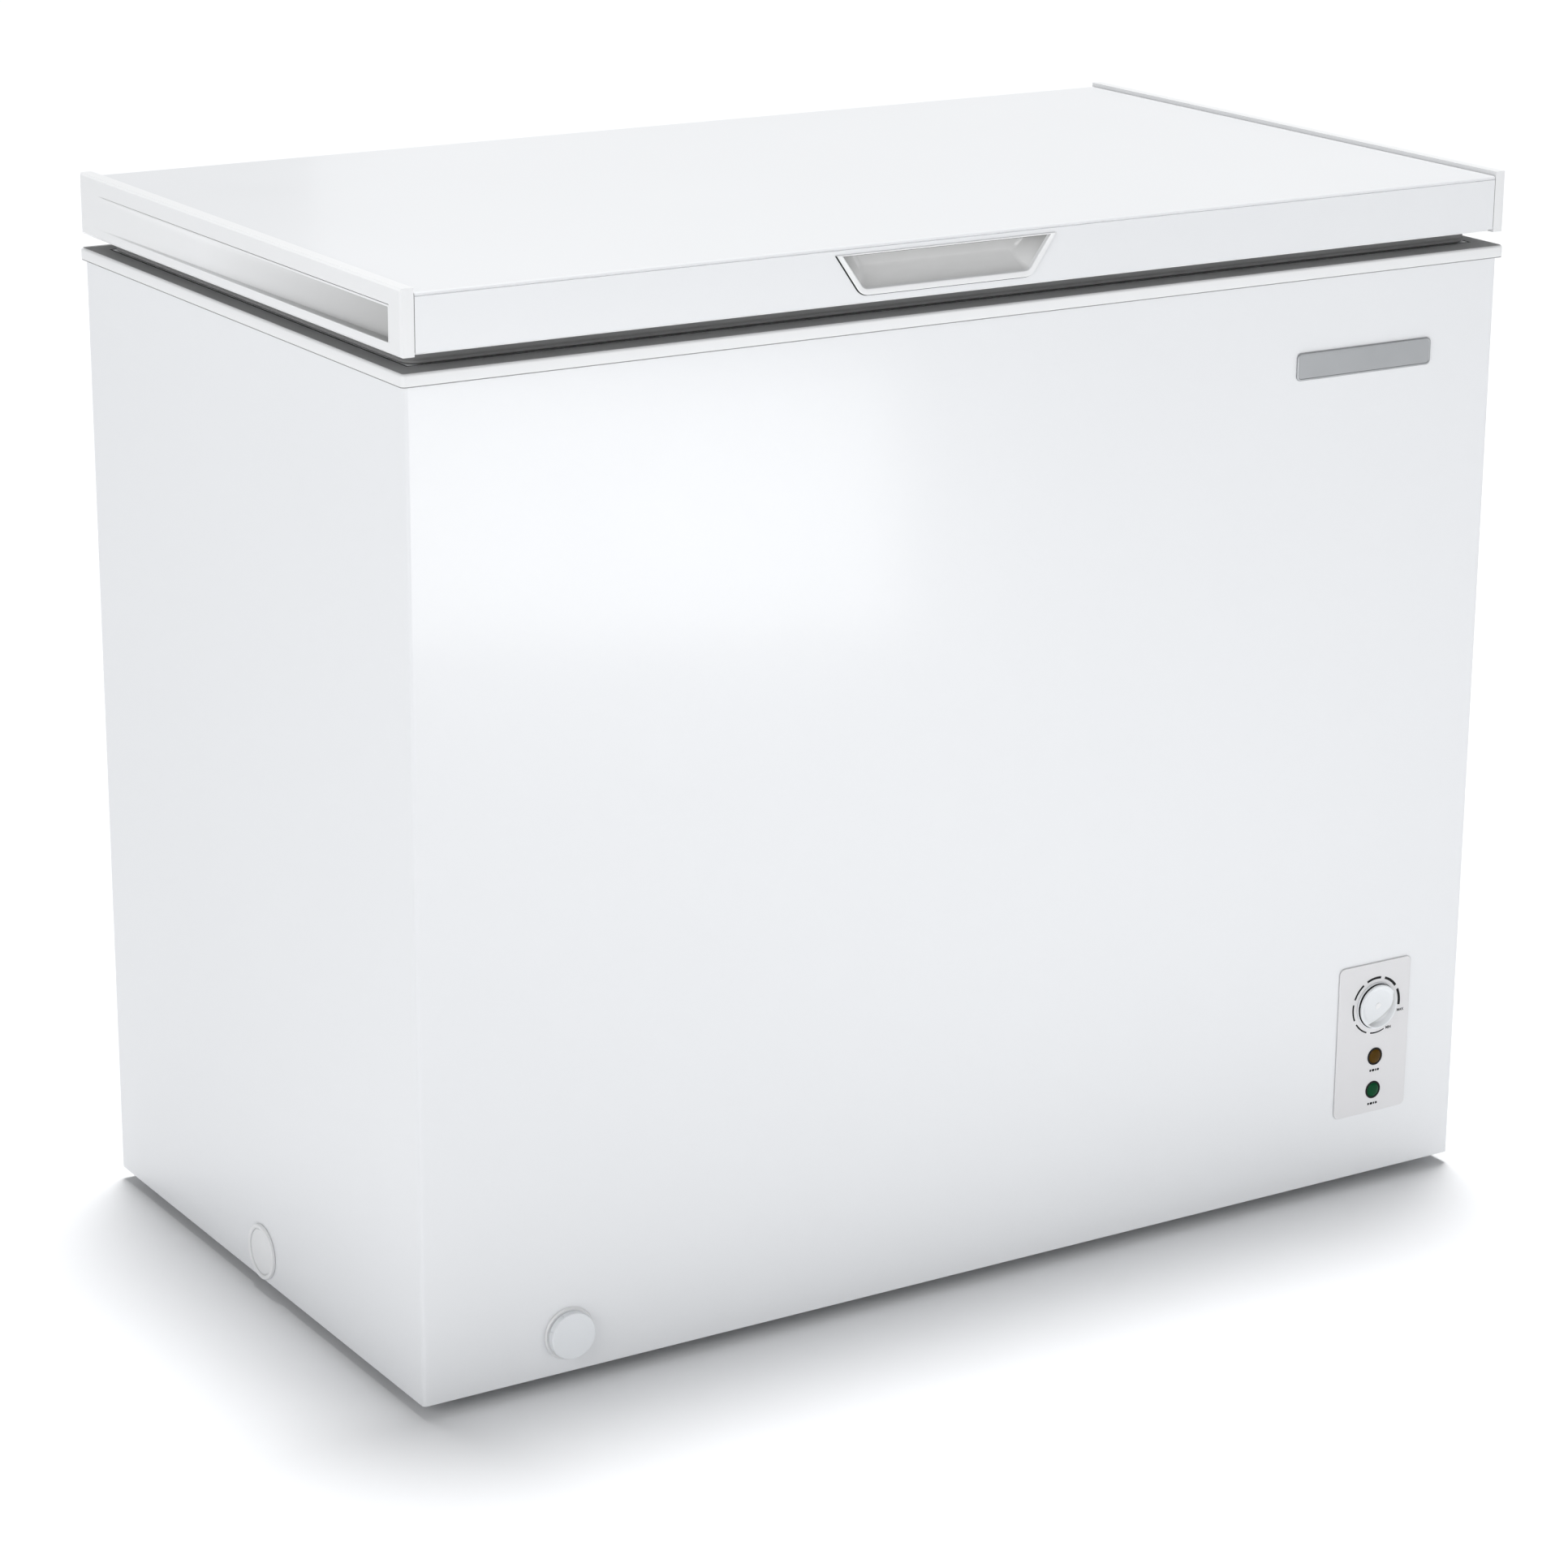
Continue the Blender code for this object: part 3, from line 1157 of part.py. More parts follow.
def make_lights():
    """Two domed lenses in the panel, each with its lamp behind it."""
    names = ("amber", "green")
    for colour, (x, z) in zip(names, lens_places()):
        bm = bmesh.new()
        back = PANEL_FACE + LENS_DEPTH
        profile = [(0.0, back), (LENS_RADIUS, back), (LENS_RADIUS, PANEL_FACE),
                   (0.8 * LENS_RADIUS, PANEL_FACE - 0.6 * LENS_DOME),
                   (0.45 * LENS_RADIUS, PANEL_FACE - 0.92 * LENS_DOME),
                   (0.0, PANEL_FACE - LENS_DOME)]
        add_turned(bm, profile, 18, (x, z), "Y")
        piece(f"{colour}_lens", bm, colour, round_piece=True)
        bm = bmesh.new()
        low = back + GAP
        profile = [(0.0, low), (LAMP_RADIUS - LAMP_ROUND, low), (LAMP_RADIUS, low + LAMP_ROUND),
                   (LAMP_RADIUS, low + LAMP_LENGTH), (0.0, low + LAMP_LENGTH)]
        add_turned(bm, profile, 10, (x, z), "Y")
        piece(f"{colour}_lamp", bm, "frosted", round_piece=True)


# ---------------------------------------------------------------- drain, plug and badge


def drain_path(start_y, end_z):
    """Drain line from the front, back under the floor and up to the liner."""
    corners = [(DRAIN_X, start_y, DRAIN_Z), (DRAIN_X, DRAIN_INLET_Y, DRAIN_Z),
               (DRAIN_X, DRAIN_INLET_Y, end_z)]
    return rounded_path(corners, DRAIN_NECK_RADIUS + DRAIN_BEND_SPARE, 5)


def make_drain():
    """Front outlet with a pull-out seal and a dial, the hose and the inner plug."""
    centre = (DRAIN_X, DRAIN_Z)
    seat = -HALF_Y - GAP
    face = seat - DRAIN_FLANGE_SHEET
    inner = DRAIN_SEAL_RADIUS + GAP
    neck_end = seat + DRAIN_NECK_LENGTH
    bm = bmesh.new()
    profile = [(inner, face), (DRAIN_FLANGE_RADIUS - DRAIN_CHAMFER, face),
               (DRAIN_FLANGE_RADIUS, seat),
               (DRAIN_NECK_RADIUS, seat), (DRAIN_NECK_RADIUS, neck_end), (inner, neck_end)]
    add_turned(bm, profile, 22, centre, "Y", closed=True)
    piece("drain_flange", bm, "white_plastic", round_piece=True)

    seal_end = neck_end - DRAIN_CHAMFER
    pivot = pivot_at("drain_seal_slide", (DRAIN_X, face, DRAIN_Z))
    bm = bmesh.new()
    add_turned(bm, [(0.0, face), (DRAIN_SEAL_RADIUS, face),
                    (DRAIN_SEAL_RADIUS, seal_end - DRAIN_SEAL_TIP),
                    (DRAIN_SEAL_RADIUS - DRAIN_SEAL_TAPER, seal_end), (0.0, seal_end)],
               22, centre, "Y")
    piece("drain_seal", bm, "white_plastic", pivot, True)

    turn = pivot_at("drain_dial_axis", (DRAIN_X, face - GAP, DRAIN_Z))
    back, tip = face - GAP, face - GAP - DRAIN_DIAL_LENGTH
    radius = DRAIN_DIAL_RADIUS
    bm = bmesh.new()
    add_turned(bm, [(0.0, back), (radius, back), (radius, tip + DIAL_EDGE),
                    (radius - DIAL_EDGE, tip),
                    (radius - DIAL_RIM, tip), (radius - DIAL_RIM - DIAL_EDGE, tip + DIAL_EDGE),
                    (0.0, tip + DIAL_EDGE)],
               28, centre, "Y")
    dial = piece("drain_dial", bm, "white_plastic", turn, True)
    cut_box(dial, (DRAIN_X - DIAL_NOTCH_HALF, tip - CUT_PAST, DRAIN_Z + radius - DIAL_NOTCH),
            (DRAIN_X + DIAL_NOTCH_HALF, tip + 2 * DIAL_EDGE, DRAIN_Z + radius + CUT_PAST))

    bm = bmesh.new()
    hose_top = LINER_FLOOR - SHEET - GAP
    add_sweep(bm, drain_path(neck_end + GAP, hose_top), DRAIN_NECK_RADIUS, 12)
    hose = piece("drain_hose", bm, "grey_plastic", round_piece=True)
    bore = bmesh.new()
    add_sweep(bore, drain_path(neck_end - CUT_PAST, hose_top + CUT_PAST), DRAIN_HOSE_BORE, 12)
    cut(hose, bore)

    plug_pivot = pivot_at("drain_plug_slide", (DRAIN_X, DRAIN_INLET_Y, LINER_FLOOR))
    seat = LINER_FLOOR + GAP
    bm = bmesh.new()
    low, high = LINER_FLOOR - DRAIN_PLUG_REACH, seat + DRAIN_PLUG_HEIGHT
    rim = seat + DRAIN_PLUG_SHEET
    profile = [(0.0, low), (DRAIN_PLUG_RADIUS - DRAIN_CHAMFER, low),
               (DRAIN_PLUG_RADIUS - GAP, seat), (DRAIN_PLUG_FLANGE, seat),
               (DRAIN_PLUG_FLANGE - DRAIN_CHAMFER, rim), (PLUG_STEM, rim + DRAIN_CHAMFER),
               (PLUG_STEM, high - PLUG_KNOB_HEIGHT), (PLUG_KNOB, high - DRAIN_CHAMFER),
               (PLUG_STEM, high), (0.0, high)]
    add_turned(bm, profile, 16, (DRAIN_X, DRAIN_INLET_Y))
    piece("drain_plug", bm, "white_plastic", plug_pivot, True)


def make_side_plug():
    """Round plug with a raised ring, low in the left side."""
    face = -HALF_X - GAP
    top = face - SIDE_PLUG_PROUD
    profile = [(0.0, face + SIDE_PLUG_DEPTH), (SIDE_PLUG_NECK - PLUG_TAPER, face + SIDE_PLUG_DEPTH),
               (SIDE_PLUG_NECK, face + SIDE_PLUG_DEPTH - PLUG_TAPER), (SIDE_PLUG_NECK, face),
               (SIDE_PLUG_RADIUS, face), (SIDE_PLUG_RADIUS - PLUG_TAPER, top),
               (SIDE_PLUG_DISC, top), (SIDE_PLUG_DISC - PLUG_TAPER, top + SIDE_PLUG_SUNK),
               (0.0, top + SIDE_PLUG_SUNK)]
    bm = bmesh.new()
    add_turned(bm, profile, 26, (0.0, SIDE_PLUG_Z), "X")
    piece("side_plug", bm, "white_plastic", round_piece=True)


def make_name_badge():
    """Blank badge."""
    middle = (HALF_X - BADGE_FROM_RIGHT, LIP_Z - BADGE_BELOW_LIP)
    seat = -HALF_Y - GAP
    loops = []
    for inset, level in ((BADGE_EDGE, seat - BADGE_SHEET), (0.0, seat - BADGE_SHEET + BADGE_EDGE),
                         (0.0, seat)):
        outline = rounded_rectangle(BADGE_LENGTH / 2 - inset, BADGE_HEIGHT / 2 - inset,
                                    BADGE_CORNER - inset, 3, middle)
        loops.append([on_axis("Y", x, z, level) for x, z in outline])
    bm = bmesh.new()
    add_loft(bm, loops)
    piece("name_badge", bm, "chrome")


# ---------------------------------------------------------------- lid


def grip_outline(inset, top_extra=0.0, steps=3):
    """Return the outline of the recessed grip: wide at the top, round lower corners."""
    top = LID_TOP - GRIP_CUP_BELOW_TOP + top_extra
    low = LID_TOP - GRIP_CUP_BELOW_TOP - GRIP_CUP_HEIGHT + inset
    lean = (GRIP_TOP_LENGTH - GRIP_BOTTOM_LENGTH) / 2 / GRIP_CUP_HEIGHT
    half_top = GRIP_TOP_LENGTH / 2 - inset * math.hypot(1.0, lean) + lean * top_extra
    half_low = half_top - lean * (top - low)
    radius = max(GRIP_CORNER - inset, GRIP_LEAST_CORNER)
    corners = [(half_top, 0.0, top), (half_low, 0.0, low), (-half_low, 0.0, low),
               (-half_top, 0.0, top)]
    path = rounded_path(corners, radius, steps)
    return [(GRIP_CENTRE_X + point.x, point.z) for point in path]


def make_lid_skin(pivot):
    """Folded sheet that makes the lid's front, top and rear."""
    sheet, turn = LID_SHEET, LID_RETURN
    front, rear, low, top = LID_FRONT, LID_REAR, LID_BOTTOM, LID_TOP
    edge = LID_EDGE
    outline = [(front + turn, low), (front, low)]
    outline += arc((front + edge, top - edge), edge, 180, 90, 3)
    outline += arc((rear - edge, top - edge), edge, 90, 0, 3)
    outline += [(rear, low), (rear - turn, low), (rear - turn, low + sheet)]
    inner = edge - sheet
    outline += [(rear - sheet, low + sheet)]
    outline += arc((rear - edge, top - edge), inner, 0, 90, 3)
    outline += arc((front + edge, top - edge), inner, 90, 180, 3)
    outline += [(front + sheet, low + sheet), (front + turn, low + sheet)]
    bm = bmesh.new()
    add_prism(bm, outline, -LID_HALF_X, LID_HALF_X, "X")
    skin = piece("lid_skin", bm, "white_paint", pivot)
    opening = grip_outline(GRIP_BEZEL / 2 - GAP, GAP - GRIP_BEZEL_TOP)
    cut_prism(skin, opening, front - CUT_PAST, front + LID_EDGE + LID_SHEET, "Y")


def make_lid_caps(pivot):
    """Moulded caps over the lid's two ends, each with a recess that fades to the rear."""
    for name, side in (("lid_end_cap_left", -1), ("lid_end_cap_right", 1)):
        near, far = side * (CAP_OUTER - CAP_WIDTH), side * CAP_OUTER
        bm = bmesh.new()
        add_box(bm, (min(near, far), LID_FRONT, CAP_BOTTOM), (max(near, far), LID_REAR, CAP_TOP))
        cap = piece(name, bm, "white_plastic", pivot)
        bevel(cap, CAP_EDGE)
        recess = bmesh.new()
        start, end = LID_FRONT + CAP_RECESS_FRONT, LID_REAR - CAP_RECESS_REAR
        low = CAP_BOTTOM + CAP_RECESS_LOW
        high = low + CAP_RECESS_HEIGHT
        deep = far - side * CAP_RECESS_DEPTH
        out = far + side * CUT_PAST
        outline = [(out, start), (deep, start), (deep, start + CAP_RECESS_FLAT), (far, end),
                   (out, end)]
        add_prism(recess, outline, low, high, "Z")
        cut(cap, recess)


def plug_half_sizes():
    """Return the half sizes of the lid's plug, which enters the top frame."""
    inset = FRAME_TOP_WIDTH + LID_PLUG_CLEARANCE
    return FRAME_X - inset, FRAME_Y - inset


def make_lid_inside(pivot):
    """Foam block and liner of the lid, with the plug that enters the cabinet."""
    low = LID_BOTTOM + LID_SHEET + GAP
    front, rear = LID_FRONT + LID_SHEET + GAP, LID_REAR - LID_SHEET - GAP
    half_x = LID_HALF_X
    plug_x, plug_y = plug_half_sizes()
    sheet = LID_LINER_SHEET
    plug_bottom = LID_BOTTOM - LID_PLUG_DEPTH
    under = LID_BOTTOM - GAP

    bm = bmesh.new()
    top = LID_TOP - LID_SHEET - GAP
    edge = LID_EDGE
    outline = [(front, low), (rear, low)] + arc((rear - edge, top - edge), edge, 0, 90, 2)
    outline += arc((front + edge, top - edge), edge, 90, 180, 2)
    add_prism(bm, outline, -half_x, half_x, "X")
    foam = piece("lid_foam", bm, "foam", pivot)
    boss = bmesh.new()
    wall = sheet + GAP
    outline = rounded_rectangle(plug_x - wall, plug_y - wall, LID_PLUG_CORNER - wall)
    add_prism(boss, outline, plug_bottom + wall, low + BOSS_OVERLAP, "Z")
    boss_piece = to_object("boss_lid_foam", boss, None)
    boss_piece.display_type = "WIRE"
    boss_piece.hide_render = True
    union = foam.modifiers.new("boss", "BOOLEAN")
    union.operation = "UNION"
    union.object = boss_piece
    cut_prism(foam, grip_outline(GRIP_BEZEL / 2 - 2 * GAP - GRIP_WALL, GRIP_UNDERCUT + 2 * GAP),
              front - CUT_PAST, LID_FRONT + GRIP_CUP_DEPTH + GAP, "Y")

    bm = bmesh.new()
    loops = []
    flange_x, flange_y = half_x, HALF_Y - LID_LINER_INSET
    corner, inner_corner = LID_LINER_CORNER, LID_PLUG_CORNER - sheet
    steps = [(flange_x, flange_y, under - sheet, corner), (flange_x, flange_y, under, corner),
             (plug_x - sheet, plug_y - sheet, under, inner_corner),
             (plug_x - sheet, plug_y - sheet, plug_bottom + sheet, inner_corner)]
    for x, y, level, radius in steps:
        loops.append([(a, b, level) for a, b in rounded_rectangle(x, y, radius)])
    outer = [(plug_x, plug_y, under - sheet, LID_PLUG_CORNER),
             (plug_x - LID_PLUG_DRAFT, plug_y - LID_PLUG_DRAFT, plug_bottom, LID_PLUG_CORNER)]
    rings = [[bm.verts.new(point) for point in loop] for loop in loops]
    below = []
    for x, y, level, radius in outer:
        below.append([bm.verts.new((a, b, level)) for a, b in rounded_rectangle(x, y, radius)])
    chain = [below[1], below[0]] + rings
    for lower, upper in zip(chain, chain[1:]):
        for i in range(len(lower)):
            j = (i + 1) % len(lower)
            bm.faces.new((lower[i], lower[j], upper[j], upper[i]))
    bm.faces.new(list(reversed(below[1])))
    bm.faces.new(rings[-1])
    piece("lid_liner", bm, "white_plastic", pivot)


def make_lid_gasket(pivot):
    """Magnetic gasket round the lid's underside, just clear of the frame when closed."""
    top = LID_BOTTOM - 2 * GAP - LID_LINER_SHEET
    bottom = FRAME_TOP + GAP
    outer_x, outer_y = HALF_X - GASKET_INSET_X, HALF_Y - GASKET_INSET_Y
    middle, lip = (top + bottom) / 2, GASKET_LIP
    profile = [(0.0, bottom), (0.0, middle - lip), (2 * lip, middle), (lip, top),
               (GASKET_WIDTH - lip, top), (GASKET_WIDTH - 2 * lip, middle),
               (GASKET_WIDTH, middle - lip), (GASKET_WIDTH, bottom)]
    loops = []
    for inset, level in profile:
        radius = GASKET_CORNER - inset / 2
        outline = rounded_rectangle(outer_x - inset, outer_y - inset, radius, 2)
        loops.append([(x, y, level) for x, y in outline])
    bm = bmesh.new()
    add_loft(bm, loops, closed=True)
    piece("lid_gasket", bm, "gasket_grey", pivot)


def make_lid_handle(pivot):
    """Recessed grip: a bezel on the skin and a cup that runs up behind its upper edge."""
    front = LID_FRONT - GAP
    face = front - GRIP_BEZEL_SHEET
    back = LID_FRONT + GRIP_CUP_DEPTH
    bm = bmesh.new()
    loops = []
    cup, edge, undercut = GRIP_BEZEL / 2, GRIP_EDGE, GRIP_UNDERCUT
    for inset, extra, level in ((edge, 0.0, face), (0.0, 0.0, face + edge), (0.0, 0.0, front),
                                (cup, -GRIP_BEZEL_TOP, front),
                                (cup, -GRIP_BEZEL_TOP, LID_FRONT + LID_SHEET + GAP),
                                (cup - GRIP_WALL, undercut, LID_FRONT + LID_SHEET + 2 * GAP),
                                (cup - GRIP_WALL, undercut, back)):
        outline = grip_outline(inset, extra)
        loops.append([on_axis("Y", x, z, level) for x, z in outline])
    add_loft(bm, loops)
    handle = piece("lid_handle", bm, "grey_plastic", pivot)
    hollow = bmesh.new()
    loops = []
    behind = LID_FRONT + LID_SHEET + GRIP_LIP_DEPTH
    for extra, level in ((-GRIP_LIP, face - CUT_PAST), (-GRIP_LIP, behind),
                         (undercut - GRIP_WALL, behind + GRIP_WALL),
                         (undercut - GRIP_WALL, back - GRIP_WALL)):
        outline = grip_outline(GRIP_BEZEL, extra)
        loops.append([on_axis("Y", x, z, level) for x, z in outline])
    add_loft(hollow, loops)
    cut(handle, hollow)


# ---------------------------------------------------------------- hinges


def make_hinge_housing(name, x):
    """Flanged channel on the rear panel with two ears for the pin."""
    seat = HALF_Y + GAP
    half, sheet = HINGE_CHANNEL_HALF, HINGE_SHEET
    flange = half + HINGE_FLANGE
    outline = [
        (-flange, seat), (flange, seat), (flange, seat + sheet), (half, seat + sheet),
        (half, CHANNEL_BACK), (-half, CHANNEL_BACK), (-half, seat + sheet), (-flange, seat + sheet)]
    bm = bmesh.new()
    flange_top = LIP_Z - HINGE_BELOW_LIP
    add_prism(bm, [(x + a, b) for a, b in outline], CHANNEL_BOTTOM, flange_top)
    housing = piece(name, bm, "zinc_steel")
    inner = half - sheet
    cut_box(housing, (x - inner, seat + sheet, CHANNEL_BOTTOM + sheet),
            (x + inner, CHANNEL_BACK - sheet, FRAME_TOP))
    ears = bmesh.new()
    ear_top, ear_low = HINGE_Z + HINGE_EAR_RISE, flange_top - HINGE_EAR_OVERLAP
    ear_front = HALF_Y + FRAME_OVERHANG + HINGE_CLEARANCE
    for side in (-1, 1):
        near, far = x + side * inner, x + side * half
        add_box(ears, (min(near, far), ear_front, ear_low), (max(near, far), CHANNEL_BACK, ear_top))
    ear_piece = to_object("ears_" + name, ears, None)
    ear_piece.display_type = "WIRE"
    ear_piece.hide_render = True
    union = housing.modifiers.new("ears", "BOOLEAN")
    union.operation = "UNION"
    union.object = ear_piece
    cut_hole(housing, HINGE_PIN_RADIUS + GAP, x - half - CUT_PAST, x + half + CUT_PAST,
             (HINGE_Y, HINGE_Z), "X", 12)


def make_hinge_leaf(name, x, pivot):
    """Plate on the lid's rear with the barrel and the cam that presses on the plunger."""
    seat = LID_REAR + GAP
    sheet = HINGE_LEAF_SHEET
    low = HINGE_Z + HINGE_LEAF_RISE
    half = HINGE_LEAF_HALF
    inner = HINGE_CHANNEL_HALF - HINGE_SHEET - 2 * GAP
    bm = bmesh.new()
    add_box(bm, (x - half, seat, low), (x + half, seat + sheet, low + HINGE_LEAF_HEIGHT))
    leaf = piece(name, bm, "zinc_steel", pivot)
    arm_top = low + ARM_ON_LEAF
    arm = bmesh.new()
    outline = [(seat, low), (HINGE_Y - ARM_HALF, HINGE_Z - ARM_SUNK),
               (HINGE_Y + ARM_SUNK, HINGE_Z + ARM_HALF),
               (seat + sheet + ARM_SUNK, arm_top), (seat + ARM_SUNK, arm_top)]
    add_prism(arm, outline, x - inner, x + inner, "X")
    barrel = bmesh.new()
    add_rod(barrel, HINGE_BARREL_RADIUS, x - inner, x + inner, (HINGE_Y, HINGE_Z), "X", 16)
    cam = bmesh.new()
    add_rod(cam, CAM_RADIUS, x - CAM_HALF_WIDTH, x + CAM_HALF_WIDTH, (CAM_CENTRE_Y, CAM_CENTRE_Z),
            "X", 28)
    for part_name, shape in (("arm", arm), ("barrel", barrel), ("cam", cam)):
        guide = to_object(f"{part_name}_{name}", shape, None)
        guide.display_type = "WIRE"
        guide.hide_render = True
        union = leaf.modifiers.new(part_name, "BOOLEAN")
        union.operation = "UNION"
        union.object = guide
    cut_hole(leaf, HINGE_PIN_RADIUS + GAP, x - half, x + half, (HINGE_Y, HINGE_Z), "X", 12)


def make_hinge_insides(side_name, x):
    """Pin, plunger and counterbalance spring of one hinge."""
    reach = HINGE_CHANNEL_HALF + HINGE_PIN_PROUD
    bm = bmesh.new()
    add_rod(bm, HINGE_PIN_RADIUS, x - reach, x + reach, (HINGE_Y, HINGE_Z), "X", 12)
    piece(f"hinge_pin_{side_name}", bm, "zinc_steel", round_piece=True)

    low = PLUNGER_TOP - PLUNGER_LENGTH
    inner = HINGE_CHANNEL_HALF - HINGE_SHEET - 3 * GAP
    head_front = HALF_Y + FRAME_OVERHANG + PLUNGER_CLEARANCE
    head_rear = CHANNEL_BACK - HINGE_SHEET - 2 * GAP
    pivot = pivot_at(f"hinge_plunger_slide_{side_name}", (x, CHANNEL_MID, PLUNGER_TOP))
    bm = bmesh.new()
    add_box(bm, (x - inner, head_front, low), (x + inner, head_rear, PLUNGER_TOP))
    bevel(piece(f"hinge_plunger_{side_name}", bm, "grey_plastic", pivot), PLUNGER_EDGE)

    bottom = CHANNEL_BOTTOM + HINGE_SHEET + GAP + SPRING_WIRE
    top = low - GAP - SPRING_WIRE
    steps = SPRING_TURNS * 8
    centre_y = (head_front + head_rear) / 2
    points = []
    for i in range(steps + 1):
        angle = 2 * math.pi * i / 8
        height = bottom + (top - bottom) * i / steps
        points.append((x + SPRING_RADIUS * math.cos(angle),
                       centre_y + SPRING_RADIUS * math.sin(angle), height))
    bm = bmesh.new()
    add_sweep(bm, points, SPRING_WIRE, 4)
    piece(f"hinge_spring_{side_name}", bm, "zinc_steel", round_piece=True)


def make_hinges(pivot):
    """Both hinges."""
    for side_name, x in (("left", -HINGE_X), ("right", HINGE_X)):
        make_hinge_housing(f"hinge_housing_{side_name}", x)
        make_hinge_leaf(f"hinge_leaf_{side_name}", x, pivot)
        make_hinge_insides(side_name, x)


# ---------------------------------------------------------------- basket


def make_basket():
    """Open basket that hangs by two rails on the ledge and slides along it."""
    half_x, top = BASKET_LENGTH / 2, BASKET_TOP
    centre = (BASKET_X, 0.0)
    bottom = top - BASKET_HEIGHT
    loops = []
    rail_low = top - BASKET_RAIL
    reach = BASKET_Y + BASKET_SIDE_CLEARANCE + BASKET_HOOK
    for x, y, radius, level in (
            (half_x - BASKET_DRAFT, BASKET_Y - BASKET_DRAFT, BASKET_CORNER, bottom),
            (half_x, BASKET_Y, BASKET_CORNER, rail_low),
            (half_x + BASKET_RAIL, reach, BASKET_RAIL_CORNER, rail_low),
            (half_x + BASKET_RAIL, reach, BASKET_RAIL_CORNER, top)):
        loops.append([(a, b, level) for a, b in rounded_rectangle(x, y, radius, 3, centre)])
    bm = bmesh.new()
    add_loft(bm, loops)
    pivot = pivot_at("basket_slide", (BASKET_X, 0.0, LEDGE_Z))
    basket = piece("basket", bm, "chrome", pivot)
    wall = BASKET_WALL
    loops = []
    for draft, level in ((BASKET_DRAFT, bottom + wall), (0.0, top + CUT_PAST)):
        x, y = half_x - draft - wall, BASKET_Y - draft - wall
        outline = rounded_rectangle(x, y, BASKET_CORNER - wall, 3, centre)
        loops.append([(a, b, level) for a, b in outline])
    hollow = bmesh.new()
    add_loft(hollow, loops)
    cut(basket, hollow)


# ---------------------------------------------------------------- whole freezer


def main():
    """Build every piece of the freezer."""
    for old in list(bpy.data.objects):
        bpy.data.objects.remove(old)
    make_outer_shell()
    make_rear_panel()
    make_base_pan()
    make_feet()
    make_partition()
    make_foam()
    make_inner_liner()
    make_top_frame()
    make_coils()
    make_compressor()
    make_room_fittings()
    make_machine_room_cover()
    make_cord_gland()
    make_side_vent_grille()
    make_control_panel()
    make_thermostat()
    make_lights()
    make_drain()
    make_side_plug()
    make_name_badge()
    lid = pivot_at("lid_axis", (0.0, HINGE_Y, HINGE_Z))
    make_lid_skin(lid)
    make_lid_caps(lid)
    make_lid_inside(lid)
    make_lid_gasket(lid)
    make_lid_handle(lid)
    make_hinges(lid)
    make_basket()


if __name__ == "__main__":
    main()
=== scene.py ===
"""Chest freezer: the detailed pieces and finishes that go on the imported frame.

The file is laid out as an add-on: sizes and colours are properties, each group of pieces
is an operator, and a panel in the sidebar lists them. It is run as a script. Sizes are in
metres, X runs along the front, -Y is the front and Z is up.
"""

import math

import bmesh
import bpy
from bpy.props import FloatProperty, FloatVectorProperty, IntProperty, PointerProperty
from mathutils import Matrix, Vector


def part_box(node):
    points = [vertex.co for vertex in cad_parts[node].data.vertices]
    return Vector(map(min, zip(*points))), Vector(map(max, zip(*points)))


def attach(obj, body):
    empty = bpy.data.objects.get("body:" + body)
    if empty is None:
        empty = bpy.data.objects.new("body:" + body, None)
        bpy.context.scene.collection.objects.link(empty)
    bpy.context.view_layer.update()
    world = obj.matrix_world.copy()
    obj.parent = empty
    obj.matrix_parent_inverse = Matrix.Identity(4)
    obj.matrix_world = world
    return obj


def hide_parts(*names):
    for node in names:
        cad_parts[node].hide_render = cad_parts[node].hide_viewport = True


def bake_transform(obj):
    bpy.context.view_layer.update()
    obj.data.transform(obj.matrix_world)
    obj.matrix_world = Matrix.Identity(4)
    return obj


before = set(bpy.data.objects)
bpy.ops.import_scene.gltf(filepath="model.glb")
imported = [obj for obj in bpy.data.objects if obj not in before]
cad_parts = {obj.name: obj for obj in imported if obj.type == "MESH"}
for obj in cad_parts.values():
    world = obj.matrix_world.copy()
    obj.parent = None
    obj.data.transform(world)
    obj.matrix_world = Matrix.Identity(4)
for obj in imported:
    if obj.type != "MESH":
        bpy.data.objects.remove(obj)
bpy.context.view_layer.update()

bl_info = {
    "name": "Chest Freezer",
    "version": (1, 0, 0),
    "blender": (4, 5, 0),
    "location": "3D View > Sidebar > Freezer",
    "description": "Builds the detailed pieces and finishes of a chest freezer",
    "category": "Object",
}

# ---------------------------------------------------------------- properties


def colour_property(name, description, default):
    """Return a linear RGB colour property."""
    return FloatVectorProperty(
        name=name, description=description, default=default, size=3, min=0.0, max=1.0,
        subtype="COLOR")


def length_property(name, description, default):
    """Return a length property in metres."""
    return FloatProperty(
        name=name, description=description, default=default, min=0.0, unit="LENGTH",
        subtype="DISTANCE", precision=5)


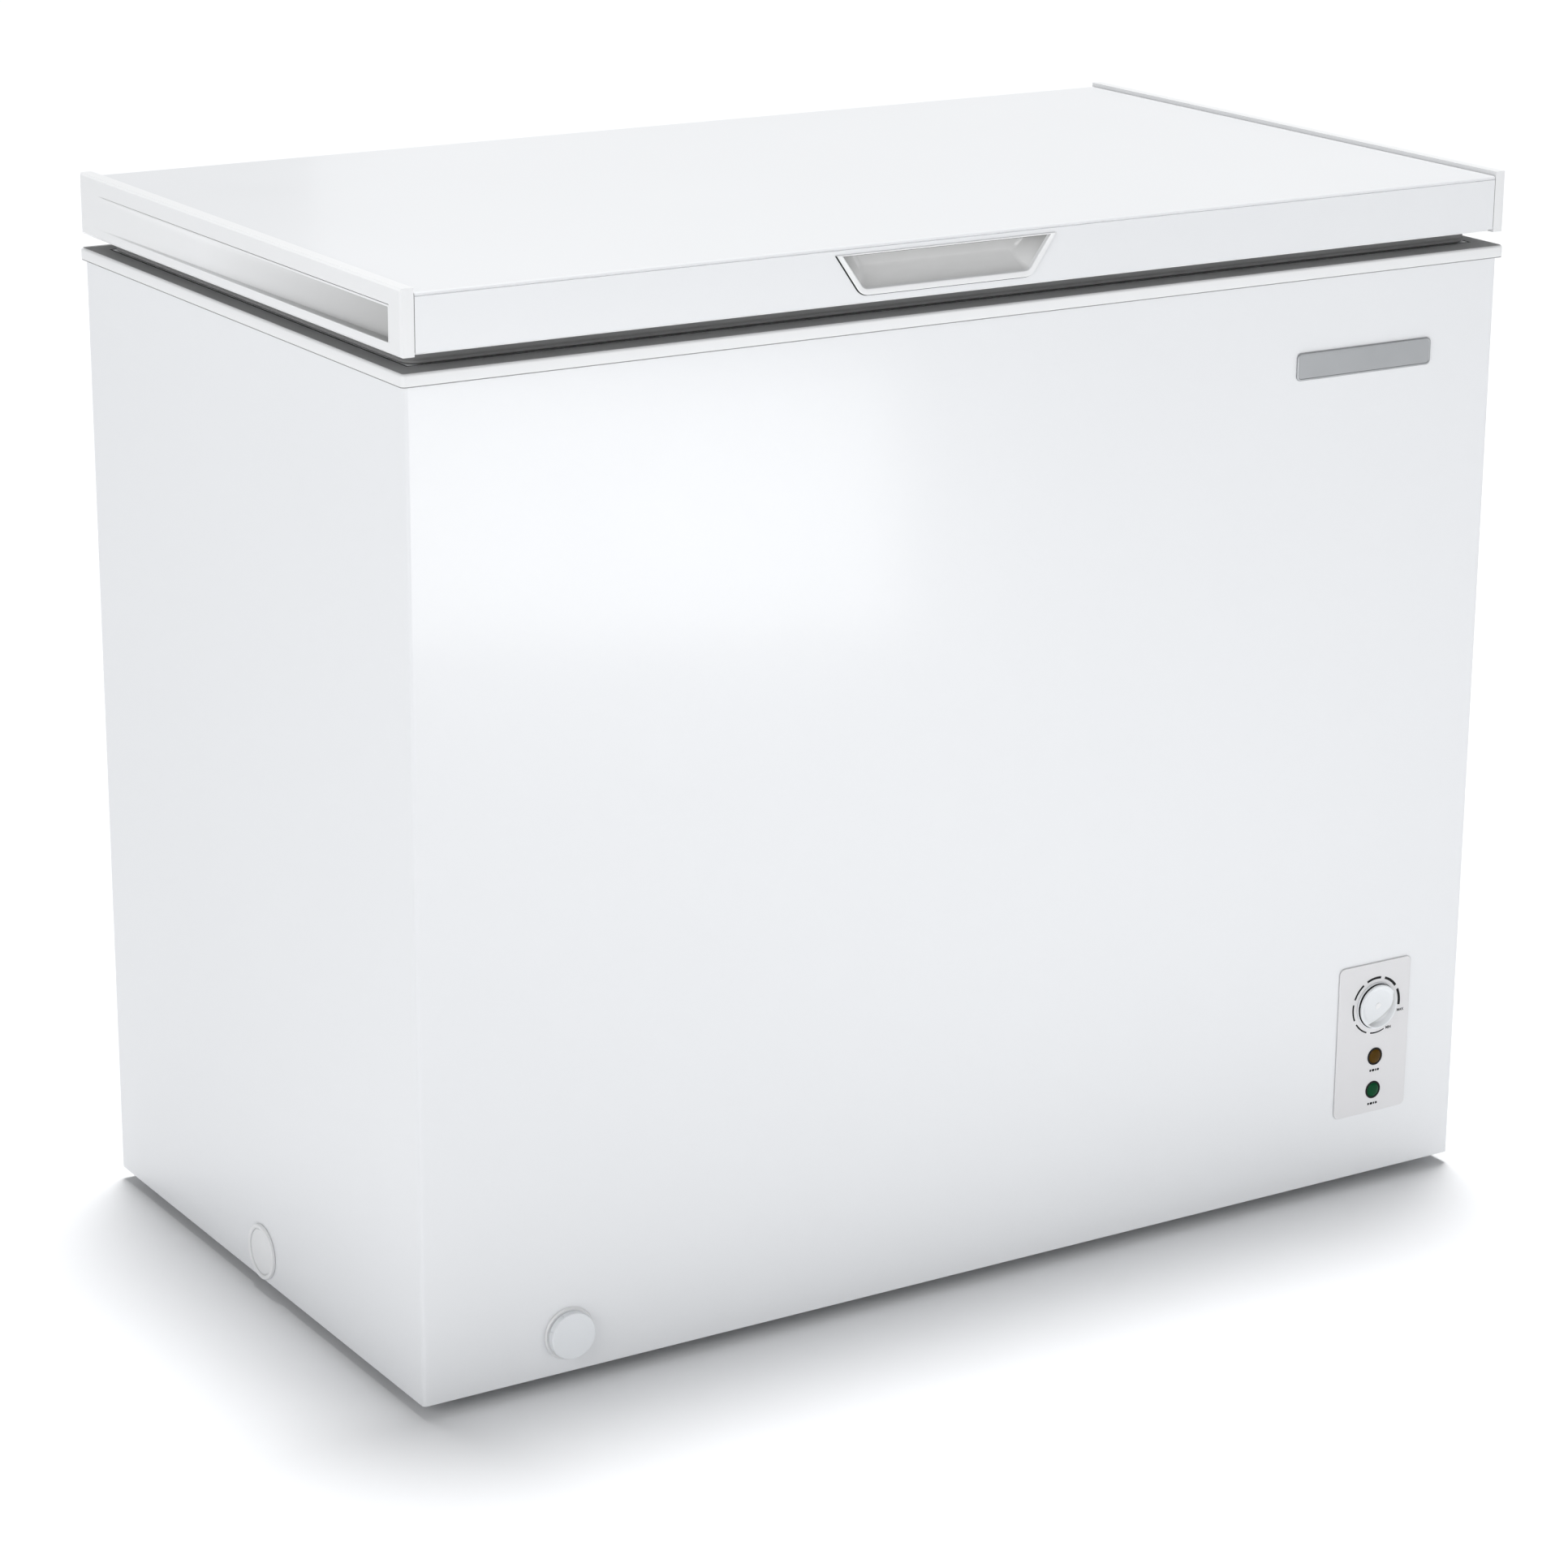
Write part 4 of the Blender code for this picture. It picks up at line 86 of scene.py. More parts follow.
class FreezerColours(bpy.types.PropertyGroup):
    """Colours of the finishes."""

    paint: colour_property("Paint", "Enamelled cabinet and lid", (0.82, 0.83, 0.845))
    moulding: colour_property("Moulding", "Top frame, caps, plugs", (0.84, 0.845, 0.85))
    panel: colour_property("Panel", "Thermostat panel", (0.74, 0.735, 0.745))
    knob: colour_property("Knob", "Thermostat knob and drain dial", (0.80, 0.82, 0.84))
    # Grip and grip top are a lit and a shaded copy of the cup's plastic: painted light on its lower
    # part, painted shade up under the bezel's edge.
    grip: colour_property("Grip", "Lower part of the grip's cup", (0.86, 0.86, 0.855))
    grip_top_painted_shade: colour_property("Grip top", "Upper part of the grip's cup", (0.47, 0.47, 0.465))
    # Recess is painted shade: the dark colour of the end caps' recess towards its front, and of the
    # knob's face under its ridge.
    recess: colour_property("Recess", "Front end of the cap recess", (0.44, 0.44, 0.435))
    # The gasket's grey is darker than the light grey gasket itself, to give the shade under the lid:
    # partly its own colour, partly painted shade.
    gasket: colour_property("Gasket", "Magnetic gasket", (0.33, 0.33, 0.33))
    liner: colour_property("Liner", "Embossed aluminium tub", (0.78, 0.79, 0.80))
    steel: colour_property("Steel", "Galvanised sheet", (0.58, 0.59, 0.60))
    dark: colour_property("Dark plastic", "Machine room cover", (0.20, 0.205, 0.21))
    black: colour_property("Black", "Compressor, marks and rims", (0.015, 0.015, 0.016))
    copper: colour_property("Copper", "Refrigerant tubes", (0.72, 0.38, 0.22))
    foam: colour_property("Foam", "Insulation", (0.80, 0.72, 0.48))
    amber: colour_property("Amber", "Amber lens", (0.068, 0.034, 0.002))
    green: colour_property("Green", "Green lens", (0.002, 0.054, 0.018))
    badge: colour_property("Badge", "Blank name badge", (0.40, 0.41, 0.42))


class FreezerSizes(bpy.types.PropertyGroup):
    """Sizes of the fine detail."""

    sheet_edge: length_property("Sheet edge", "Rounding of folded sheet edges", 0.0003)
    moulded_edge: length_property("Moulded edge", "Rounding of moulded edges", 0.0008)
    gasket_rib: length_property("Gasket rib", "Depth of the gasket's bellows", 0.0011)
    gasket_ribs: IntProperty(name="Gasket ribs", description="Folds up its side", default=3)
    screw_radius: length_property("Screw radius", "Radius of a pan head", 0.0036)
    screw_height: length_property("Screw height", "Height of a pan head", 0.0016)
    louvre_depth: length_property("Louvre depth", "How far a louvre stands out", 0.0034)
    wire_radius: length_property("Wire radius", "Wires of the basket", 0.0012)
    rim_radius: length_property("Rim radius", "Rim wire of the basket", 0.0020)
    wire_pitch: length_property("Wire pitch", "Distance between upright wires", 0.0215)
    mark_radius: length_property("Mark radius", "Middle of the ring of dial marks", 0.0243)
    mark_count: IntProperty(name="Marks", description="Marks round the dial", default=7)


class FreezerStage(bpy.types.PropertyGroup):
    """Floor, lights and camera."""

    floor: colour_property("Floor", "Pale floor", (0.86, 0.865, 0.875))
    sky: FloatProperty(name="Sky", description="Strength of the even light", default=0.33)
    overhead: FloatProperty(name="Overhead", description="Distant overhead light", default=2.85)
    spread: FloatProperty(name="Spread", description="Width of the overhead light",
                          default=math.radians(17), subtype="ANGLE")
    front: FloatProperty(name="Front", description="Front panel, watts", default=3.7)
    side: FloatProperty(name="Side", description="Side panel, watts", default=28.0)
    sheen: FloatProperty(name="Sheen", description="Low rear panel, watts", default=3.4)
    lens: FloatProperty(name="Lens", description="Focal length, mm", default=101.727)


# ---------------------------------------------------------------- node trees


def add(tree, kind, links=None, **settings):
    """Add a node, set its properties, then link or set its inputs by name or place."""
    node = tree.nodes.new(kind)
    for key, value in settings.items():
        setattr(node, key, value)
    for key, value in (links or {}).items():
        socket = node.inputs[key]
        for one in value if isinstance(value, list) else [value]:
            if isinstance(one, bpy.types.NodeSocket):
                tree.links.new(one, socket)
            else:
                socket.default_value = one
    return node


def math_node(tree, operation, first, second=0.0, third=0.0):
    """Add a Math node and return its output."""
    node = add(tree, "ShaderNodeMath", {0: first, 1: second, 2: third}, operation=operation)
    return node.outputs[0]


def new_group(name, kind, inputs, outputs):
    """Make a node group and return it with its input and output sockets."""
    tree = bpy.data.node_groups.new(name, kind)
    for label, socket_type in outputs:
        tree.interface.new_socket(label, in_out="OUTPUT", socket_type=socket_type)
    for label, socket_type, default in inputs:
        socket = tree.interface.new_socket(label, in_out="INPUT", socket_type=socket_type)
        if default is not None:
            socket.default_value = default
    source = tree.nodes.new("NodeGroupInput")
    sink = tree.nodes.new("NodeGroupOutput")
    return tree, source.outputs, sink.inputs


# ---------------------------------------------------------------- shader groups

FLOAT, COLOUR = "NodeSocketFloat", "NodeSocketColor"


def noise(tree, coordinates, scale, detail=2.0):
    """Add a Noise texture and return its value, about 0.5."""
    node = add(tree, "ShaderNodeTexNoise",
               {"Vector": coordinates, "Scale": scale, "Detail": detail})
    return node.outputs[0]


def tone_drift_group():
    """A colour that drifts a little lighter and darker over the surface."""
    found = bpy.data.node_groups.get("tone_drift")
    if found:
        return found
    tree, given, result = new_group(
        "tone_drift", "ShaderNodeTree",
        [("Color", COLOUR, None), ("Amount", FLOAT, 0.03), ("Scale", FLOAT, 3.0)],
        [("Color", COLOUR)])
    place = add(tree, "ShaderNodeTexCoord").outputs["Object"]
    wide = noise(tree, place, given["Scale"])
    swing = math_node(tree, "MULTIPLY_ADD", wide, 2.0, -1.0)
    value = math_node(tree, "MULTIPLY_ADD", swing, given["Amount"], 1.0)
    mixed = add(tree, "ShaderNodeVectorMath", {0: given["Color"], "Scale": value},
                operation="SCALE")
    tree.links.new(mixed.outputs[0], result["Color"])
    return tree


def grain_group():
    """Height of a moulded or sprayed skin: broad ripple with finer grain on it."""
    found = bpy.data.node_groups.get("grain")
    if found:
        return found
    tree, given, result = new_group(
        "grain", "ShaderNodeTree",
        [("Scale", FLOAT, 400.0), ("Fineness", FLOAT, 4.0), ("Fine Share", FLOAT, 0.3)],
        [("Height", FLOAT)])
    place = add(tree, "ShaderNodeTexCoord").outputs["Object"]
    broad = noise(tree, place, given["Scale"])
    fine = noise(tree, place, math_node(tree, "MULTIPLY", given["Scale"], given["Fineness"]))
    height = math_node(tree, "MULTIPLY_ADD", fine, given["Fine Share"], broad)
    tree.links.new(height, result["Height"])
    return tree


def handling_group():
    """Mask of faint smears and dust, thickest where faces look up."""
    found = bpy.data.node_groups.get("handling")
    if found:
        return found
    tree, given, result = new_group(
        "handling", "ShaderNodeTree",
        [("Amount", FLOAT, 0.1), ("Upward", FLOAT, 0.5), ("Scale", FLOAT, 9.0)],
        [("Mask", FLOAT)])
    place = add(tree, "ShaderNodeTexCoord").outputs["Object"]
    patches = noise(tree, place, given["Scale"], 5.0)
    normal = add(tree, "ShaderNodeNewGeometry").outputs["Normal"]
    rise = add(tree, "ShaderNodeSeparateXYZ", {0: normal}).outputs["Z"]
    lifted = math_node(tree, "MAXIMUM", rise, 0.0)
    weight = math_node(tree, "MULTIPLY_ADD", lifted, given["Upward"], 1.0)
    mask = math_node(tree, "MULTIPLY", math_node(tree, "MULTIPLY", patches, weight),
                     given["Amount"])
    tree.links.new(mask, result["Mask"])
    return tree


def spangle_group():
    """Crystal flakes of galvanised sheet, as a tone and a height."""
    found = bpy.data.node_groups.get("spangle")
    if found:
        return found
    tree, given, result = new_group(
        "spangle", "ShaderNodeTree",
        [("Color", COLOUR, None), ("Scale", FLOAT, 150.0), ("Contrast", FLOAT, 0.3)],
        [("Color", COLOUR), ("Height", FLOAT)])
    place = add(tree, "ShaderNodeTexCoord").outputs["Object"]
    flakes = add(tree, "ShaderNodeTexVoronoi", {"Vector": place, "Scale": given["Scale"]})
    shade = add(tree, "ShaderNodeSeparateXYZ", {0: flakes.outputs["Color"]}).outputs["X"]
    swing = math_node(tree, "SUBTRACT", shade, 0.5)
    value = math_node(tree, "MULTIPLY_ADD", swing, given["Contrast"], 1.0)
    mixed = add(tree, "ShaderNodeVectorMath", {0: given["Color"], "Scale": value},
                operation="SCALE")
    tree.links.new(mixed.outputs[0], result["Color"])
    tree.links.new(shade, result["Height"])
    return tree


def brushed_group():
    """Fine strokes along X, as a height."""
    found = bpy.data.node_groups.get("brushed")
    if found:
        return found
    tree, given, result = new_group(
        "brushed", "ShaderNodeTree",
        [("Scale", FLOAT, 1500.0), ("Stretch", FLOAT, 0.01)], [("Height", FLOAT)])
    place = add(tree, "ShaderNodeTexCoord").outputs["Object"]
    squeeze = add(tree, "ShaderNodeCombineXYZ", {0: given["Stretch"], 1: 1.0, 2: 1.0})
    lines = add(tree, "ShaderNodeVectorMath", {0: place, 1: squeeze.outputs[0]},
                operation="MULTIPLY")
    tree.links.new(noise(tree, lines.outputs[0], given["Scale"]), result["Height"])
    return tree


# ---------------------------------------------------------------- finishes


def colours():
    """Return the colour properties."""
    return bpy.context.scene.freezer_colours


def sizes():
    """Return the size properties."""
    return bpy.context.scene.freezer_sizes


def new_material(name, roughness, metallic=0.0, coat=0.0, specular=0.5):
    """Make a material and return it with its tree and its Principled shader."""
    made = bpy.data.materials.new(name)
    made.use_nodes = True
    tree = made.node_tree
    shader = tree.nodes["Principled BSDF"]
    shader.inputs["Roughness"].default_value = roughness
    shader.inputs["Metallic"].default_value = metallic
    shader.inputs["Coat Weight"].default_value = coat
    shader.inputs["Coat Roughness"].default_value = 0.12
    shader.inputs["Specular IOR Level"].default_value = specular
    return made, tree, shader


def group_node(tree, group, values):
    """Place a node group with its own values."""
    node = tree.nodes.new("ShaderNodeGroup")
    node.node_tree = group
    for key, value in values.items():
        if isinstance(value, bpy.types.NodeSocket):
            tree.links.new(value, node.inputs[key])
        else:
            node.inputs[key].default_value = value
    return node


def drift(tree, shader, colour, amount=0.02, scale=3.0):
    """Give the shader a colour that drifts over the surface."""
    node = group_node(tree, tone_drift_group(),
                      {"Color": (*colour, 1.0), "Amount": amount, "Scale": scale})
    tree.links.new(node.outputs["Color"], shader.inputs["Base Color"])


def relief(tree, shader, height, depth):
    """Turn a height of about 0 to 1 into bumps of the given depth."""
    bump = add(tree, "ShaderNodeBump", {"Height": height, "Distance": depth})
    tree.links.new(bump.outputs["Normal"], shader.inputs["Normal"])


def smears(tree, shader, roughness, amount, upward=0.5):
    """Let the roughness rise a little in faint patches."""
    node = group_node(tree, handling_group(), {"Amount": amount, "Upward": upward})
    value = math_node(tree, "ADD", node.outputs["Mask"], roughness)
    tree.links.new(value, shader.inputs["Roughness"])


def moulded(name, colour, roughness, scale=900.0, depth=0.000012, drift_amount=0.015,
            specular=0.5):
    """Moulded plastic: fine spark-eroded grain and a slight drift in tone."""
    made, tree, shader = new_material(name, roughness, specular=specular)
    drift(tree, shader, colour, drift_amount)
    node = group_node(tree, grain_group(), {"Scale": scale})
    relief(tree, shader, node.outputs["Height"], depth)
    smears(tree, shader, roughness, 0.08)
    return made


def white_paint():
    """Enamel with a trace of orange peel under a clear gloss."""
    made, tree, shader = new_material("white_paint", 0.32, coat=0.25)
    drift(tree, shader, colours().paint, 0.010, 1.5)
    node = group_node(tree, grain_group(), {"Scale": 260.0, "Fineness": 3.0, "Fine Share": 0.15})
    relief(tree, shader, node.outputs["Height"], 0.000010)
    smears(tree, shader, 0.30, 0.06)
    return made


def galvanised():
    """Zinc coated sheet with its flakes."""
    made, tree, shader = new_material("galvanised", 0.38, metallic=1.0)
    node = group_node(tree, spangle_group(), {"Color": (*colours().steel, 1.0), "Contrast": 0.12})
    tree.links.new(node.outputs["Color"], shader.inputs["Base Color"])
    relief(tree, shader, node.outputs["Height"], 0.000006)
    smears(tree, shader, 0.34, 0.16)
    return made


def stucco_liner():
    """Aluminium sheet embossed with small round pillows."""
    made, tree, shader = new_material("liner", 0.36, metallic=0.55)
    drift(tree, shader, colours().liner, 0.02, 5.0)
    place = add(tree, "ShaderNodeTexCoord").outputs["Object"]
    cells = add(tree, "ShaderNodeTexVoronoi", {"Vector": place, "Scale": 210.0, "Randomness": 0.75},
                feature="SMOOTH_F1")
    relief(tree, shader, cells.outputs["Distance"], 0.00030)
    return made


def plastic_with_painted_shade(name, attribute, light, dark, roughness):
    """Gloss plastic that goes from light to dark by an attribute of the mesh: the dark end is painted
    shade.
    """
    made, tree, shader = new_material(name, roughness)
    shade = add(tree, "ShaderNodeAttribute", attribute_name=attribute).outputs["Fac"]
    mix = add(tree, "ShaderNodeMix", {0: shade, 6: (*light, 1.0), 7: (*dark, 1.0)},
              data_type="RGBA")
    node = group_node(tree, tone_drift_group(), {"Color": mix.outputs[2], "Amount": 0.01})
    tree.links.new(node.outputs["Color"], shader.inputs["Base Color"])
    grain = group_node(tree, grain_group(), {"Scale": 900.0})
    relief(tree, shader, grain.outputs["Height"], 0.000006)
    return made


def cap_plastic():
    """Plastic of the end caps, with painted shade in their recess."""
    return plastic_with_painted_shade("cap_plastic", "recess_shade", colours().moulding, colours().recess,
                          0.34)


def knob_plastic():
    """Plastic of the knob, with painted shade beside its ridge."""
    return plastic_with_painted_shade("knob_plastic", "scoop_shade", colours().knob, colours().recess, 0.28)


def handle_plastic():
    """Plastic of the grip's cup, with painted shade that darkens it up under its edge."""
    return plastic_with_painted_shade("handle_plastic", "cup_shade", colours().grip, colours().grip_top_painted_shade, 0.22)


def gasket_rubber():
    """Flexible gasket with a matt, lightly ribbed skin."""
    made, tree, shader = new_material("gasket", 0.55, specular=0.3)
    drift(tree, shader, colours().gasket, 0.06, 12.0)
    node = group_node(tree, grain_group(), {"Scale": 1400.0})
    relief(tree, shader, node.outputs["Height"], 0.00003)
    smears(tree, shader, 0.50, 0.15)
    return made


def black_rubber():
    """Matt black rubber with dust on it."""
    made, tree, shader = new_material("rubber", 0.8)
    drift(tree, shader, (0.03, 0.03, 0.031), 0.25, 60.0)
    node = group_node(tree, grain_group(), {"Scale": 1100.0})
    relief(tree, shader, node.outputs["Height"], 0.00006)
    smears(tree, shader, 0.72, 0.2)
    return made


def copper_tube():
    """Drawn copper with darker, duller patches."""
    made, tree, shader = new_material("copper", 0.3, metallic=1.0)
    drift(tree, shader, colours().copper, 0.22, 25.0)
    smears(tree, shader, 0.24, 0.35)
    return made


def black_paint():
    """Black stoved enamel of the compressor."""
    made, tree, shader = new_material("black_paint", 0.3, coat=0.3)
    drift(tree, shader, colours().black, 0.2, 14.0)
    node = group_node(tree, grain_group(), {"Scale": 500.0})
    relief(tree, shader, node.outputs["Height"], 0.00003)
    smears(tree, shader, 0.28, 0.25)
    return made


def foam_skin():
    """Rigid foam with its closed cells."""
    made, tree, shader = new_material("foam", 0.9)
    drift(tree, shader, colours().foam, 0.10, 20.0)
    place = add(tree, "ShaderNodeTexCoord").outputs["Object"]
    cells = add(tree, "ShaderNodeTexVoronoi", {"Vector": place, "Scale": 700.0})
    relief(tree, shader, cells.outputs["Distance"], 0.0004)
    return made


def lens_plastic(name, colour):
    """Tinted lens, deep in colour with a clear gloss and a faint moulded grain."""
    made, tree, shader = new_material(name, 0.25, specular=0.08)
    drift(tree, shader, colour, 0.15, 300.0)
    node = group_node(tree, grain_group(), {"Scale": 500.0})
    relief(tree, shader, node.outputs["Height"], 0.00002)
    # The lens glows faintly in its own colour: painted light, as the lamp behind it gives none.
    shader.inputs["Emission Color"].default_value = (*colour, 1.0)
    shader.inputs["Emission Strength"].default_value = 0.15
    return made


def lamp_glass():
    """Frosted envelope of the small lamps."""
    made, tree, shader = new_material("lamp_glass", 0.25)
    drift(tree, shader, (0.75, 0.75, 0.70), 0.05, 80.0)
    shader.inputs["Transmission Weight"].default_value = 0.6
    return made


def badge_metal():
    """Satin metal brushed along its length."""
    made, tree, shader = new_material("badge_metal", 0.34, metallic=1.0)
    drift(tree, shader, colours().badge, 0.05, 40.0)
    node = group_node(tree, brushed_group(), {})
    relief(tree, shader, node.outputs["Height"], 0.00002)
    return made


def spring_steel():
    """Oiled spring wire."""
    made, tree, shader = new_material("spring_steel", 0.32, metallic=1.0)
    drift(tree, shader, (0.30, 0.30, 0.31), 0.25, 60.0)
    return made


def basket_wire():
    """White dipped coating on wire, a little thicker and thinner along it."""
    made, tree, shader = new_material("basket_wire", 0.3)
    drift(tree, shader, (0.84, 0.85, 0.86), 0.02, 10.0)
    node = group_node(tree, grain_group(), {"Scale": 160.0})
    relief(tree, shader, node.outputs["Height"], 0.00006)
    return made


FINISHES = {
    "white_paint": white_paint,
    "galvanised": galvanised,
    "foam": foam_skin,
    "liner": stucco_liner,
    "white_plastic": lambda: moulded("white_plastic", colours().moulding, 0.36),
    "panel_plastic": lambda: moulded("panel_plastic", colours().panel, 0.45, 1300.0, 0.00003),
    "knob_plastic": knob_plastic,
    "cap_plastic": cap_plastic,
    "liner_plastic": lambda: moulded("liner_plastic", colours().moulding, 0.42, 500.0),
    "handle_plastic": handle_plastic,
    "grey_plastic": lambda: moulded("grey_plastic", colours().dark, 0.5, 900.0, 0.00004),
    "black_plastic": lambda: moulded("black_plastic", colours().black, 0.6, 900.0, 0.00004, 0.2,
                                     0.15),
    "gasket": gasket_rubber,
    "rubber": black_rubber,
    "copper": copper_tube,
    "black_paint": black_paint,
    "amber_lens": lambda: lens_plastic("amber_lens", colours().amber),
    "green_lens": lambda: lens_plastic("green_lens", colours().green),
    "lamp_glass": lamp_glass,
    "badge_metal": badge_metal,
    "spring_steel": spring_steel,
    "basket_wire": basket_wire,
}

MADE = {}


def finish(slot):
    """Return the material of a slot, made on first use."""
    if slot not in MADE:
        MADE[slot] = FINISHES[slot]()
    return MADE[slot]


# ---------------------------------------------------------------- mesh helpers


def on_axis(axis, across, up, along):
    """Return a 3-D point from two plane coordinates and one along the axis."""
    if axis == "X":
        return Vector((along, across, up))
    if axis == "Y":
        return Vector((across, along, up))
    return Vector((across, up, along))


def arc(centre, radius, start, end, steps):
    """Return points on an arc, angles in degrees."""
    points = []
    for i in range(steps + 1):
        angle = math.radians(start + (end - start) * i / steps)
        points.append((centre[0] + radius * math.cos(angle), centre[1] + radius * math.sin(angle)))
    return points


def rounded(half_a, half_b, radius, centre=(0.0, 0.0), steps=8):
    """Return the outline of a rectangle with round corners."""
    a, b = half_a - radius, half_b - radius
    points = []
    for corner_a, corner_b, start in ((-a, -b, 180), (a, -b, 270), (a, b, 0), (-a, b, 90)):
        place = (centre[0] + corner_a, centre[1] + corner_b)
        points += arc(place, radius, start, start + 90, steps)
    return points


def loft(bm, loops, ends=True, closed=False):
    """Join point loops of equal length; return the faces of each step between them."""
    rings = [[bm.verts.new(point) for point in loop] for loop in loops]
    pairs = list(zip(rings, rings[1:]))
    if closed:
        pairs.append((rings[-1], rings[0]))
    bands = []
    for lower, upper in pairs:
        band = []
        for i in range(len(lower)):
            j = (i + 1) % len(lower)
            band.append(bm.faces.new((lower[i], lower[j], upper[j], upper[i])))
        bands.append(band)
    if ends and not closed:
        bands.append([bm.faces.new(list(reversed(rings[0])))])
        bands.append([bm.faces.new(rings[-1])])
    return bands


def turned(bm, profile, centre, axis, segments=64):
    """Turn a profile of (radius, place along the axis) pairs about an axis."""
    rings = []
    for radius, along in profile:
        if radius == 0.0:
            rings.append([bm.verts.new(on_axis(axis, *centre, along))])
            continue
        ring = []
        for i in range(segments):
            angle = 2 * math.pi * i / segments
            across = centre[0] + radius * math.cos(angle)
            up = centre[1] + radius * math.sin(angle)
            ring.append(bm.verts.new(on_axis(axis, across, up, along)))
        rings.append(ring)
    for lower, upper in zip(rings, rings[1:]):
        for i in range(segments):
            j = (i + 1) % segments
            corners = [lower[i % len(lower)], lower[j % len(lower)]]
            corners += [upper[j % len(upper)], upper[i % len(upper)]]
            bm.faces.new(list(dict.fromkeys(corners)))


def to_mesh(name, bm):
    """Turn a bmesh into a mesh with its faces pointing out."""
    bmesh.ops.recalc_face_normals(bm, faces=bm.faces)
    mesh = bpy.data.meshes.new(name)
    bm.to_mesh(mesh)
    bm.free()
    return mesh


def even_normals(made):
    """Keep flat faces flat where they meet rounded edges."""
    modifier = made.modifiers.new("even_normals", "WEIGHTED_NORMAL")
    modifier.keep_sharp = True


def round_edges(made, width, segments=3):
    """Round the sharp edges of a piece."""
    modifier = made.modifiers.new("rounded_edges", "BEVEL")
    modifier.width = width
    modifier.segments = segments
    modifier.limit_method = "ANGLE"
    modifier.angle_limit = math.radians(40)


def install(name, mesh, slot, body, nodes=(), edge=0.0, sharp=40, extra=()):
    """Make a mesh a piece of the freezer: its finish, its body and what it stands for."""
    made = bpy.data.objects.new(name, mesh)
    bpy.context.scene.collection.objects.link(made)
    if not extra:
        mesh.materials.clear()
    for one in (slot, *extra):
        mesh.materials.append(finish(one))
    mesh.shade_smooth()
    if edge:
        round_edges(made, edge)
    else:
        mesh.set_sharp_from_angle(angle=math.radians(sharp))
    even_normals(made)
    if nodes:
        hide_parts(*nodes)
    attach(made, body)
    return made


def welded(node, simpler=True):
    """Return a copy of a CAD node's mesh, welded and, where its faces allow it, simplified."""
    bm = bmesh.new()
    bm.from_mesh(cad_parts[node].data)
    bmesh.ops.remove_doubles(bm, verts=bm.verts, dist=0.000002)
    if simpler:
        bmesh.ops.dissolve_limit(bm, angle_limit=math.radians(0.6), verts=bm.verts,
                                 edges=bm.edges)
    return to_mesh(node + "_welded", bm)


def refined(node, name, body, edge=0.0, sharp=40, simpler=True):
    """Replace a CAD node by a smooth copy of it with its edges rounded."""
    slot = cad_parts[node].material_slots[0].material.name
    return install(name, welded(node, simpler), slot, body, (node,), edge, sharp)


def carved(mesh, cutters):
    """Return the mesh with closed shapes cut out of it."""
    body = bpy.data.objects.new("carving", mesh)
    bpy.context.scene.collection.objects.link(body)
    tools = []
    for bm in cutters:
        tool = bpy.data.objects.new("carving_tool", to_mesh("carving_tool", bm))
        bpy.context.scene.collection.objects.link(tool)
        modifier = body.modifiers.new("carve", "BOOLEAN")
        modifier.object = tool
        tools.append(tool)
    result = bpy.data.meshes.new_from_object(
        body.evaluated_get(bpy.context.evaluated_depsgraph_get()))
    for each in (body, *tools):
        bpy.data.objects.remove(each)
    return result


# ---------------------------------------------------------------- geometry node helpers

GEOMETRY = "NodeSocketGeometry"
WHOLE = "NodeSocketInt"
VECTOR = "NodeSocketVector"
MATERIAL = "NodeSocketMaterial"


def geometry_tree(name, inputs):
    """Make a Geometry Nodes tree that takes a mesh, the named inputs and a material."""
    sockets = [("Geometry", GEOMETRY, None), *inputs, ("Material", MATERIAL, None)]
    return new_group(name, "GeometryNodeTree", sockets, [("Geometry", GEOMETRY)])


def close_tree(tree, given, result, geometry, smooth=True):
    """End a tree in Realize Instances and Set Material."""
    real = add(tree, "GeometryNodeRealizeInstances", {"Geometry": geometry})
    shaded = add(tree, "GeometryNodeSetShadeSmooth",
                 {"Geometry": real.outputs[0], "Shade Smooth": smooth})
    dressed = add(tree, "GeometryNodeSetMaterial",
                  {"Geometry": shaded.outputs[0], "Material": given["Material"]})
    tree.links.new(dressed.outputs[0], result["Geometry"])


def grown(name, tree, values, slot, points=()):
    """Run a tree on a few points and return the result as a plain mesh."""
    base = bpy.data.meshes.new(name)
    base.from_pydata([tuple(point) for point in points], [], [])
    holder = bpy.data.objects.new(name, base)
    bpy.context.scene.collection.objects.link(holder)
    modifier = holder.modifiers.new("grow", "NODES")
    modifier.node_group = tree
    values = {**values, "Material": finish(slot)}
    for item in tree.interface.items_tree:
        if item.in_out == "INPUT" and item.name in values:
            modifier[item.identifier] = values[item.name]
    mesh = bpy.data.meshes.new_from_object(
        holder.evaluated_get(bpy.context.evaluated_depsgraph_get()))
    bpy.data.objects.remove(holder)
    mesh.name = name
    return mesh


def combine(tree, x=0.0, y=0.0, z=0.0):
    """Add a Combine XYZ node and return its vector."""
    return add(tree, "ShaderNodeCombineXYZ", {0: x, 1: y, 2: z}).outputs[0]


def tube(tree, curve, radius, sides):
    """Sweep a round wire along a curve."""
    ring = add(tree, "GeometryNodeCurvePrimitiveCircle", {"Resolution": sides, "Radius": radius})
    return add(tree, "GeometryNodeCurveToMesh",
               {"Curve": curve, "Profile Curve": ring.outputs[0], "Fill Caps": True}).outputs[0]


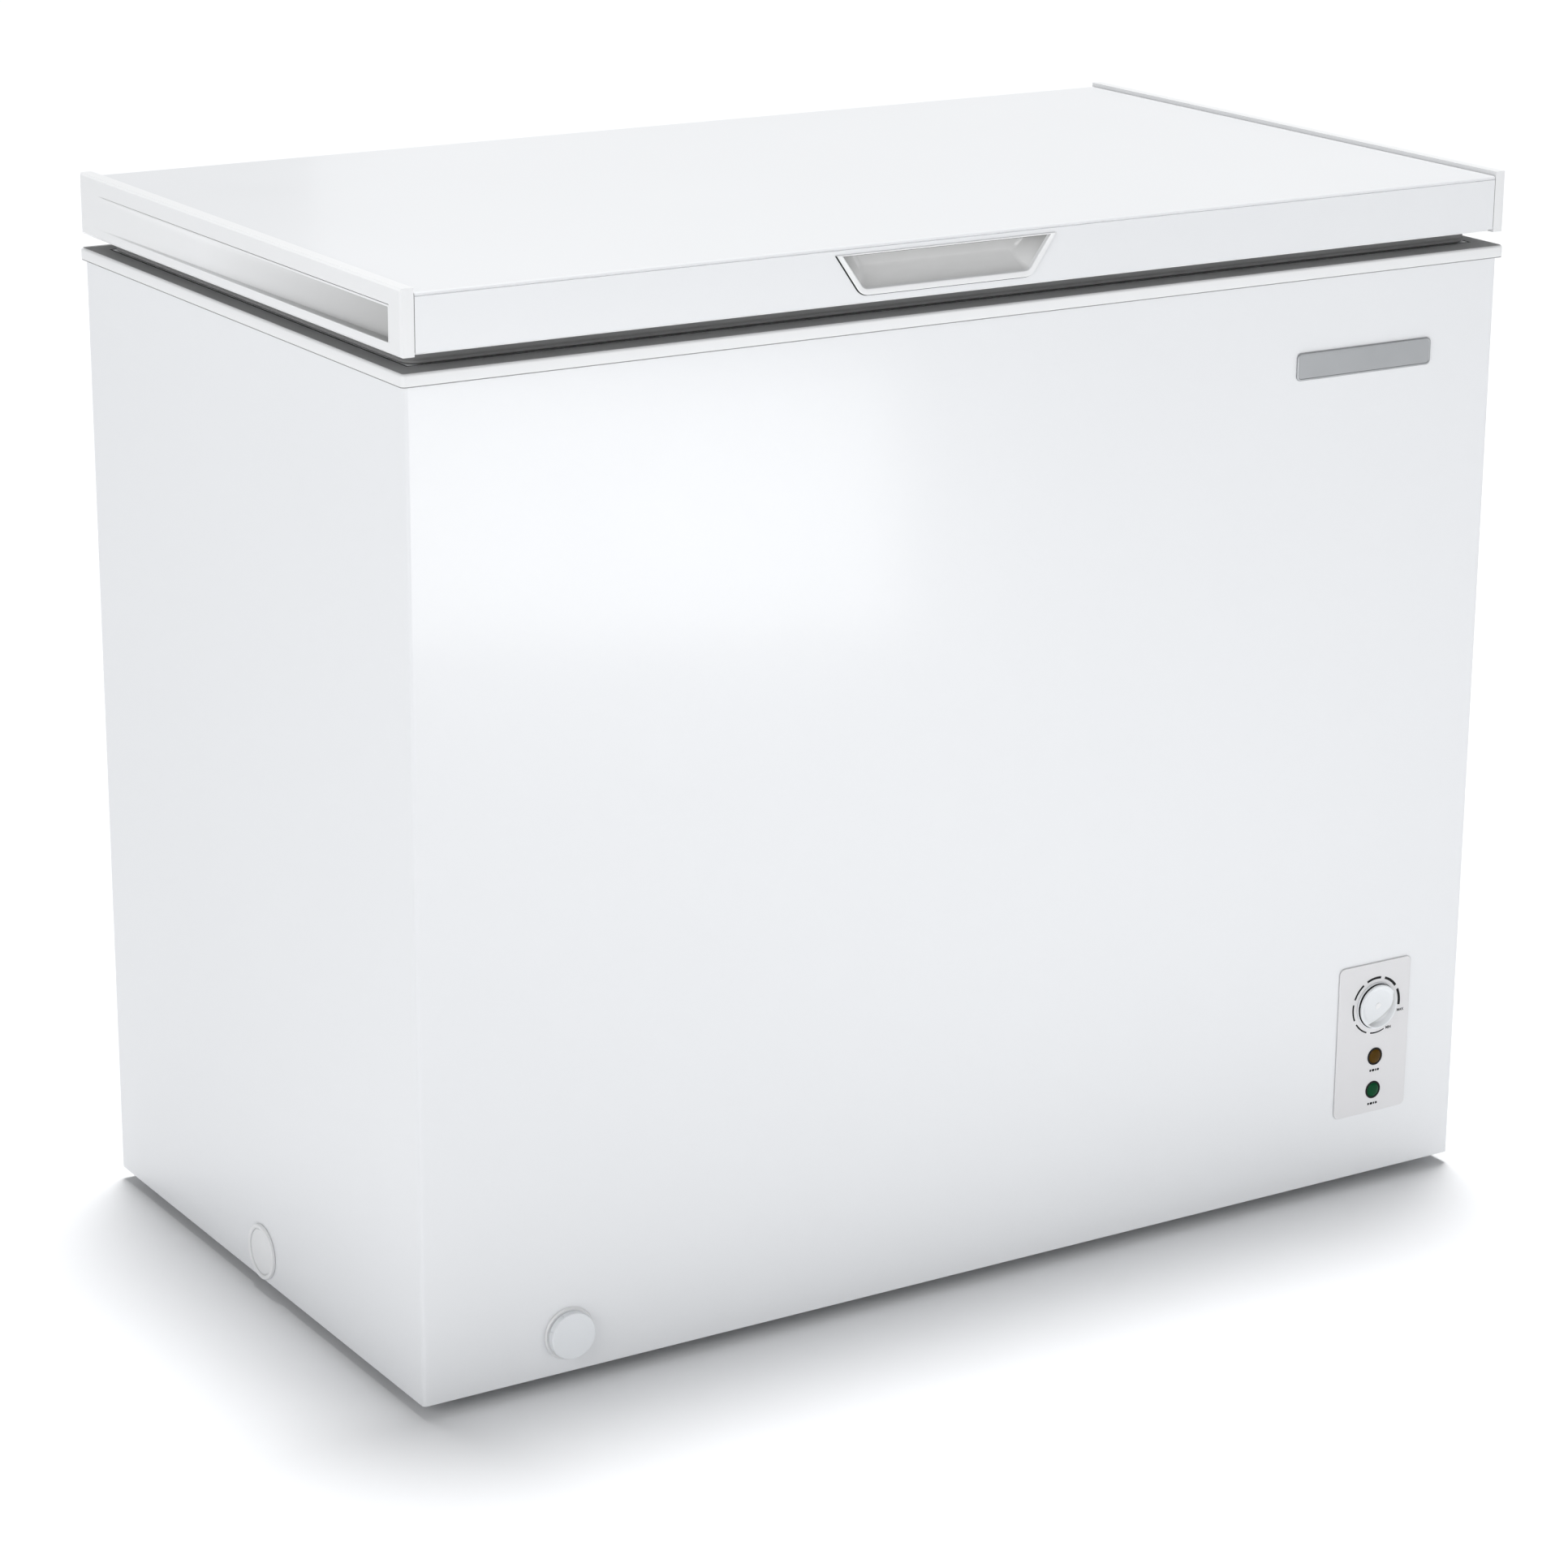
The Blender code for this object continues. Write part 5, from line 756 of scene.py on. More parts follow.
def screw_tree():
    """Pan head screws with a cross recess, one on each point."""
    tree, given, result = geometry_tree(
        "screws", [("Head Radius", FLOAT, 0.0036), ("Head Height", FLOAT, 0.0016),
                   ("Facing", VECTOR, (0.0, 0.0, 0.0))])
    radius, height = given["Head Radius"], given["Head Height"]
    low = add(tree, "GeometryNodeMeshCone", {
        "Vertices": 20, "Radius Bottom": radius, "Depth": math_node(tree, "MULTIPLY", height, 0.5),
        "Radius Top": math_node(tree, "MULTIPLY", radius, 0.96)})
    high = add(tree, "GeometryNodeMeshCone", {
        "Vertices": 20, "Radius Bottom": math_node(tree, "MULTIPLY", radius, 0.96),
        "Depth": math_node(tree, "MULTIPLY", height, 0.5),
        "Radius Top": math_node(tree, "MULTIPLY", radius, 0.66)})
    lift = combine(tree, z=math_node(tree, "MULTIPLY", height, 0.5))
    raised = add(tree, "GeometryNodeTransform",
                 {"Geometry": high.outputs[0], "Translation": lift})
    both = add(tree, "GeometryNodeJoinGeometry", {0: [low.outputs[0], raised.outputs[0]]})
    closed = add(tree, "GeometryNodeMergeByDistance",
                 {"Geometry": both.outputs[0], "Distance": 0.00001})
    inner = add(tree, "GeometryNodeDeleteGeometry", {"Geometry": closed.outputs[0]}, domain="FACE")
    facing = add(tree, "ShaderNodeSeparateXYZ",
                 {0: add(tree, "GeometryNodeInputNormal").outputs[0]}).outputs["Z"]
    middle = add(tree, "ShaderNodeSeparateXYZ",
                 {0: add(tree, "GeometryNodeInputPosition").outputs[0]}).outputs["Z"]
    flat = add(tree, "FunctionNodeCompare",
               {"A": math_node(tree, "ABSOLUTE", facing), "B": 0.99}, operation="GREATER_THAN")
    at_joint = add(tree, "FunctionNodeCompare", {
        "A": middle, "B": math_node(tree, "MULTIPLY", height, 0.5), "Epsilon": 0.00001},
        operation="EQUAL")
    both_true = add(tree, "FunctionNodeBooleanMath",
                    {0: flat.outputs[0], 1: at_joint.outputs[0]}, operation="AND")
    tree.links.new(both_true.outputs[0], inner.inputs["Selection"])
    bars = []
    for turn in (0.0, math.pi / 2):
        bar = add(tree, "GeometryNodeMeshCube", {"Size": combine(
            tree, math_node(tree, "MULTIPLY", radius, 1.05),
            math_node(tree, "MULTIPLY", radius, 0.2), height)})
        bars.append(add(tree, "GeometryNodeTransform", {
            "Geometry": bar.outputs[0], "Rotation": (0.0, 0.0, turn),
            "Translation": combine(tree, z=height)}).outputs[0])
    cross = add(tree, "GeometryNodeMeshBoolean", {1: bars, 0: inner.outputs[0]},
                operation="DIFFERENCE")
    placed = add(tree, "GeometryNodeInstanceOnPoints", {
        "Points": given["Geometry"], "Instance": cross.outputs[0], "Rotation": given["Facing"]})
    close_tree(tree, given, result, placed.outputs[0], smooth=False)
    return tree


def louvre_tree():
    """Pressed hoods, one above each slot: pinched to nothing at their ends, open below."""
    tree, given, result = geometry_tree(
        "louvres", [("Length", FLOAT, 0.06), ("Height", FLOAT, 0.008), ("Depth", FLOAT, 0.003),
                    ("Sheet", FLOAT, 0.0008), ("Facing", VECTOR, (0.0, 0.0, 0.0))])
    grid = add(tree, "GeometryNodeMeshGrid",
               {"Size X": 2.0, "Size Y": 1.0, "Vertices X": 25, "Vertices Y": 8})
    place = add(tree, "ShaderNodeSeparateXYZ",
                {0: add(tree, "GeometryNodeInputPosition").outputs[0]}).outputs
    along = place["X"]
    sweep = math_node(tree, "MULTIPLY", math_node(tree, "ADD", place["Y"], 0.5), math.pi / 2)
    pinch = math_node(tree, "POWER", math_node(tree, "ABSOLUTE", along), 8.0)
    full = math_node(tree, "SQRT", math_node(tree, "MAXIMUM", math_node(
        tree, "SUBTRACT", 1.0, pinch), 0.0004))
    out = math_node(tree, "MULTIPLY", math_node(tree, "SINE", sweep), given["Depth"])
    rise = math_node(tree, "MULTIPLY", math_node(tree, "COSINE", sweep), given["Height"])
    spot = combine(tree, math_node(tree, "MULTIPLY", along, math_node(
        tree, "MULTIPLY", given["Length"], 0.5)), rise, math_node(tree, "MULTIPLY", out, full))
    bent = add(tree, "GeometryNodeSetPosition", {"Geometry": grid.outputs[0], "Position": spot})
    thick = add(tree, "GeometryNodeExtrudeMesh",
                {"Mesh": bent.outputs[0], "Offset Scale": given["Sheet"], "Individual": False})
    back = add(tree, "GeometryNodeFlipFaces", {"Mesh": bent.outputs[0]})
    both = add(tree, "GeometryNodeJoinGeometry", {0: [thick.outputs[0], back.outputs[0]]})
    solid = add(tree, "GeometryNodeMergeByDistance",
                {"Geometry": both.outputs[0], "Distance": 0.000001})
    placed = add(tree, "GeometryNodeInstanceOnPoints", {
        "Points": given["Geometry"], "Instance": solid.outputs[0], "Rotation": given["Facing"]})
    close_tree(tree, given, result, placed.outputs[0])
    return tree


def wire_row_group():
    """A row of bent wires across Y, side by side along X: rim, side, floor, side, rim."""
    tree, given, result = new_group(
        "wire_row", "GeometryNodeTree",
        [("Count", WHOLE, 10), ("Run", FLOAT, 0.2), ("Rim Span", FLOAT, 0.2),
         ("Wall Span", FLOAT, 0.2), ("Floor Span", FLOAT, 0.2), ("Depth", FLOAT, 0.1),
         ("Bend", FLOAT, 0.008), ("Wire Radius", FLOAT, 0.0012)],
        [("Geometry", GEOMETRY)])
    chain = add(tree, "GeometryNodeMeshLine", {"Count": 6})
    step = math_node(tree, "SUBTRACT", add(tree, "GeometryNodeInputIndex").outputs[0], 2.5)
    far = math_node(tree, "ABSOLUTE", step)
    at_rim = math_node(tree, "GREATER_THAN", far, 2.0)
    at_wall = math_node(tree, "GREATER_THAN", far, 1.0)
    wall_step = math_node(tree, "SUBTRACT", given["Wall Span"], given["Floor Span"])
    rim_step = math_node(tree, "SUBTRACT", given["Rim Span"], given["Wall Span"])
    span = math_node(tree, "MULTIPLY_ADD", at_wall, wall_step, given["Floor Span"])
    span = math_node(tree, "MULTIPLY_ADD", at_rim, rim_step, span)
    across = math_node(tree, "MULTIPLY", math_node(tree, "SIGN", step), span)
    down = math_node(tree, "MULTIPLY", math_node(tree, "SUBTRACT", at_wall, 1.0), given["Depth"])
    bent = add(tree, "GeometryNodeSetPosition",
               {"Geometry": chain.outputs[0], "Position": combine(tree, 0.0, across, down)})
    curve = add(tree, "GeometryNodeMeshToCurve", {0: bent.outputs[0]})
    eased = add(tree, "GeometryNodeFilletCurve",
                {"Curve": curve.outputs[0], "Count": 4, "Radius": given["Bend"],
                 "Limit Radius": True}, mode="POLY")
    wire = tube(tree, eased.outputs[0], given["Wire Radius"], 8)
    pitch = math_node(tree, "DIVIDE", given["Run"], math_node(tree, "SUBTRACT", given["Count"], 1.0))
    half = math_node(tree, "MULTIPLY", given["Run"], -0.5)
    line = add(tree, "GeometryNodeMeshLine",
               {"Count": given["Count"], "Start Location": combine(tree, half),
                "Offset": combine(tree, pitch)})
    placed = add(tree, "GeometryNodeInstanceOnPoints",
                 {"Points": line.outputs[0], "Instance": wire})
    tree.links.new(placed.outputs[0], result["Geometry"])
    return tree


def basket_tree():
    """Wire basket: a stout rim, level rings, and rows of bent wires both ways."""
    tree, given, result = geometry_tree(
        "wire_basket",
        [("Length", FLOAT, 0.24), ("Width", FLOAT, 0.40), ("Rim Width", FLOAT, 0.44),
         ("Depth", FLOAT, 0.18), ("Taper", FLOAT, 0.006), ("Corner", FLOAT, 0.018),
         ("Pitch", FLOAT, 0.02), ("Rings", WHOLE, 4), ("Wire Radius", FLOAT, 0.0012),
         ("Rim Radius", FLOAT, 0.002), ("Place", VECTOR, (0.0, 0.0, 0.0))])

    def half(value):
        """Half of a value."""
        return math_node(tree, "MULTIPLY", value, 0.5)

    def less(value, amount):
        """A value with an amount taken off."""
        return math_node(tree, "SUBTRACT", value, amount)

    def ring(length, width, radius):
        """A level ring of wire with round corners."""
        frame_curve = add(tree, "GeometryNodeCurvePrimitiveQuadrilateral",
                          {"Width": length, "Height": width})
        eased = add(tree, "GeometryNodeFilletCurve",
                    {"Curve": frame_curve.outputs[0], "Count": 6, "Radius": given["Corner"],
                     "Limit Radius": True}, mode="POLY")
        return tube(tree, eased.outputs[0], radius, 10)

    def row(run, rim, wall, floor, depth):
        """A row of bent wires, as many as the run holds."""
        node = tree.nodes.new("GeometryNodeGroup")
        node.node_tree = bpy.data.node_groups.get("wire_row") or wire_row_group()
        links = {"Count": math_node(tree, "ROUND", math_node(tree, "DIVIDE", run, given["Pitch"])),
                 "Run": run, "Rim Span": rim, "Wall Span": wall, "Floor Span": floor,
                 "Depth": depth, "Wire Radius": given["Wire Radius"]}
        for label, value in links.items():
            tree.links.new(value, node.inputs[label])
        return node.outputs[0]

    stout = math_node(tree, "MULTIPLY", given["Rim Radius"], 2.0)
    length, width = less(given["Length"], stout), less(given["Width"], stout)
    rim_width = less(given["Rim Width"], stout)
    depth = less(less(given["Depth"], stout), given["Wire Radius"])
    taper = given["Taper"]
    bend_room = math_node(tree, "MULTIPLY", given["Corner"], 2.0)
    rim = ring(length, rim_width, given["Rim Radius"])
    cross = row(less(length, bend_room), half(rim_width), half(width), less(half(width), taper),
                depth)
    lift = math_node(tree, "MULTIPLY", given["Wire Radius"], 2.0)
    lengthwise = row(less(width, bend_room), math_node(tree, "ADD", half(length), 0.0002),
                     half(length), less(half(length), taper), less(depth, lift))
    turned_row = add(tree, "GeometryNodeTransform",
                     {"Geometry": lengthwise, "Rotation": (0.0, 0.0, math.pi / 2)})
    levels = add(tree, "GeometryNodeMeshLine", {
        "Count": given["Rings"], "Start Location": combine(tree, z=math_node(
            tree, "MULTIPLY", depth, -0.12)),
        "Offset": combine(tree, z=math_node(tree, "DIVIDE", math_node(
            tree, "MULTIPLY", depth, -0.84), given["Rings"]))})
    height = add(tree, "ShaderNodeSeparateXYZ",
                 {0: add(tree, "GeometryNodeInputPosition").outputs[0]}).outputs["Z"]
    share = math_node(tree, "DIVIDE", height, depth)
    shrink_x = math_node(tree, "MULTIPLY_ADD", share, math_node(tree, "DIVIDE", taper, half(
        length)), 1.0)
    shrink_y = math_node(tree, "MULTIPLY_ADD", share, math_node(tree, "DIVIDE", taper, half(
        width)), 1.0)
    hoops = add(tree, "GeometryNodeInstanceOnPoints", {
        "Points": levels.outputs[0],
        "Instance": ring(less(length, lift), less(width, lift), given["Wire Radius"]),
        "Scale": combine(tree, shrink_x, shrink_y, 1.0)})
    both = add(tree, "GeometryNodeJoinGeometry",
               {0: [rim, cross, turned_row.outputs[0], hoops.outputs[0]]})
    moved = add(tree, "GeometryNodeTransform",
                {"Geometry": both.outputs[0], "Translation": given["Place"]})
    close_tree(tree, given, result, moved.outputs[0])
    return tree


def gasket_tree():
    """Bellows gasket swept round the lid, with folds up its outer and inner sides."""
    tree, given, result = geometry_tree(
        "gasket", [("Length", FLOAT, 0.9), ("Depth", FLOAT, 0.5), ("Corner", FLOAT, 0.012),
                   ("Width", FLOAT, 0.012), ("Height", FLOAT, 0.011), ("Ribs", WHOLE, 3),
                   ("Rib Depth", FLOAT, 0.001), ("Place", VECTOR, (0.0, 0.0, 0.0))])
    frame_curve = add(tree, "GeometryNodeCurvePrimitiveQuadrilateral",
                      {"Width": given["Length"], "Height": given["Depth"]})
    path = add(tree, "GeometryNodeFilletCurve",
               {"Curve": frame_curve.outputs[0], "Count": 8, "Radius": given["Corner"],
                "Limit Radius": True}, mode="POLY")
    loop = add(tree, "GeometryNodeCurvePrimitiveCircle", {"Resolution": 64, "Radius": 1.0})
    spot = add(tree, "ShaderNodeSeparateXYZ",
               {0: add(tree, "GeometryNodeInputPosition").outputs[0]}).outputs

    def squared(value, power):
        """Push a circle's coordinate out towards a square's."""
        size = math_node(tree, "POWER", math_node(tree, "ABSOLUTE", value), power)
        return math_node(tree, "MULTIPLY", math_node(tree, "SIGN", value), size)

    side = squared(spot["X"], 0.35)
    up = squared(spot["Y"], 0.55)
    wave = math_node(tree, "SINE", math_node(
        tree, "MULTIPLY", math_node(tree, "MULTIPLY", up, given["Ribs"]), math.pi))
    pull = math_node(tree, "MULTIPLY", math_node(tree, "MULTIPLY", wave, given["Rib Depth"]),
                     math_node(tree, "MULTIPLY", side, 0.5))
    wide = math_node(tree, "MULTIPLY", side, math_node(tree, "SUBTRACT", math_node(
        tree, "MULTIPLY", given["Width"], 0.5), math_node(tree, "MULTIPLY", given["Rib Depth"], 0.5)))
    shaped = add(tree, "GeometryNodeSetPosition", {
        "Geometry": loop.outputs[0], "Position": combine(
            tree, math_node(tree, "ADD", wide, pull),
            math_node(tree, "MULTIPLY", up, math_node(tree, "MULTIPLY", given["Height"], 0.5)))})
    swept = add(tree, "GeometryNodeCurveToMesh",
                {"Curve": path.outputs[0], "Profile Curve": shaped.outputs[0]})
    moved = add(tree, "GeometryNodeTransform",
                {"Geometry": swept.outputs[0], "Translation": given["Place"]})
    close_tree(tree, given, result, moved.outputs[0])
    return tree


def dial_mark_tree():
    """Arcs printed round a dial, each a little thicker than the one before."""
    tree, given, result = geometry_tree(
        "dial_marks", [("Count", WHOLE, 7), ("Radius", FLOAT, 0.024), ("Thin", FLOAT, 0.0004),
                       ("Thick", FLOAT, 0.0016), ("Start", FLOAT, 0.0), ("Sweep", FLOAT, 5.0),
                       ("Filled", FLOAT, 0.8), ("Raise", FLOAT, 0.00008),
                       ("Place", VECTOR, (0.0, 0.0, 0.0))])
    grid = add(tree, "GeometryNodeMeshGrid",
               {"Size X": 1.0, "Size Y": 1.0, "Vertices X": 281, "Vertices Y": 2})
    place = add(tree, "ShaderNodeSeparateXYZ",
                {0: add(tree, "GeometryNodeInputPosition").outputs[0]}).outputs
    share = math_node(tree, "ADD", place["X"], 0.5)
    part = math_node(tree, "MULTIPLY", share, given["Count"])
    gap = math_node(tree, "GREATER_THAN", math_node(tree, "FRACT", part), given["Filled"])
    kept = add(tree, "GeometryNodeDeleteGeometry",
               {"Geometry": grid.outputs[0], "Selection": gap}, domain="FACE")
    thick = math_node(tree, "MULTIPLY_ADD", share, math_node(
        tree, "SUBTRACT", given["Thick"], given["Thin"]), given["Thin"])
    radius = math_node(tree, "MULTIPLY_ADD", place["Y"], thick, given["Radius"])
    angle = math_node(tree, "MULTIPLY_ADD", share, given["Sweep"], given["Start"])
    spot = combine(tree, math_node(tree, "MULTIPLY", radius, math_node(tree, "SINE", angle)), 0.0,
                   math_node(tree, "MULTIPLY", radius, math_node(tree, "COSINE", angle)))
    bent = add(tree, "GeometryNodeSetPosition", {"Geometry": kept.outputs[0], "Position": spot})
    raised = add(tree, "GeometryNodeExtrudeMesh", {
        "Mesh": bent.outputs[0], "Offset": (0.0, -1.0, 0.0), "Offset Scale": given["Raise"],
        "Individual": False})
    moved = add(tree, "GeometryNodeTransform",
                {"Geometry": raised.outputs[0], "Translation": given["Place"]})
    close_tree(tree, given, result, moved.outputs[0], smooth=False)
    return tree


def spring_tree():
    """Coil spring standing on its lower end."""
    tree, given, result = geometry_tree(
        "coil_spring", [("Turns", FLOAT, 8.0), ("Coil Radius", FLOAT, 0.004),
                        ("Length", FLOAT, 0.1), ("Wire Radius", FLOAT, 0.0009),
                        ("Place", VECTOR, (0.0, 0.0, 0.0))])
    coil = add(tree, "GeometryNodeCurveSpiral", {
        "Resolution": 28, "Rotations": given["Turns"], "Start Radius": given["Coil Radius"],
        "End Radius": given["Coil Radius"], "Height": given["Length"]})
    wire = tube(tree, coil.outputs[0], given["Wire Radius"], 10)
    moved = add(tree, "GeometryNodeTransform", {"Geometry": wire, "Translation": given["Place"]})
    close_tree(tree, given, result, moved.outputs[0])
    return tree


TREES = {
    "screws": screw_tree,
    "louvres": louvre_tree,
    "wire_basket": basket_tree,
    "gasket": gasket_tree,
    "dial_marks": dial_mark_tree,
    "coil_spring": spring_tree,
}


def tree_named(name):
    """Return a Geometry Nodes tree, built on first use."""
    return bpy.data.node_groups.get(name) or TREES[name]()


def drive_screws(name, points, body, facing):
    """Put a screw on each point and make them one piece."""
    values = {"Head Radius": sizes().screw_radius, "Head Height": sizes().screw_height,
              "Facing": facing}
    mesh = grown(name, tree_named("screws"), values, "galvanised", points)
    return install(name, mesh, "galvanised", body, sharp=30)


REARWARD = (-math.pi / 2, 0.0, 0.0)


# ---------------------------------------------------------------- operators


class FREEZER_OT_cabinet(bpy.types.Operator):
    """Cabinet shell, rear panel, base pan and feet"""

    bl_idname = "freezer.cabinet"
    bl_label = "Cabinet"

    def execute(self, context):
        edge = sizes().sheet_edge
        refined("outer_shell", "cabinet_shell", "root", edge)
        refined("rear_panel", "rear_sheet", "root", edge)
        refined("base_pan", "base_sheet", "root", edge)
        for number in range(1, 5):
            refined(f"foot_{number}", f"rubber_foot_{number}", "root", sharp=60)
        return {"FINISHED"}


class FREEZER_OT_top_frame(bpy.types.Operator):
    """Collar round the opening, with the ledge that carries the basket"""

    bl_idname = "freezer.top_frame"
    bl_label = "Top frame"

    def execute(self, context):
        refined("top_frame", "top_collar", "root", sizes().moulded_edge, simpler=False)
        collar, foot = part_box("top_frame")[1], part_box("lid_gasket")[1]
        side, front = collar.x - foot.x, collar.y - foot.y
        # Dark strips on the collar: a seal under its lip, drawn dark so that it also gives the shadow
        # line under the lip (partly painted shadow); a grey band on its top, painted shade under the
        # lid's overhang; and a black line, painted shadow where the gasket meets the collar.
        seam, thickness, outer, inner = 0.0092, 0.0006, 0.0004, 0.0038
        self.strip("collar_seal", "gasket", (outer, outer), (inner, inner),
                   -seam - thickness, -seam)
        lip, before, under, film = 0.0016, 0.0006, 0.0010, 0.0001
        crease = (side - before, front - before)
        self.strip("collar_band", "gasket", (lip, lip), crease, -film, film)
        self.strip("collar_crease", "rubber", crease, (side + under, front + under), -film, film)
        return {"FINISHED"}

    def strip(self, name, slot, outer, inner, low, top):
        """Ring round the collar: insets of its two edges, levels from the collar's top."""
        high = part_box("top_frame")[1]
        corner, least = 0.004, 0.0005
        bm = bmesh.new()
        loops = []
        for inset, level in ((outer, top), (outer, low), (inner, low), (inner, top)):
            outline = rounded(high.x - inset[0], high.y - inset[1], max(corner - inset[1], least))
            loops.append([(x, y, high.z + level) for x, y in outline])
        loft(bm, loops, closed=True)
        install(name, to_mesh(name, bm), slot, "root", sharp=30)


class FREEZER_OT_liner(bpy.types.Operator):
    """Embossed tub, its partition and the drain plug in its floor"""

    bl_idname = "freezer.liner"
    bl_label = "Liner"

    def execute(self, context):
        refined("inner_liner", "liner_tub", "root", sizes().sheet_edge)
        refined("machine_room_partition", "partition_sheet", "root")
        refined("drain_plug", "floor_plug", "inner_plug", sharp=50)
        return {"FINISHED"}


class FREEZER_OT_lid(bpy.types.Operator):
    """Lid skin and the moulded liner under it"""

    bl_idname = "freezer.lid"
    bl_label = "Lid"

    def execute(self, context):
        self.sheet()
        refined("lid_liner", "lid_inner_skin", "lid", sizes().moulded_edge)
        for name, side in (("left_end_gap_shade", -1), ("right_end_gap_shade", 1)):
            self.end_seal(name, side)
        return {"FINISHED"}

    def sheet(self):
        """Skin with a fine fold line along its front, a little short of the caps."""
        low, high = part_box("lid_skin")
        drop, half, depth, proud, over = 0.0026, 0.0007, 0.0007, 0.0005, 0.01
        trim = (0.0008, 1.0, 0.2, 1.0)
        line = high.z - drop
        groove = bmesh.new()
        outline = [(low.y - proud, line - half), (low.y + depth, line), (low.y - proud, line + half)]
        loft(groove, [[on_axis("X", y, z, x) for y, z in outline]
                      for x in (low.x - over, high.x + over)])
        ends = []
        for x in (low.x, high.x):
            end = bmesh.new()
            bmesh.ops.create_cube(end, size=1.0, matrix=Matrix.Translation(
                (x, 0.0, (low.z + high.z) / 2)) @ Matrix.Diagonal(trim))
            ends.append(end)
        mesh = carved(welded("lid_skin"), [groove, *ends])
        install("lid_sheet", mesh, "white_paint", "lid", ("lid_skin",), sizes().sheet_edge)

    def end_seal(self, name, side):
        """Grey strip in the gap between the skin's end and the cap, painted shade of the gap."""
        low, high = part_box("lid_skin")
        inset, corner, sunk, proud = 0.0003, 0.0018, 0.0003, 0.0002
        outline = rounded((high.y - low.y) / 2 - inset, (high.z - low.z) / 2 - inset, corner,
                          ((low.y + high.y) / 2, (low.z + high.z) / 2), 4)
        bm = bmesh.new()
        loft(bm, [[on_axis("X", y, z, side * x) for y, z in outline]
                  for x in (high.x - sunk, high.x + proud)])
        install(name, to_mesh(name, bm), "gasket", "lid", sharp=30)


# Recess of an end cap. Each step is a (distance in from its edge, depth) pair: a fine
# groove, a lip and then the floor.
CAP_STEPS = ((0.0, 0.0), (0.0001, 0.0014), (0.0006, 0.0014), (0.0007, 0.0003), (0.0021, 0.0003),
             (0.0025, 0.0058))
CAP_GROOVE_END = 0.00065
CAP_LIP_END = 0.0023
CAP_EDGE = 0.0018
CAP_FRONT, CAP_REAR = 0.0175, 0.035
CAP_LOW, CAP_HIGH = 0.0078, 0.035
CAP_SLOPE = 0.0012
CAP_STRAIGHT = 0.02
CAP_PAINTED_SHADE = 0.62


def cap_press(y, z, start, end, low, high):
    """Return how far the recess lies behind the cap's face and how much painted shade it takes there.
    """
    inward = min(y - start, high - z)
    if inward <= 0.0 or y >= end or z <= low:
        return 0.0, 0.0
    pressed = CAP_STEPS[-1][1]
    for (near, shallow), (far, deep) in zip(CAP_STEPS, CAP_STEPS[1:]):
        if near <= inward < far:
            pressed = shallow + (deep - shallow) * (inward - near) / (far - near)
    fade = min(1.0, (end - y) / (end - start - CAP_STRAIGHT))
    # Painted shade: darkest at the front end of the recess, fading towards the rear; full painted
    # shadow in the fine groove and none on the lip.
    shade = max(0.0, 1.0 - (y - start) / (CAP_PAINTED_SHADE * (end - start)))
    if inward < CAP_GROOVE_END:
        shade = 1.0
    elif inward < CAP_LIP_END:
        shade = 0.0
    return fade * pressed * min((z - low) / CAP_SLOPE, 1.0), shade


def spread(*stops):
    """Return places between stops, each stop a (place, steps to the next) pair."""
    places = []
    for (start, steps), (end, _) in zip(stops, stops[1:]):
        places += [start + (end - start) * i / steps for i in range(steps)]
    return places + [stops[-1][0]]


def end_cap(name, node, side):
    """One cap: a block whose outer face is a sheet pressed in by the recess."""
    near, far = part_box(node)
    outer, inner = (far.x, near.x) if side > 0 else (near.x, far.x)
    y_0, y_1 = near.y + CAP_EDGE, far.y - CAP_EDGE
    z_0, z_1 = near.z + CAP_EDGE, far.z - CAP_EDGE
    start, end = near.y + CAP_FRONT, far.y - CAP_REAR
    low, high = near.z + CAP_LOW, near.z + CAP_HIGH
    ys = spread((y_0, 3), *[(start + inward, 1) for inward, _ in CAP_STEPS],
                (start + 0.004, 6), (start + CAP_STRAIGHT, 40), (end, 4), (y_1, 0))
    zs = spread((z_0, 3), (low, 4), (low + CAP_SLOPE, 10),
                *[(high - inward, 1) for inward, _ in reversed(CAP_STEPS)], (high + 0.0004, 3),
                (z_1, 0))
    bm = bmesh.new()
    # Each vertex carries the painted shade of the recess, from cap_press.
    layer = bm.verts.layers.float.new("recess_shade")
    grid = []
    for y in ys:
        row = []
        for z in zs:
            pressed, shade = cap_press(y, z, start, end, low, high)
            vert = bm.verts.new((outer - side * pressed, y, z))
            vert[layer] = shade
            row.append(vert)
        grid.append(row)
    for left, right in zip(grid, grid[1:]):
        for i in range(len(zs) - 1):
            bm.faces.new((left[i], left[i + 1], right[i + 1], right[i]))
    rim = grid[0] + [row[-1] for row in grid[1:]] + grid[-1][-2::-1]
    rim += [row[0] for row in grid[-2:0:-1]]
    rings = [rim]
    for back in (CAP_EDGE * 0.75, abs(outer - inner)):
        ring = []
        for vert in rim:
            y = near.y if vert in grid[0] else (far.y if vert in grid[-1] else vert.co.y)
            z = near.z if vert.co.z == rim[0].co.z else vert.co.z
            z = far.z if vert.co.z == grid[0][-1].co.z else z
            ring.append(bm.verts.new((outer - side * back, y, z)))
        rings.append(ring)
    for before, after in zip(rings, rings[1:]):
        for i in range(len(rim)):
            j = (i + 1) % len(rim)
            bm.faces.new((before[i], before[j], after[j], after[i]))
    bm.faces.new(rings[-1])
    return install(name, to_mesh(name, bm), "cap_plastic", "lid", (node,), sharp=25)


class FREEZER_OT_end_caps(bpy.types.Operator):
    """Caps over the two ends of the lid, each with a recess that fades to the rear"""

    bl_idname = "freezer.end_caps"
    bl_label = "Lid end caps"

    def execute(self, context):
        end_cap("left_cap", "lid_end_cap_left", -1)
        end_cap("right_cap", "lid_end_cap_right", 1)
        return {"FINISHED"}


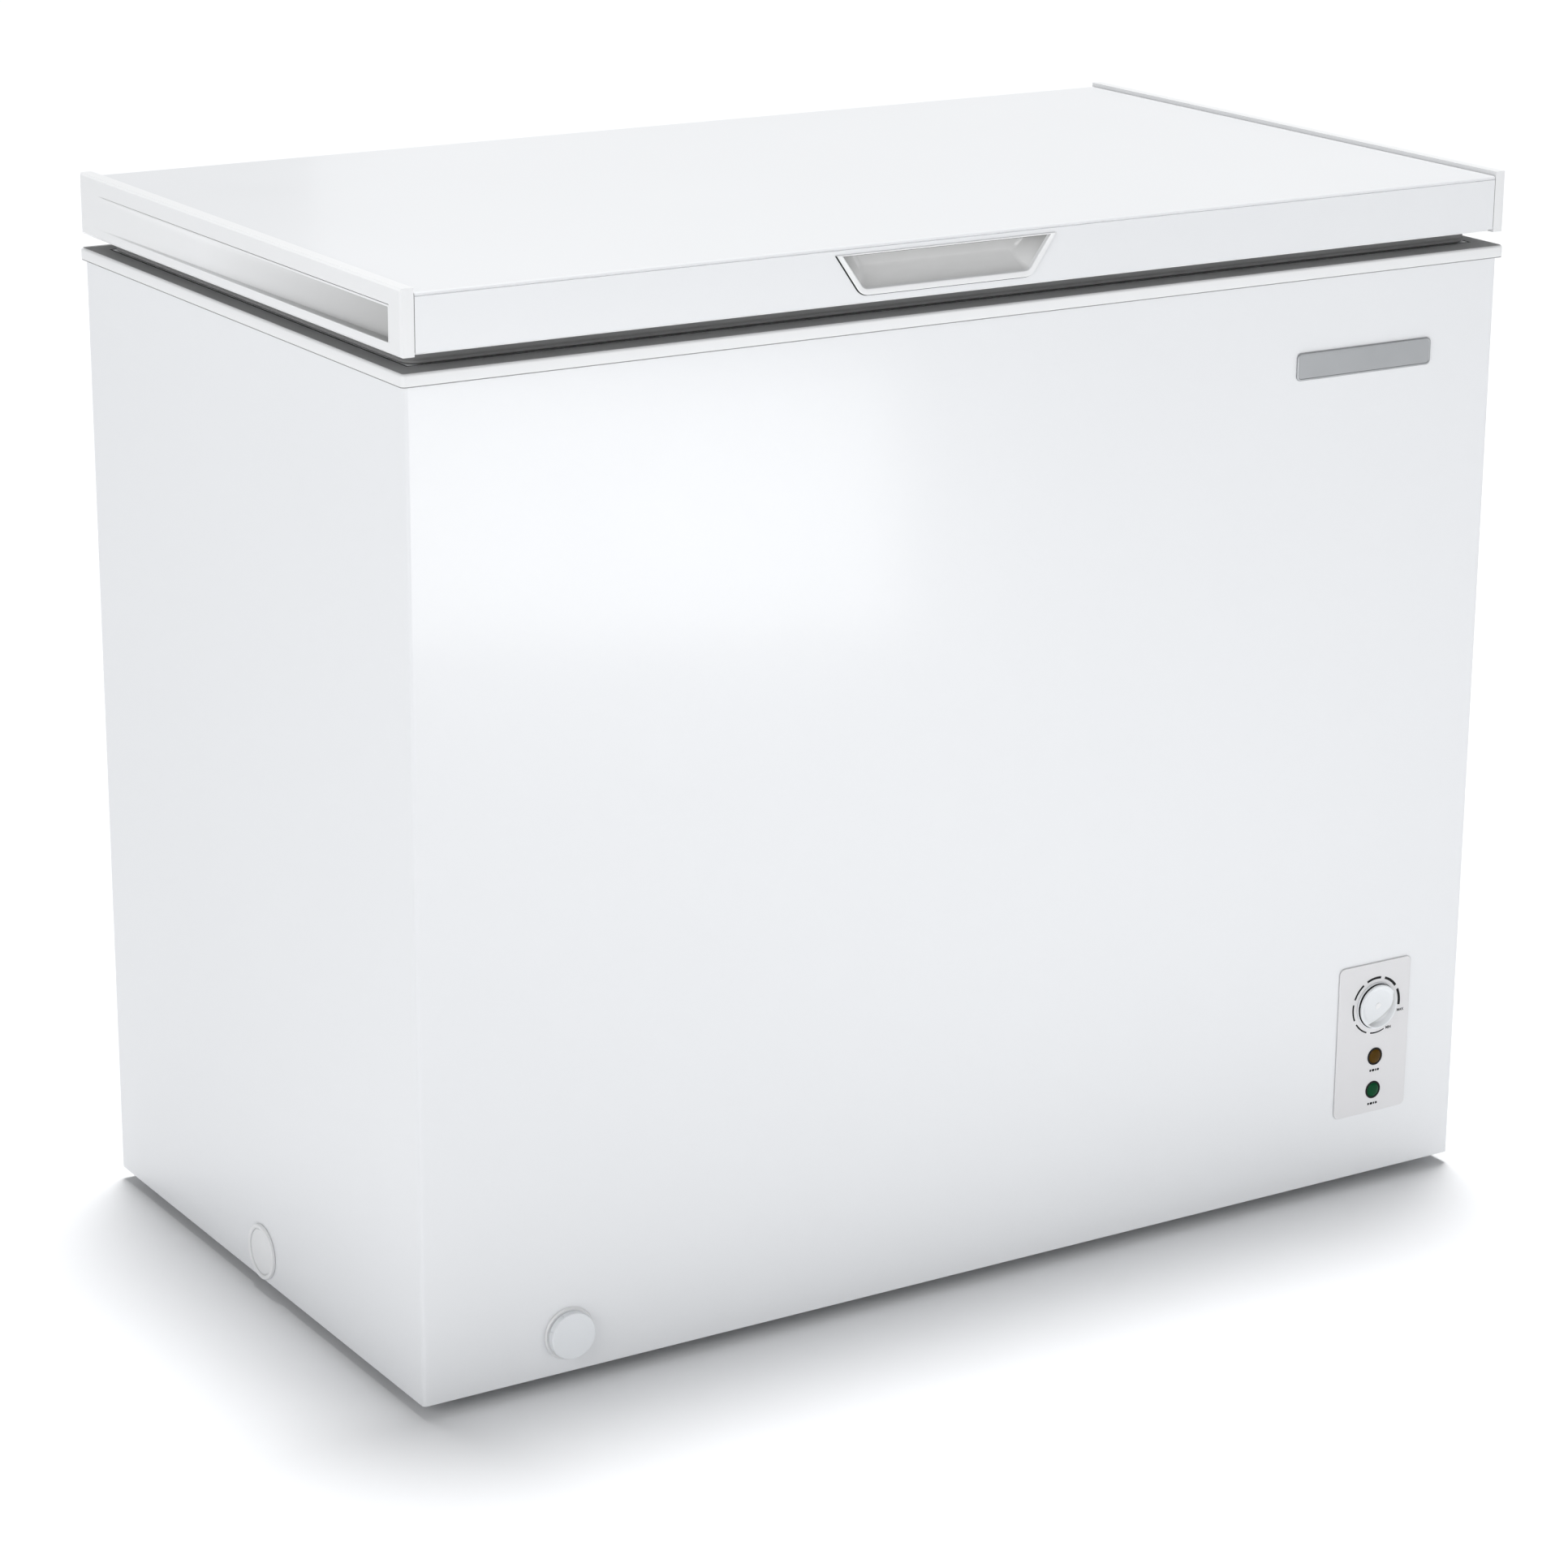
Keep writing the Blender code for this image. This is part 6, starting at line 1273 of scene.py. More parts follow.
def grip_outline(top, low, half_top, half_low, radius, middle):
    """Return an outline wide at the top with round lower corners."""
    lean = (half_top - half_low) / (top - low)
    angle = math.degrees(math.atan(lean))
    tangent = radius * math.tan(math.radians(90 - angle) / 2)
    centre = (half_low - tangent, low + radius)
    points = [(half_top, top)] + arc(centre, radius, -angle, -90, 10)
    mirrored = [(-x, z) for x, z in reversed(points)]
    return [(middle + x, z) for x, z in points + mirrored]


class FREEZER_OT_grip(bpy.types.Operator):
    """Recessed grip: a white bezel in a painted-shadow outline, and a grey cup with painted shade that
    runs up behind its upper edge
    """

    bl_idname = "freezer.grip"
    bl_label = "Recessed grip"

    def execute(self, context):
        low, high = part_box("lid_handle")
        middle = (low.x + high.x) / 2
        half_top, half_low, height, corner = 0.09725, 0.0755, 0.031, 0.012
        bottom, top = low.z, low.z + height
        lean = (half_top - half_low) / height
        slope = math.hypot(1.0, lean)
        loops = []
        for inset, drop, level in self.steps(low.y):
            outline = grip_outline(
                top - drop, bottom + inset, half_top - inset * slope,
                half_low - inset * slope + inset * lean, max(corner - inset, 0.004), middle)
            loops.append([on_axis("Y", x, z, level) for x, z in outline])
        bm = bmesh.new()
        bands = loft(bm, loops, ends=False)
        bands.append([bm.faces.new(list(bm.verts)[-len(loops[0]):])])
        first_inside = 8
        for band in bands[first_inside:]:
            for one in band:
                one.material_index = 1
        # Painted shade: the cup goes from its light colour at the bottom to its dark colour at the
        # top.
        layer = bm.verts.layers.float.new("cup_shade")
        for vert in bm.verts:
            rise = (vert.co.z - bottom) / height
            vert[layer] = min(max(1.6 * rise - 0.45, 0.0), 1.0)
        # Black rubber on the seam ring, the bezel's side wall and the faces along its upper edge is
        # painted shadow: the dark outline round the bezel and the dark line under its upper edge.
        upper_edge_shadow = [bands[number][-1] for number in (5, 6)]
        for one in bands[0][:-1] + bands[1][:-1] + upper_edge_shadow:
            one.material_index = 2
        mesh = to_mesh("grip_cup", bm)
        install("grip_cup", mesh, "white_plastic", "lid", ("lid_handle",), sharp=50,
                extra=("handle_plastic", "rubber"))
        return {"FINISHED"}

    def steps(self, face):
        """Bezel and cup from outside in: (inset, drop of the upper edge, place along Y)."""
        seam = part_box("lid_skin")[0].y - 0.00008
        bezel = 0.005
        return [
            (-0.0007, 0.0, seam), (0.0, 0.0, seam), (0.0, 0.0, face + 0.0001),
            (0.0003, 0.0002, face), (0.0009, 0.0004, face), (bezel - 0.0012, 0.0007, face),
            (bezel - 0.0004, 0.0010, face + 0.0003), (bezel, 0.0012, face + 0.0012),
            (bezel + 0.0006, 0.0012, face + 0.0024), (bezel + 0.0016, 0.0004, face + 0.0042),
            (bezel + 0.0032, -0.0010, face + 0.0064), (bezel + 0.0054, -0.0015, face + 0.0088),
            (bezel + 0.0082, -0.0015, face + 0.0110), (bezel + 0.0116, -0.0008, face + 0.0126),
            (bezel + 0.0150, 0.0010, face + 0.0132)]


class FREEZER_OT_gasket(bpy.types.Operator):
    """Magnetic gasket under the lid"""

    bl_idname = "freezer.gasket"
    bl_label = "Gasket"

    def execute(self, context):
        low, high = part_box("lid_gasket")
        width, corner = 0.012, 0.008
        middle = (low + high) / 2
        size = high - low
        values = {"Length": size.x - width, "Depth": size.y - width, "Width": width,
                  "Height": size.z, "Corner": corner, "Ribs": sizes().gasket_ribs,
                  "Rib Depth": sizes().gasket_rib, "Place": middle}
        mesh = grown("gasket_bellows", tree_named("gasket"), values, "gasket")
        install("gasket_bellows", mesh, "gasket", "lid", ("lid_gasket",), sharp=60)
        return {"FINISHED"}


class FREEZER_OT_hinges(bpy.types.Operator):
    """Hinge housings, leaves, pins, plungers and their counterbalance springs"""

    bl_idname = "freezer.hinges"
    bl_label = "Hinges"

    def execute(self, context):
        edge = sizes().sheet_edge
        for side in ("left", "right"):
            refined(f"hinge_housing_{side}", f"hinge_case_{side}", "root", edge)
            refined(f"hinge_leaf_{side}", f"hinge_plate_{side}", "lid", edge)
            refined(f"hinge_pin_{side}", f"hinge_rod_{side}", "root", sharp=50)
            refined(f"hinge_plunger_{side}", f"hinge_follower_{side}", f"plunger_{side}")
            self.spring(side)
            self.screws(side)
        return {"FINISHED"}

    def spring(self, side):
        """Coil spring between its case and its plunger."""
        low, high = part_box(f"hinge_spring_{side}")
        wire, turns = 0.0009, 8.0
        middle = (low + high) / 2
        values = {"Turns": turns, "Coil Radius": (high.x - low.x) / 2 - wire, "Wire Radius": wire,
                  "Length": high.z - low.z - 2 * wire,
                  "Place": Vector((middle.x, middle.y, low.z + wire))}
        mesh = grown(f"counter_spring_{side}", tree_named("coil_spring"), values, "spring_steel")
        made = bpy.data.objects.new(f"counter_spring_{side}", mesh)
        bpy.context.scene.collection.objects.link(made)
        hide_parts(f"hinge_spring_{side}")
        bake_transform(made)

    def screws(self, side):
        """Four screws through the case's flanges and three through the leaf."""
        low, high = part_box(f"hinge_housing_{side}")
        middle = (low.x + high.x) / 2
        sheet, reach, rise, fall = 0.0012, 0.0205, 0.016, 0.040
        points = [(middle + place, low.y + sheet, level)
                  for level in (low.z + rise, high.z - fall) for place in (-reach, reach)]
        drive_screws(f"hinge_case_screws_{side}", points, "root", REARWARD)
        low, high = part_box(f"hinge_leaf_{side}")
        sheet, reach, fall = 0.002, 0.018, 0.009
        points = [(middle + place, low.y + sheet, high.z - fall) for place in (-reach, reach)]
        points.append((middle, low.y + sheet, high.z - 2 * fall))
        drive_screws(f"hinge_plate_screws_{side}", points, "lid", REARWARD)


def knob_crest(u):
    """Return where the knob's curved ridge runs, in shares of the knob's radius."""
    return 0.22 * (u - 0.2) ** 2 + 1.2 * max(0.0, u - 0.4) ** 2 - 0.46


def knob_painted_shade(u, v):
    """Return how much painted shade the knob's face takes, deepest just under the ridge."""
    under = (knob_crest(u) - v) / 0.40
    if under < 0.0 or math.hypot(u, v) > 0.93:
        return 0.0
    return max(0.0, 1.0 - under) * min(1.0, 10.0 * under)


def knob_drop(u, v):
    """Return how deep the knob's face is scooped, as a share; u runs along its ridge."""
    crest = knob_crest(u)
    below = min(max((crest - v) / (0.08 + 0.18 * max(0.0, u + 0.55)), 0.0), 1.0)
    above = min(max((v - crest) / 0.95, 0.0), 1.0)
    ends = min(1.0, max(0.0, (0.93 - math.hypot(u, v)) / 0.16))
    return ends * max(below * below * (3 - 2 * below), 0.55 * math.sin(above * math.pi / 2))


class FREEZER_OT_thermostat(bpy.types.Operator):
    """Panel, knob, printed marks and what sits behind them"""

    bl_idname = "freezer.thermostat"
    bl_label = "Thermostat"

    def execute(self, context):
        self.panel()
        self.knob()
        self.marks()
        refined("thermostat_body", "thermostat_case", "root", 0.0006)
        refined("thermostat_shaft", "thermostat_spindle", "knob", sharp=50)
        return {"FINISHED"}

    def panel(self):
        """Panel with a soft edge, a seam round it and holes for the lenses and the shaft."""
        low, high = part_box("control_panel")
        middle = ((low.x + high.x) / 2, (low.z + high.z) / 2)
        half_x, half_z = (high.x - low.x) / 2, (high.z - low.z) / 2
        soft, corner, rim, seam = 0.0007, 0.005, 0.003, 0.0004
        wall, play, past = 0.0025, 0.0003, 0.01
        seat = low.y + 0.0012
        profile = [(soft * (1 - math.cos(math.radians(a))), low.y + soft * (1 - math.sin(
            math.radians(a)))) for a in (90, 67, 45, 22, 0)]
        profile += [(0.0, seat - seam), (seam, seat - seam), (seam, seat), (rim, seat), (rim, high.y)]
        loops = []
        for inset, level in profile:
            outline = rounded(half_x - inset, half_z - inset, corner - inset, middle)
            loops.append([on_axis("Y", x, z, level) for x, z in outline])
        bm = bmesh.new()
        loft(bm, loops)
        mesh = to_mesh("panel_moulding", bm)
        cutters = []
        hollow = bmesh.new()
        outline = rounded(half_x - rim - wall, half_z - rim - wall, 0.002, middle)
        loft(hollow, [[on_axis("Y", x, z, level) for x, z in outline]
                      for level in (low.y + wall, high.y + past)])
        cutters.append(hollow)
        for node in ("amber_lens", "green_lens", "thermostat_shaft"):
            near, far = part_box(node)
            hole = bmesh.new()
            radius = (far.x - near.x) / 2 + play
            centre = ((near.x + far.x) / 2, (near.z + far.z) / 2)
            turned(hole, [(0.0, low.y - past), (radius, low.y - past), (radius, low.y + 2 * wall),
                          (0.0, low.y + 2 * wall)], centre, "Y", 40)
            cutters.append(hole)
        install("panel_moulding", carved(mesh, cutters), "panel_plastic", "root",
                ("control_panel",), sharp=40)

    def knob(self):
        """Low round knob: a thin skirt, a groove drawn black as painted shadow and a face scooped
        beside its ridge.
        """
        low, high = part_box("thermostat_knob")
        centre = ((low.x + high.x) / 2, (low.z + high.z) / 2)
        radius = (high.x - low.x) / 2
        skirt, groove, foot, scoop, crown = 0.0013, 0.0006, 0.0014, 0.0034, 0.0008
        body = radius - 0.0013
        turn = math.radians(38)

        def ring(size, height=None):
            """A ring of points, level at a height or else lying on the scooped face."""
            points = []
            for i in range(120):
                angle = 2 * math.pi * i / 120
                x, z = size * math.cos(angle), size * math.sin(angle)
                u = x * math.cos(turn) + z * math.sin(turn)
                v = -x * math.sin(turn) + z * math.cos(turn)
                drop = knob_drop(u / body, v / body)
                y = height if height is not None else low.y + 0.0001 + scoop * drop
                points.append((centre[0] + x, y, centre[1] + z))
            return points

        loops = [ring(radius, high.y), ring(radius, high.y - skirt + 0.0004),
                 ring(radius - 0.0001, high.y - skirt + 0.0001), ring(radius - 0.0004, high.y - skirt),
                 ring(body + groove, high.y - skirt), ring(body + groove, high.y - 0.0003),
                 ring(body, high.y - 0.0003), ring(body, high.y - skirt - foot),
                 ring(body, low.y + 0.0010),
                 ring(body - 0.0002, low.y + 0.0004), ring(body - crown, low.y)]
        circles = 26
        loops += [ring((body - crown) * (1 - share / circles)) for share in range(1, circles)]
        bm = bmesh.new()
        bands = loft(bm, loops)
        # Black plastic on the groove and the foot of the body's wall is painted shadow of the gap
        # round the body.
        for one in bands[4] + bands[5] + bands[6]:
            one.material_index = 1
        # Painted shade on the face: darkest just under the ridge.
        layer = bm.verts.layers.float.new("scoop_shade")
        for vert in bm.verts:
            x, z = vert.co.x - centre[0], vert.co.z - centre[1]
            if vert.co.y < low.y + 0.004:
                vert[layer] = knob_painted_shade((x * math.cos(turn) + z * math.sin(turn)) / body,
                                         (z * math.cos(turn) - x * math.sin(turn)) / body)
        install("knob_cap", to_mesh("knob_cap", bm), "knob_plastic", "knob",
                ("thermostat_knob",), sharp=60, extra=("black_plastic",))

    def marks(self):
        """Arcs that thicken round the dial, its two end words and the dashes by the lenses."""
        low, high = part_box("thermostat_knob")
        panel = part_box("control_panel")[0]
        centre = Vector(((low.x + high.x) / 2, panel.y + 0.00002, (low.z + high.z) / 2))
        values = {"Count": sizes().mark_count, "Radius": sizes().mark_radius, "Thin": 0.0010,
                  "Thick": 0.0026, "Start": math.radians(157), "Sweep": math.radians(311.5),
                  "Filled": 0.77, "Raise": 0.00012, "Place": centre}
        mesh = grown("dial_marks", tree_named("dial_marks"), values, "black_plastic")
        install("dial_marks", mesh, "black_plastic", "root", sharp=30)
        for name, word, clock, reach in (("mark_min", "MIN", 147, 0.0262),
                                         ("mark_max", "MAX", 108, 0.0275)):
            angle = math.radians(clock)
            place = centre + Vector((reach * math.sin(angle), 0.0, reach * math.cos(angle)))
            self.word(name, word, place)
        for name, node in (("amber_dashes", "amber_lens"), ("green_dashes", "green_lens")):
            near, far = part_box(node)
            below = 0.0052
            self.dashes(name, ((near.x + far.x) / 2, panel.y, near.z - below))

    def word(self, name, text, place):
        """One printed word, centred on its place."""
        curve = bpy.data.curves.new(name, "FONT")
        curve.body = text
        curve.size = 0.0032
        curve.align_x = curve.align_y = "CENTER"
        curve.extrude = 0.00005
        curve.offset = 0.00012
        holder = bpy.data.objects.new(name, curve)
        bpy.context.scene.collection.objects.link(holder)
        mesh = bpy.data.meshes.new_from_object(
            holder.evaluated_get(bpy.context.evaluated_depsgraph_get()))
        bpy.data.objects.remove(holder)
        mesh.transform(Matrix.Translation(place) @ Matrix.Rotation(math.pi / 2, 4, "X"))
        install(name, mesh, "black_plastic", "root", sharp=30)

    def dashes(self, name, middle):
        """A row of four short printed dashes, each an (offset, half length) pair."""
        half_height, corner, sunk, proud = 0.0010, 0.0006, 0.00002, 0.0001
        bm = bmesh.new()
        for offset, half in ((-0.0040, 0.0009), (-0.0010, 0.0014), (0.0018, 0.0007),
                             (0.0042, 0.0010)):
            outline = rounded(half, half_height, corner, (middle[0] + offset, middle[2]), 3)
            loft(bm, [[on_axis("Y", x, z, level) for x, z in outline]
                      for level in (middle[1] + sunk, middle[1] - proud)])
        install(name, to_mesh(name, bm), "black_plastic", "root", sharp=30)


class FREEZER_OT_lights(bpy.types.Operator):
    """Two domed lenses in black rims, with the lamps behind them"""

    bl_idname = "freezer.lights"
    bl_label = "Indicator lights"

    def execute(self, context):
        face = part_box("control_panel")[0].y
        for colour in ("amber", "green"):
            low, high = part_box(f"{colour}_lens")
            centre = ((low.x + high.x) / 2, (low.z + high.z) / 2)
            radius = (high.x - low.x) / 2
            bm = bmesh.new()
            rim, flange = radius - 0.0009, radius + 0.0005
            profile = [(0.0, high.y), (radius, high.y), (radius, face - 0.0001),
                       (flange, face - 0.0001), (flange, face - 0.0003),
                       (radius, face - 0.0006), (rim, face - 0.0006),
                       (rim - 0.0001, face + 0.0001)]
            rise = 0.9 * (face - low.y)
            for degrees in (15, 30, 45, 60, 75):
                angle = math.radians(degrees)
                profile.append(((rim - 0.0001) * math.cos(angle), face - rise * math.sin(angle)))
            profile.append((0.0, face - rise))
            turned(bm, profile, centre, "Y", 48)
            edge = (rim - 0.0002) ** 2
            for one in bm.faces:
                spot = one.calc_center_median()
                away = (spot.x - centre[0]) ** 2 + (spot.z - centre[1]) ** 2
                if away > edge and spot.y < face + 0.001:
                    one.material_index = 1
            name = f"{colour}_dome"
            install(name, to_mesh(name, bm), f"{colour}_lens", "root", (f"{colour}_lens",),
                    sharp=50, extra=("black_plastic",))
            refined(f"{colour}_lamp", f"{colour}_bulb", "root", sharp=60)
        return {"FINISHED"}


class FREEZER_OT_drain(bpy.types.Operator):
    """Drain outlet on the front: flange, pull-out seal and turning dial"""

    bl_idname = "freezer.drain"
    bl_label = "Drain"

    def execute(self, context):
        low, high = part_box("drain_dial")
        centre = ((low.x + high.x) / 2, (low.z + high.z) / 2)
        radius = (high.x - low.x) / 2
        back, tip = high.y, low.y
        soft, relieved, dish = 0.0011, 0.0012, 0.0003
        profile = [(0.0, back), (radius - relieved, back), (radius - relieved, back - 0.0006),
                   (radius, back - 0.0009), (radius, tip + soft)]
        profile += arc((radius - soft, tip + soft), soft, 0, -90, 6)[1:]
        profile += [(radius * share, tip + dish * (1 - share * share))
                    for share in (0.85, 0.65, 0.45, 0.2)]
        profile.append((0.0, tip + dish))
        bm = bmesh.new()
        turned(bm, profile, centre, "Y", 96)
        cutters = []
        width, depth, shorter, backward = 0.0005, 0.0011, 0.0022, 0.0004
        for angle in range(25, 360, 45):
            notch = bmesh.new()
            bmesh.ops.create_cube(notch, size=1.0, matrix=Matrix.Translation(
                (centre[0], (back + tip) / 2 + backward, centre[1]))
                @ Matrix.Rotation(math.radians(-angle), 4, "Y")
                @ Matrix.Translation((radius, 0.0, 0.0))
                @ Matrix.Diagonal((depth, back - tip - shorter, width, 1.0)))
            cutters.append(notch)
        install("drain_cap", carved(to_mesh("drain_cap", bm), cutters), "knob_plastic",
                "drain_turner", ("drain_dial",), sharp=40)
        refined("drain_seal", "drain_spigot", "drain_outlet", sharp=50)
        refined("drain_flange", "drain_collar", "root", sharp=50)
        refined("drain_hose", "drain_pipe", "root", sharp=60)
        return {"FINISHED"}


class FREEZER_OT_side_plug(bpy.types.Operator):
    """Round plug in the left side, a disc inside a raised ring"""

    bl_idname = "freezer.side_plug"
    bl_label = "Side plug"

    def execute(self, context):
        low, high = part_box("side_plug")
        centre = ((low.y + high.y) / 2, (low.z + high.z) / 2)
        radius = (high.y - low.y) / 2
        face, seat = low.x, high.x - 0.015
        soft, disc, neck, lead = 0.0011, 0.0190, 0.0165, 0.001
        profile = [(0.0, high.x), (neck - lead, high.x), (neck, high.x - 2 * lead), (neck, seat),
                   (radius, seat), (radius, face + soft)]
        profile += arc((radius - soft, face + soft), soft, 0, -90, 5)[1:]
        profile += arc((disc + soft, face + soft), soft, 270, 180, 5)
        profile += [(disc, face + 0.0022), (disc - 0.0006, face + 0.0022),
                    (disc - 0.0008, face + 0.0014), (disc - 0.0014, face + 0.0011),
                    (disc * 0.6, face + 0.0009), (0.0, face + 0.0008)]
        bm = bmesh.new()
        turned(bm, profile, centre, "X", 96)
        install("side_cap", to_mesh("side_cap", bm), "white_plastic", "root", ("side_plug",),
                sharp=50)
        return {"FINISHED"}


class FREEZER_OT_badge(bpy.types.Operator):
    """Blank name badge"""

    bl_idname = "freezer.badge"
    bl_label = "Name badge"

    def execute(self, context):
        low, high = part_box("name_badge")
        middle = ((low.x + high.x) / 2, (low.z + high.z) / 2)
        half_x, half_z = (high.x - low.x) / 2, (high.z - low.z) / 2
        corner = 0.004
        steps = [(0.0, high.y), (0.0, low.y + 0.0005), (0.0002, low.y + 0.0001), (0.0006, low.y),
                 (0.0014, low.y), (0.0018, low.y + 0.0003)]
        loops = []
        for inset, level in steps:
            outline = rounded(half_x - inset, half_z - inset, corner - inset, middle)
            loops.append([on_axis("Y", x, z, level) for x, z in outline])
        bm = bmesh.new()
        loft(bm, loops)
        install("badge_plate", to_mesh("badge_plate", bm), "badge_metal", "root",
                ("name_badge",), sharp=30)
        return {"FINISHED"}


class FREEZER_OT_machine_room(bpy.types.Operator):
    """Louvred rear cover, side grille, compressor and pipes"""

    bl_idname = "freezer.machine_room"
    bl_label = "Machine room"

    def execute(self, context):
        self.cover()
        self.grille()
        refined("compressor", "compressor_can", "root", 0.0015)
        refined("compressor_mount", "compressor_plate", "root", 0.0004)
        refined("relay_cover", "relay_box", "root", 0.0010)
        refined("cord_gland", "cord_bush", "root", sharp=50)
        for number in range(1, 5):
            refined(f"grommet_{number}", f"rubber_mount_{number}", "root", sharp=50)
        for node, name in (("suction_pipe", "suction_tube"), ("discharge_pipe", "hot_tube"),
                           ("capillary_tube", "fine_tube"), ("filter_drier", "drier_can")):
            refined(node, name, "root", sharp=65)
        return {"FINISHED"}

    def cover(self):
        """Rear cover: a hood over each slot, in two columns, and six screws."""
        low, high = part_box("machine_room_cover")
        refined("machine_room_cover", "room_cover", "root", sizes().sheet_edge)
        length, height, pitch, rows, apart, up = 0.060, 0.006, 0.016, 9, 0.008, 0.012
        middle, centre_z = (low.x + high.x) / 2, (low.z + high.z) / 2 + up
        points = [(middle + side * (apart + length / 2), high.y,
                   centre_z + (row - (rows - 1) / 2) * pitch - height / 2)
                  for row in range(rows) for side in (-1, 1)]
        values = {"Length": length + 0.004, "Height": height + 0.002,
                  "Depth": sizes().louvre_depth, "Sheet": 0.0007, "Facing": (math.pi / 2, 0, math.pi)}
        mesh = grown("cover_louvres", tree_named("louvres"), values, "grey_plastic", points)
        install("cover_louvres", mesh, "grey_plastic", "root", sharp=50)
        inset = 0.005
        places = [(x, high.y, z) for x in (low.x + inset, middle, high.x - inset)
                  for z in (low.z + inset, high.z - inset)]
        drive_screws("cover_screws", places, "root", REARWARD)

    def grille(self):
        """Side grille with shallow hoods in two columns."""
        low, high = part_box("side_vent_grille")
        refined("side_vent_grille", "side_grille", "root", sizes().sheet_edge)
        middle, centre_z = (low.y + high.y) / 2, (low.z + high.z) / 2
        height, pitch, rows, apart, margin = 0.006, 0.016, 8, 0.006, 0.014
        length = (high.y - low.y) / 2 - margin - apart
        points = [(high.x, middle + side * (apart + length / 2),
                   centre_z + (row - (rows - 1) / 2) * pitch - height / 2)
                  for row in range(rows) for side in (-1, 1)]
        values = {"Length": length + 0.004, "Height": height + 0.0018, "Depth": 0.0011,
                  "Sheet": 0.0005, "Facing": (math.pi / 2, 0.0, math.pi / 2)}
        mesh = grown("grille_louvres", tree_named("louvres"), values, "white_plastic", points)
        install("grille_louvres", mesh, "white_plastic", "root", sharp=50)


class FREEZER_OT_basket(bpy.types.Operator):
    """Wire basket that hangs on the ledge"""

    bl_idname = "freezer.basket"
    bl_label = "Basket"

    def execute(self, context):
        low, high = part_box("basket")
        wire = sizes()
        rails, taper, corner, rings = 0.048, 0.006, 0.018, 4
        values = {
            "Length": high.x - low.x, "Width": high.y - low.y - rails,
            "Rim Width": high.y - low.y, "Depth": high.z - low.z, "Taper": taper,
            "Corner": corner, "Pitch": wire.wire_pitch, "Rings": rings,
            "Wire Radius": wire.wire_radius, "Rim Radius": wire.rim_radius,
            "Place": Vector(((low.x + high.x) / 2, 0.0, high.z - wire.rim_radius))}
        mesh = grown("basket_wires", tree_named("wire_basket"), values, "basket_wire")
        install("basket_wires", mesh, "basket_wire", "wire_basket", ("basket",), sharp=60)
        return {"FINISHED"}


class FREEZER_OT_finishes(bpy.types.Operator):
    """Finish every CAD piece that is still shown"""

    bl_idname = "freezer.finishes"
    bl_label = "Finishes"

    def execute(self, context):
        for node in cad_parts.values():
            for place in node.material_slots:
                name = place.material.name.split(".")[0]
                place.material = finish(name)
        return {"FINISHED"}


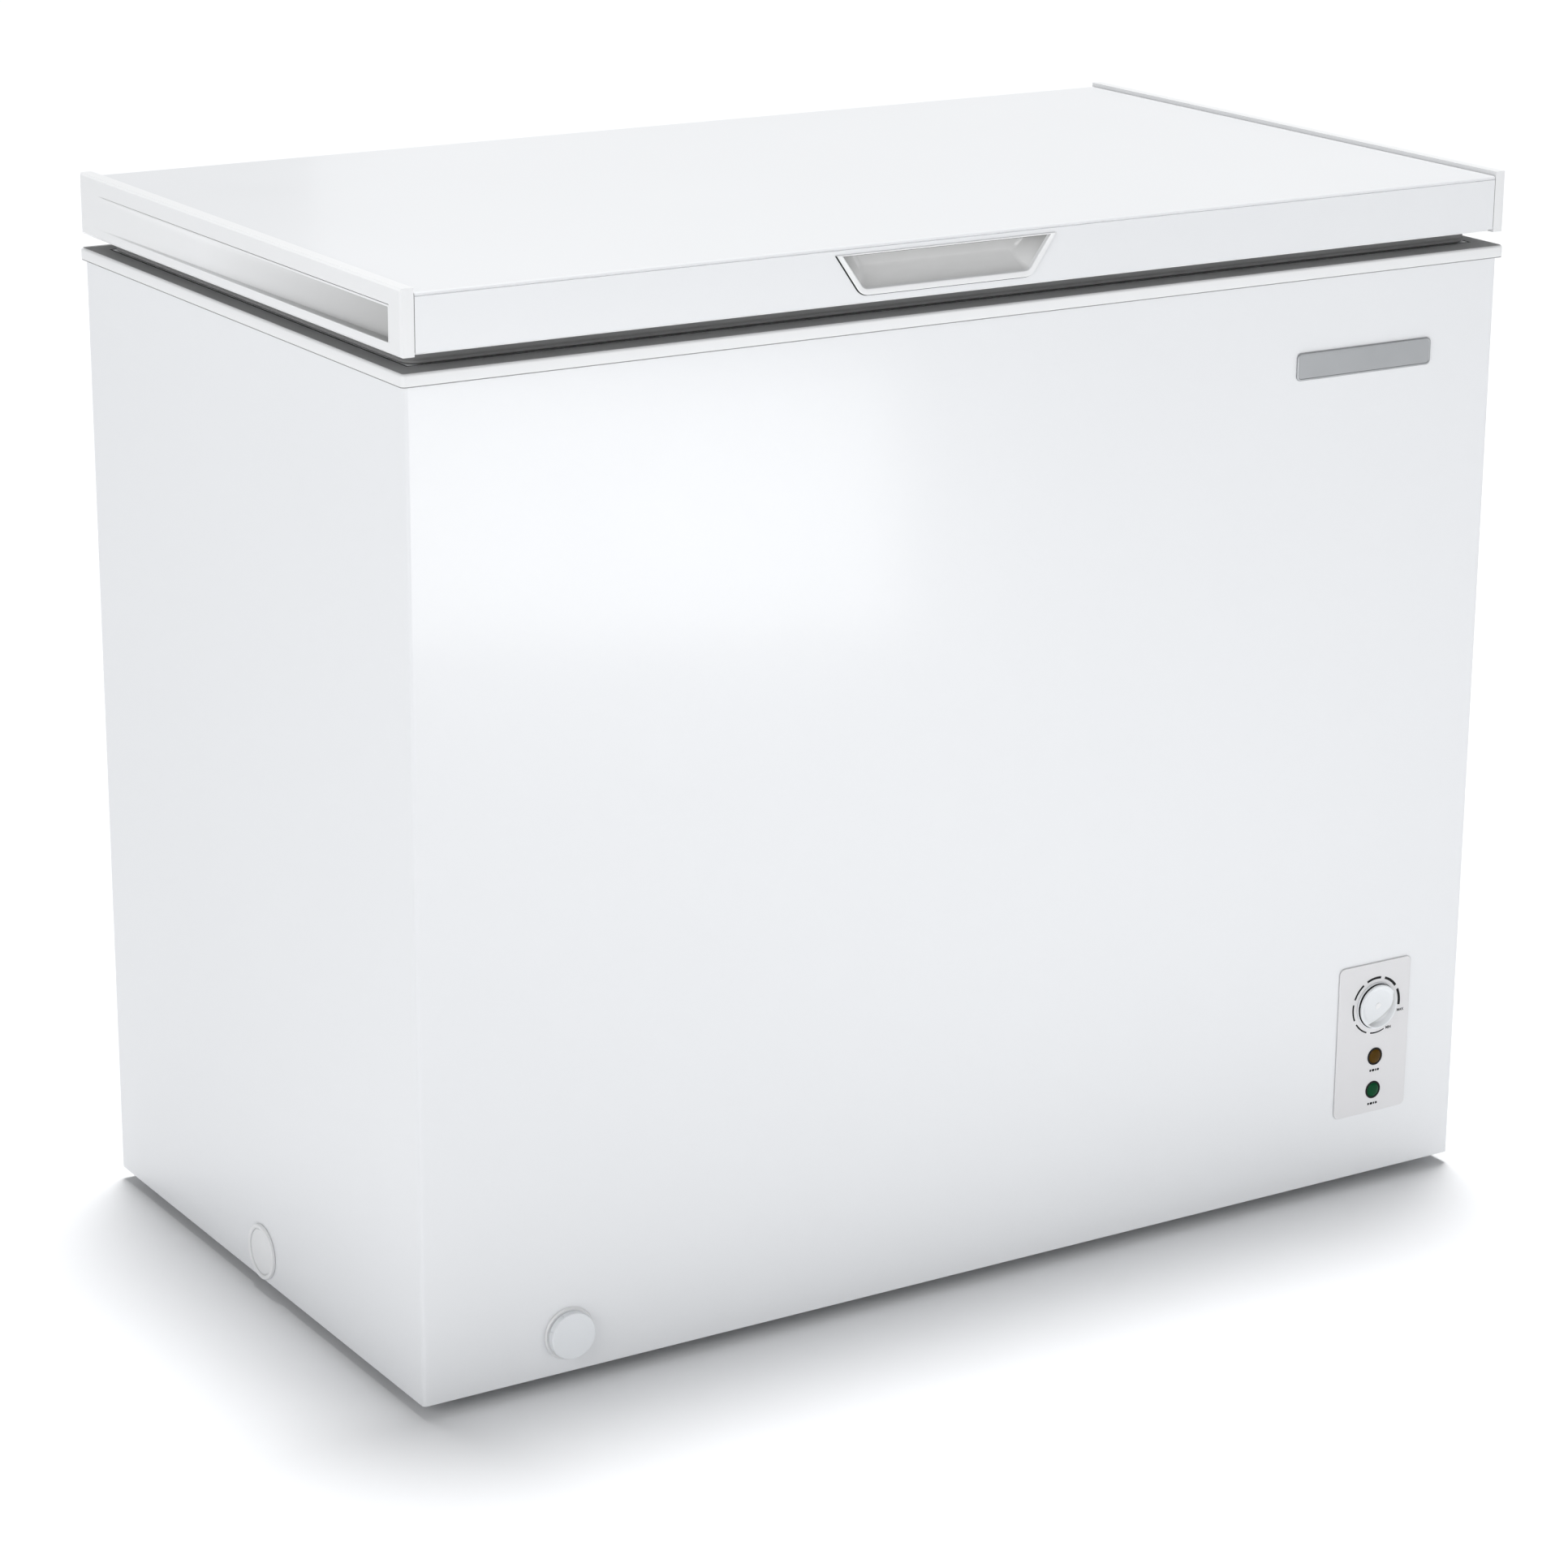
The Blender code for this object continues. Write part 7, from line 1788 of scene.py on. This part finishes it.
class FREEZER_OT_stage(bpy.types.Operator):
    """Floor, lights and camera"""

    bl_idname = "freezer.stage"
    bl_label = "Stage"

    def execute(self, context):
        stage = context.scene.freezer_stage
        self.floor(stage)
        self.world(stage)
        self.lights(stage)
        self.camera(context, stage)
        context.scene.view_settings.view_transform = "Standard"
        return {"FINISHED"}

    def floor(self, stage):
        """Wide plain floor."""
        reach = 30.0
        mesh = bpy.data.meshes.new("floor")
        mesh.from_pydata([(-reach, -reach, 0.0), (reach, -reach, 0.0), (reach, reach, 0.0),
                          (-reach, reach, 0.0)], [], [(0, 1, 2, 3)])
        made = bpy.data.objects.new("floor", mesh)
        bpy.context.scene.collection.objects.link(made)
        material, tree, shader = new_material("floor", 0.9, specular=0.0)
        drift(tree, shader, stage.floor, 0.004, 0.5)
        mesh.materials.append(material)

    def world(self, stage):
        """Even light from all round."""
        world = bpy.data.worlds.new("even_light")
        world.use_nodes = True
        sky = world.node_tree.nodes["Background"]
        sky.inputs["Color"].default_value = (0.97, 0.985, 1.0, 1.0)
        sky.inputs["Strength"].default_value = stage.sky
        bpy.context.scene.world = world

    def overhead_light(self, stage, towards):
        """Distant light with a wide disc, which gives the soft shadow."""
        data = bpy.data.lights.new("overhead", "SUN")
        data.energy = stage.overhead
        data.angle = stage.spread
        made = bpy.data.objects.new("overhead", data)
        made.rotation_euler = towards.to_track_quat("Z", "Y").to_euler()
        bpy.context.scene.collection.objects.link(made)

    def panel_light(self, name, place, target, size, watts):
        """Rectangular light aimed at a point."""
        data = bpy.data.lights.new(name, "AREA")
        data.shape = "RECTANGLE"
        data.size, data.size_y = size
        data.energy = watts
        made = bpy.data.objects.new(name, data)
        made.location = place
        made.rotation_euler = (Vector(target) - Vector(place)).to_track_quat("-Z", "Y").to_euler()
        made.visible_camera = False
        bpy.context.scene.collection.objects.link(made)

    def lights(self, stage):
        """Overhead light and the three panels round the freezer."""
        self.overhead_light(stage, Vector((0.10, 0.14, 1.0)))
        self.panel_light("front_panel", (0.35, -1.55, 0.32), (-0.18, -0.27, 0.62), (0.7, 0.28),
                         stage.front)
        self.panel_light("side_panel", (-3.2, -1.6, 1.5), (-0.4, 0.0, 0.5), (1.8, 1.8),
                         stage.side)
        self.panel_light("rear_sheen", (2.7, 3.5, 1.6), (0.35, 0.0, 0.85), (2.6, 1.2),
                         stage.sheen)

    def camera(self, context, stage):
        """Long lens from the front left, a little above the lid."""
        data = bpy.data.cameras.new("camera")
        data.lens = stage.lens
        data.sensor_width = 36.0
        data.clip_start, data.clip_end = 0.01, 100.0
        made = bpy.data.objects.new("camera", data)
        made.location = (-1.85297, -2.95311, 1.43401)
        made.rotation_euler = [math.radians(a) for a in (72.6157, -0.3993, -31.8626)]
        context.scene.collection.objects.link(made)
        context.scene.camera = made


PIECES = (
    FREEZER_OT_cabinet, FREEZER_OT_top_frame, FREEZER_OT_liner, FREEZER_OT_lid,
    FREEZER_OT_end_caps, FREEZER_OT_grip, FREEZER_OT_gasket, FREEZER_OT_hinges,
    FREEZER_OT_thermostat, FREEZER_OT_lights, FREEZER_OT_drain, FREEZER_OT_side_plug,
    FREEZER_OT_badge, FREEZER_OT_machine_room, FREEZER_OT_basket, FREEZER_OT_finishes,
    FREEZER_OT_stage)


class FREEZER_PT_panel(bpy.types.Panel):
    """Lists the pieces, sizes and colours"""

    bl_idname = "FREEZER_PT_panel"
    bl_label = "Chest Freezer"
    bl_space_type = "VIEW_3D"
    bl_region_type = "UI"
    bl_category = "Freezer"

    def draw(self, context):
        layout = self.layout
        for group in ("freezer_colours", "freezer_sizes", "freezer_stage"):
            box = layout.box()
            owner = getattr(context.scene, group)
            for name in owner.__annotations__:
                box.prop(owner, name)
        for operator in PIECES:
            layout.operator(operator.bl_idname)


CLASSES = (FreezerColours, FreezerSizes, FreezerStage, *PIECES, FREEZER_PT_panel)


def register():
    """Register the classes and hang the properties on the scene."""
    for one in CLASSES:
        bpy.utils.register_class(one)
    bpy.types.Scene.freezer_colours = PointerProperty(type=FreezerColours)
    bpy.types.Scene.freezer_sizes = PointerProperty(type=FreezerSizes)
    bpy.types.Scene.freezer_stage = PointerProperty(type=FreezerStage)


def unregister():
    """Undo register."""
    del bpy.types.Scene.freezer_stage
    del bpy.types.Scene.freezer_sizes
    del bpy.types.Scene.freezer_colours
    for one in reversed(CLASSES):
        bpy.utils.unregister_class(one)


def main():
    register()
    for operator in PIECES:
        group, name = operator.bl_idname.split(".")
        getattr(getattr(bpy.ops, group), name)()


if __name__ == "__main__":
    main()
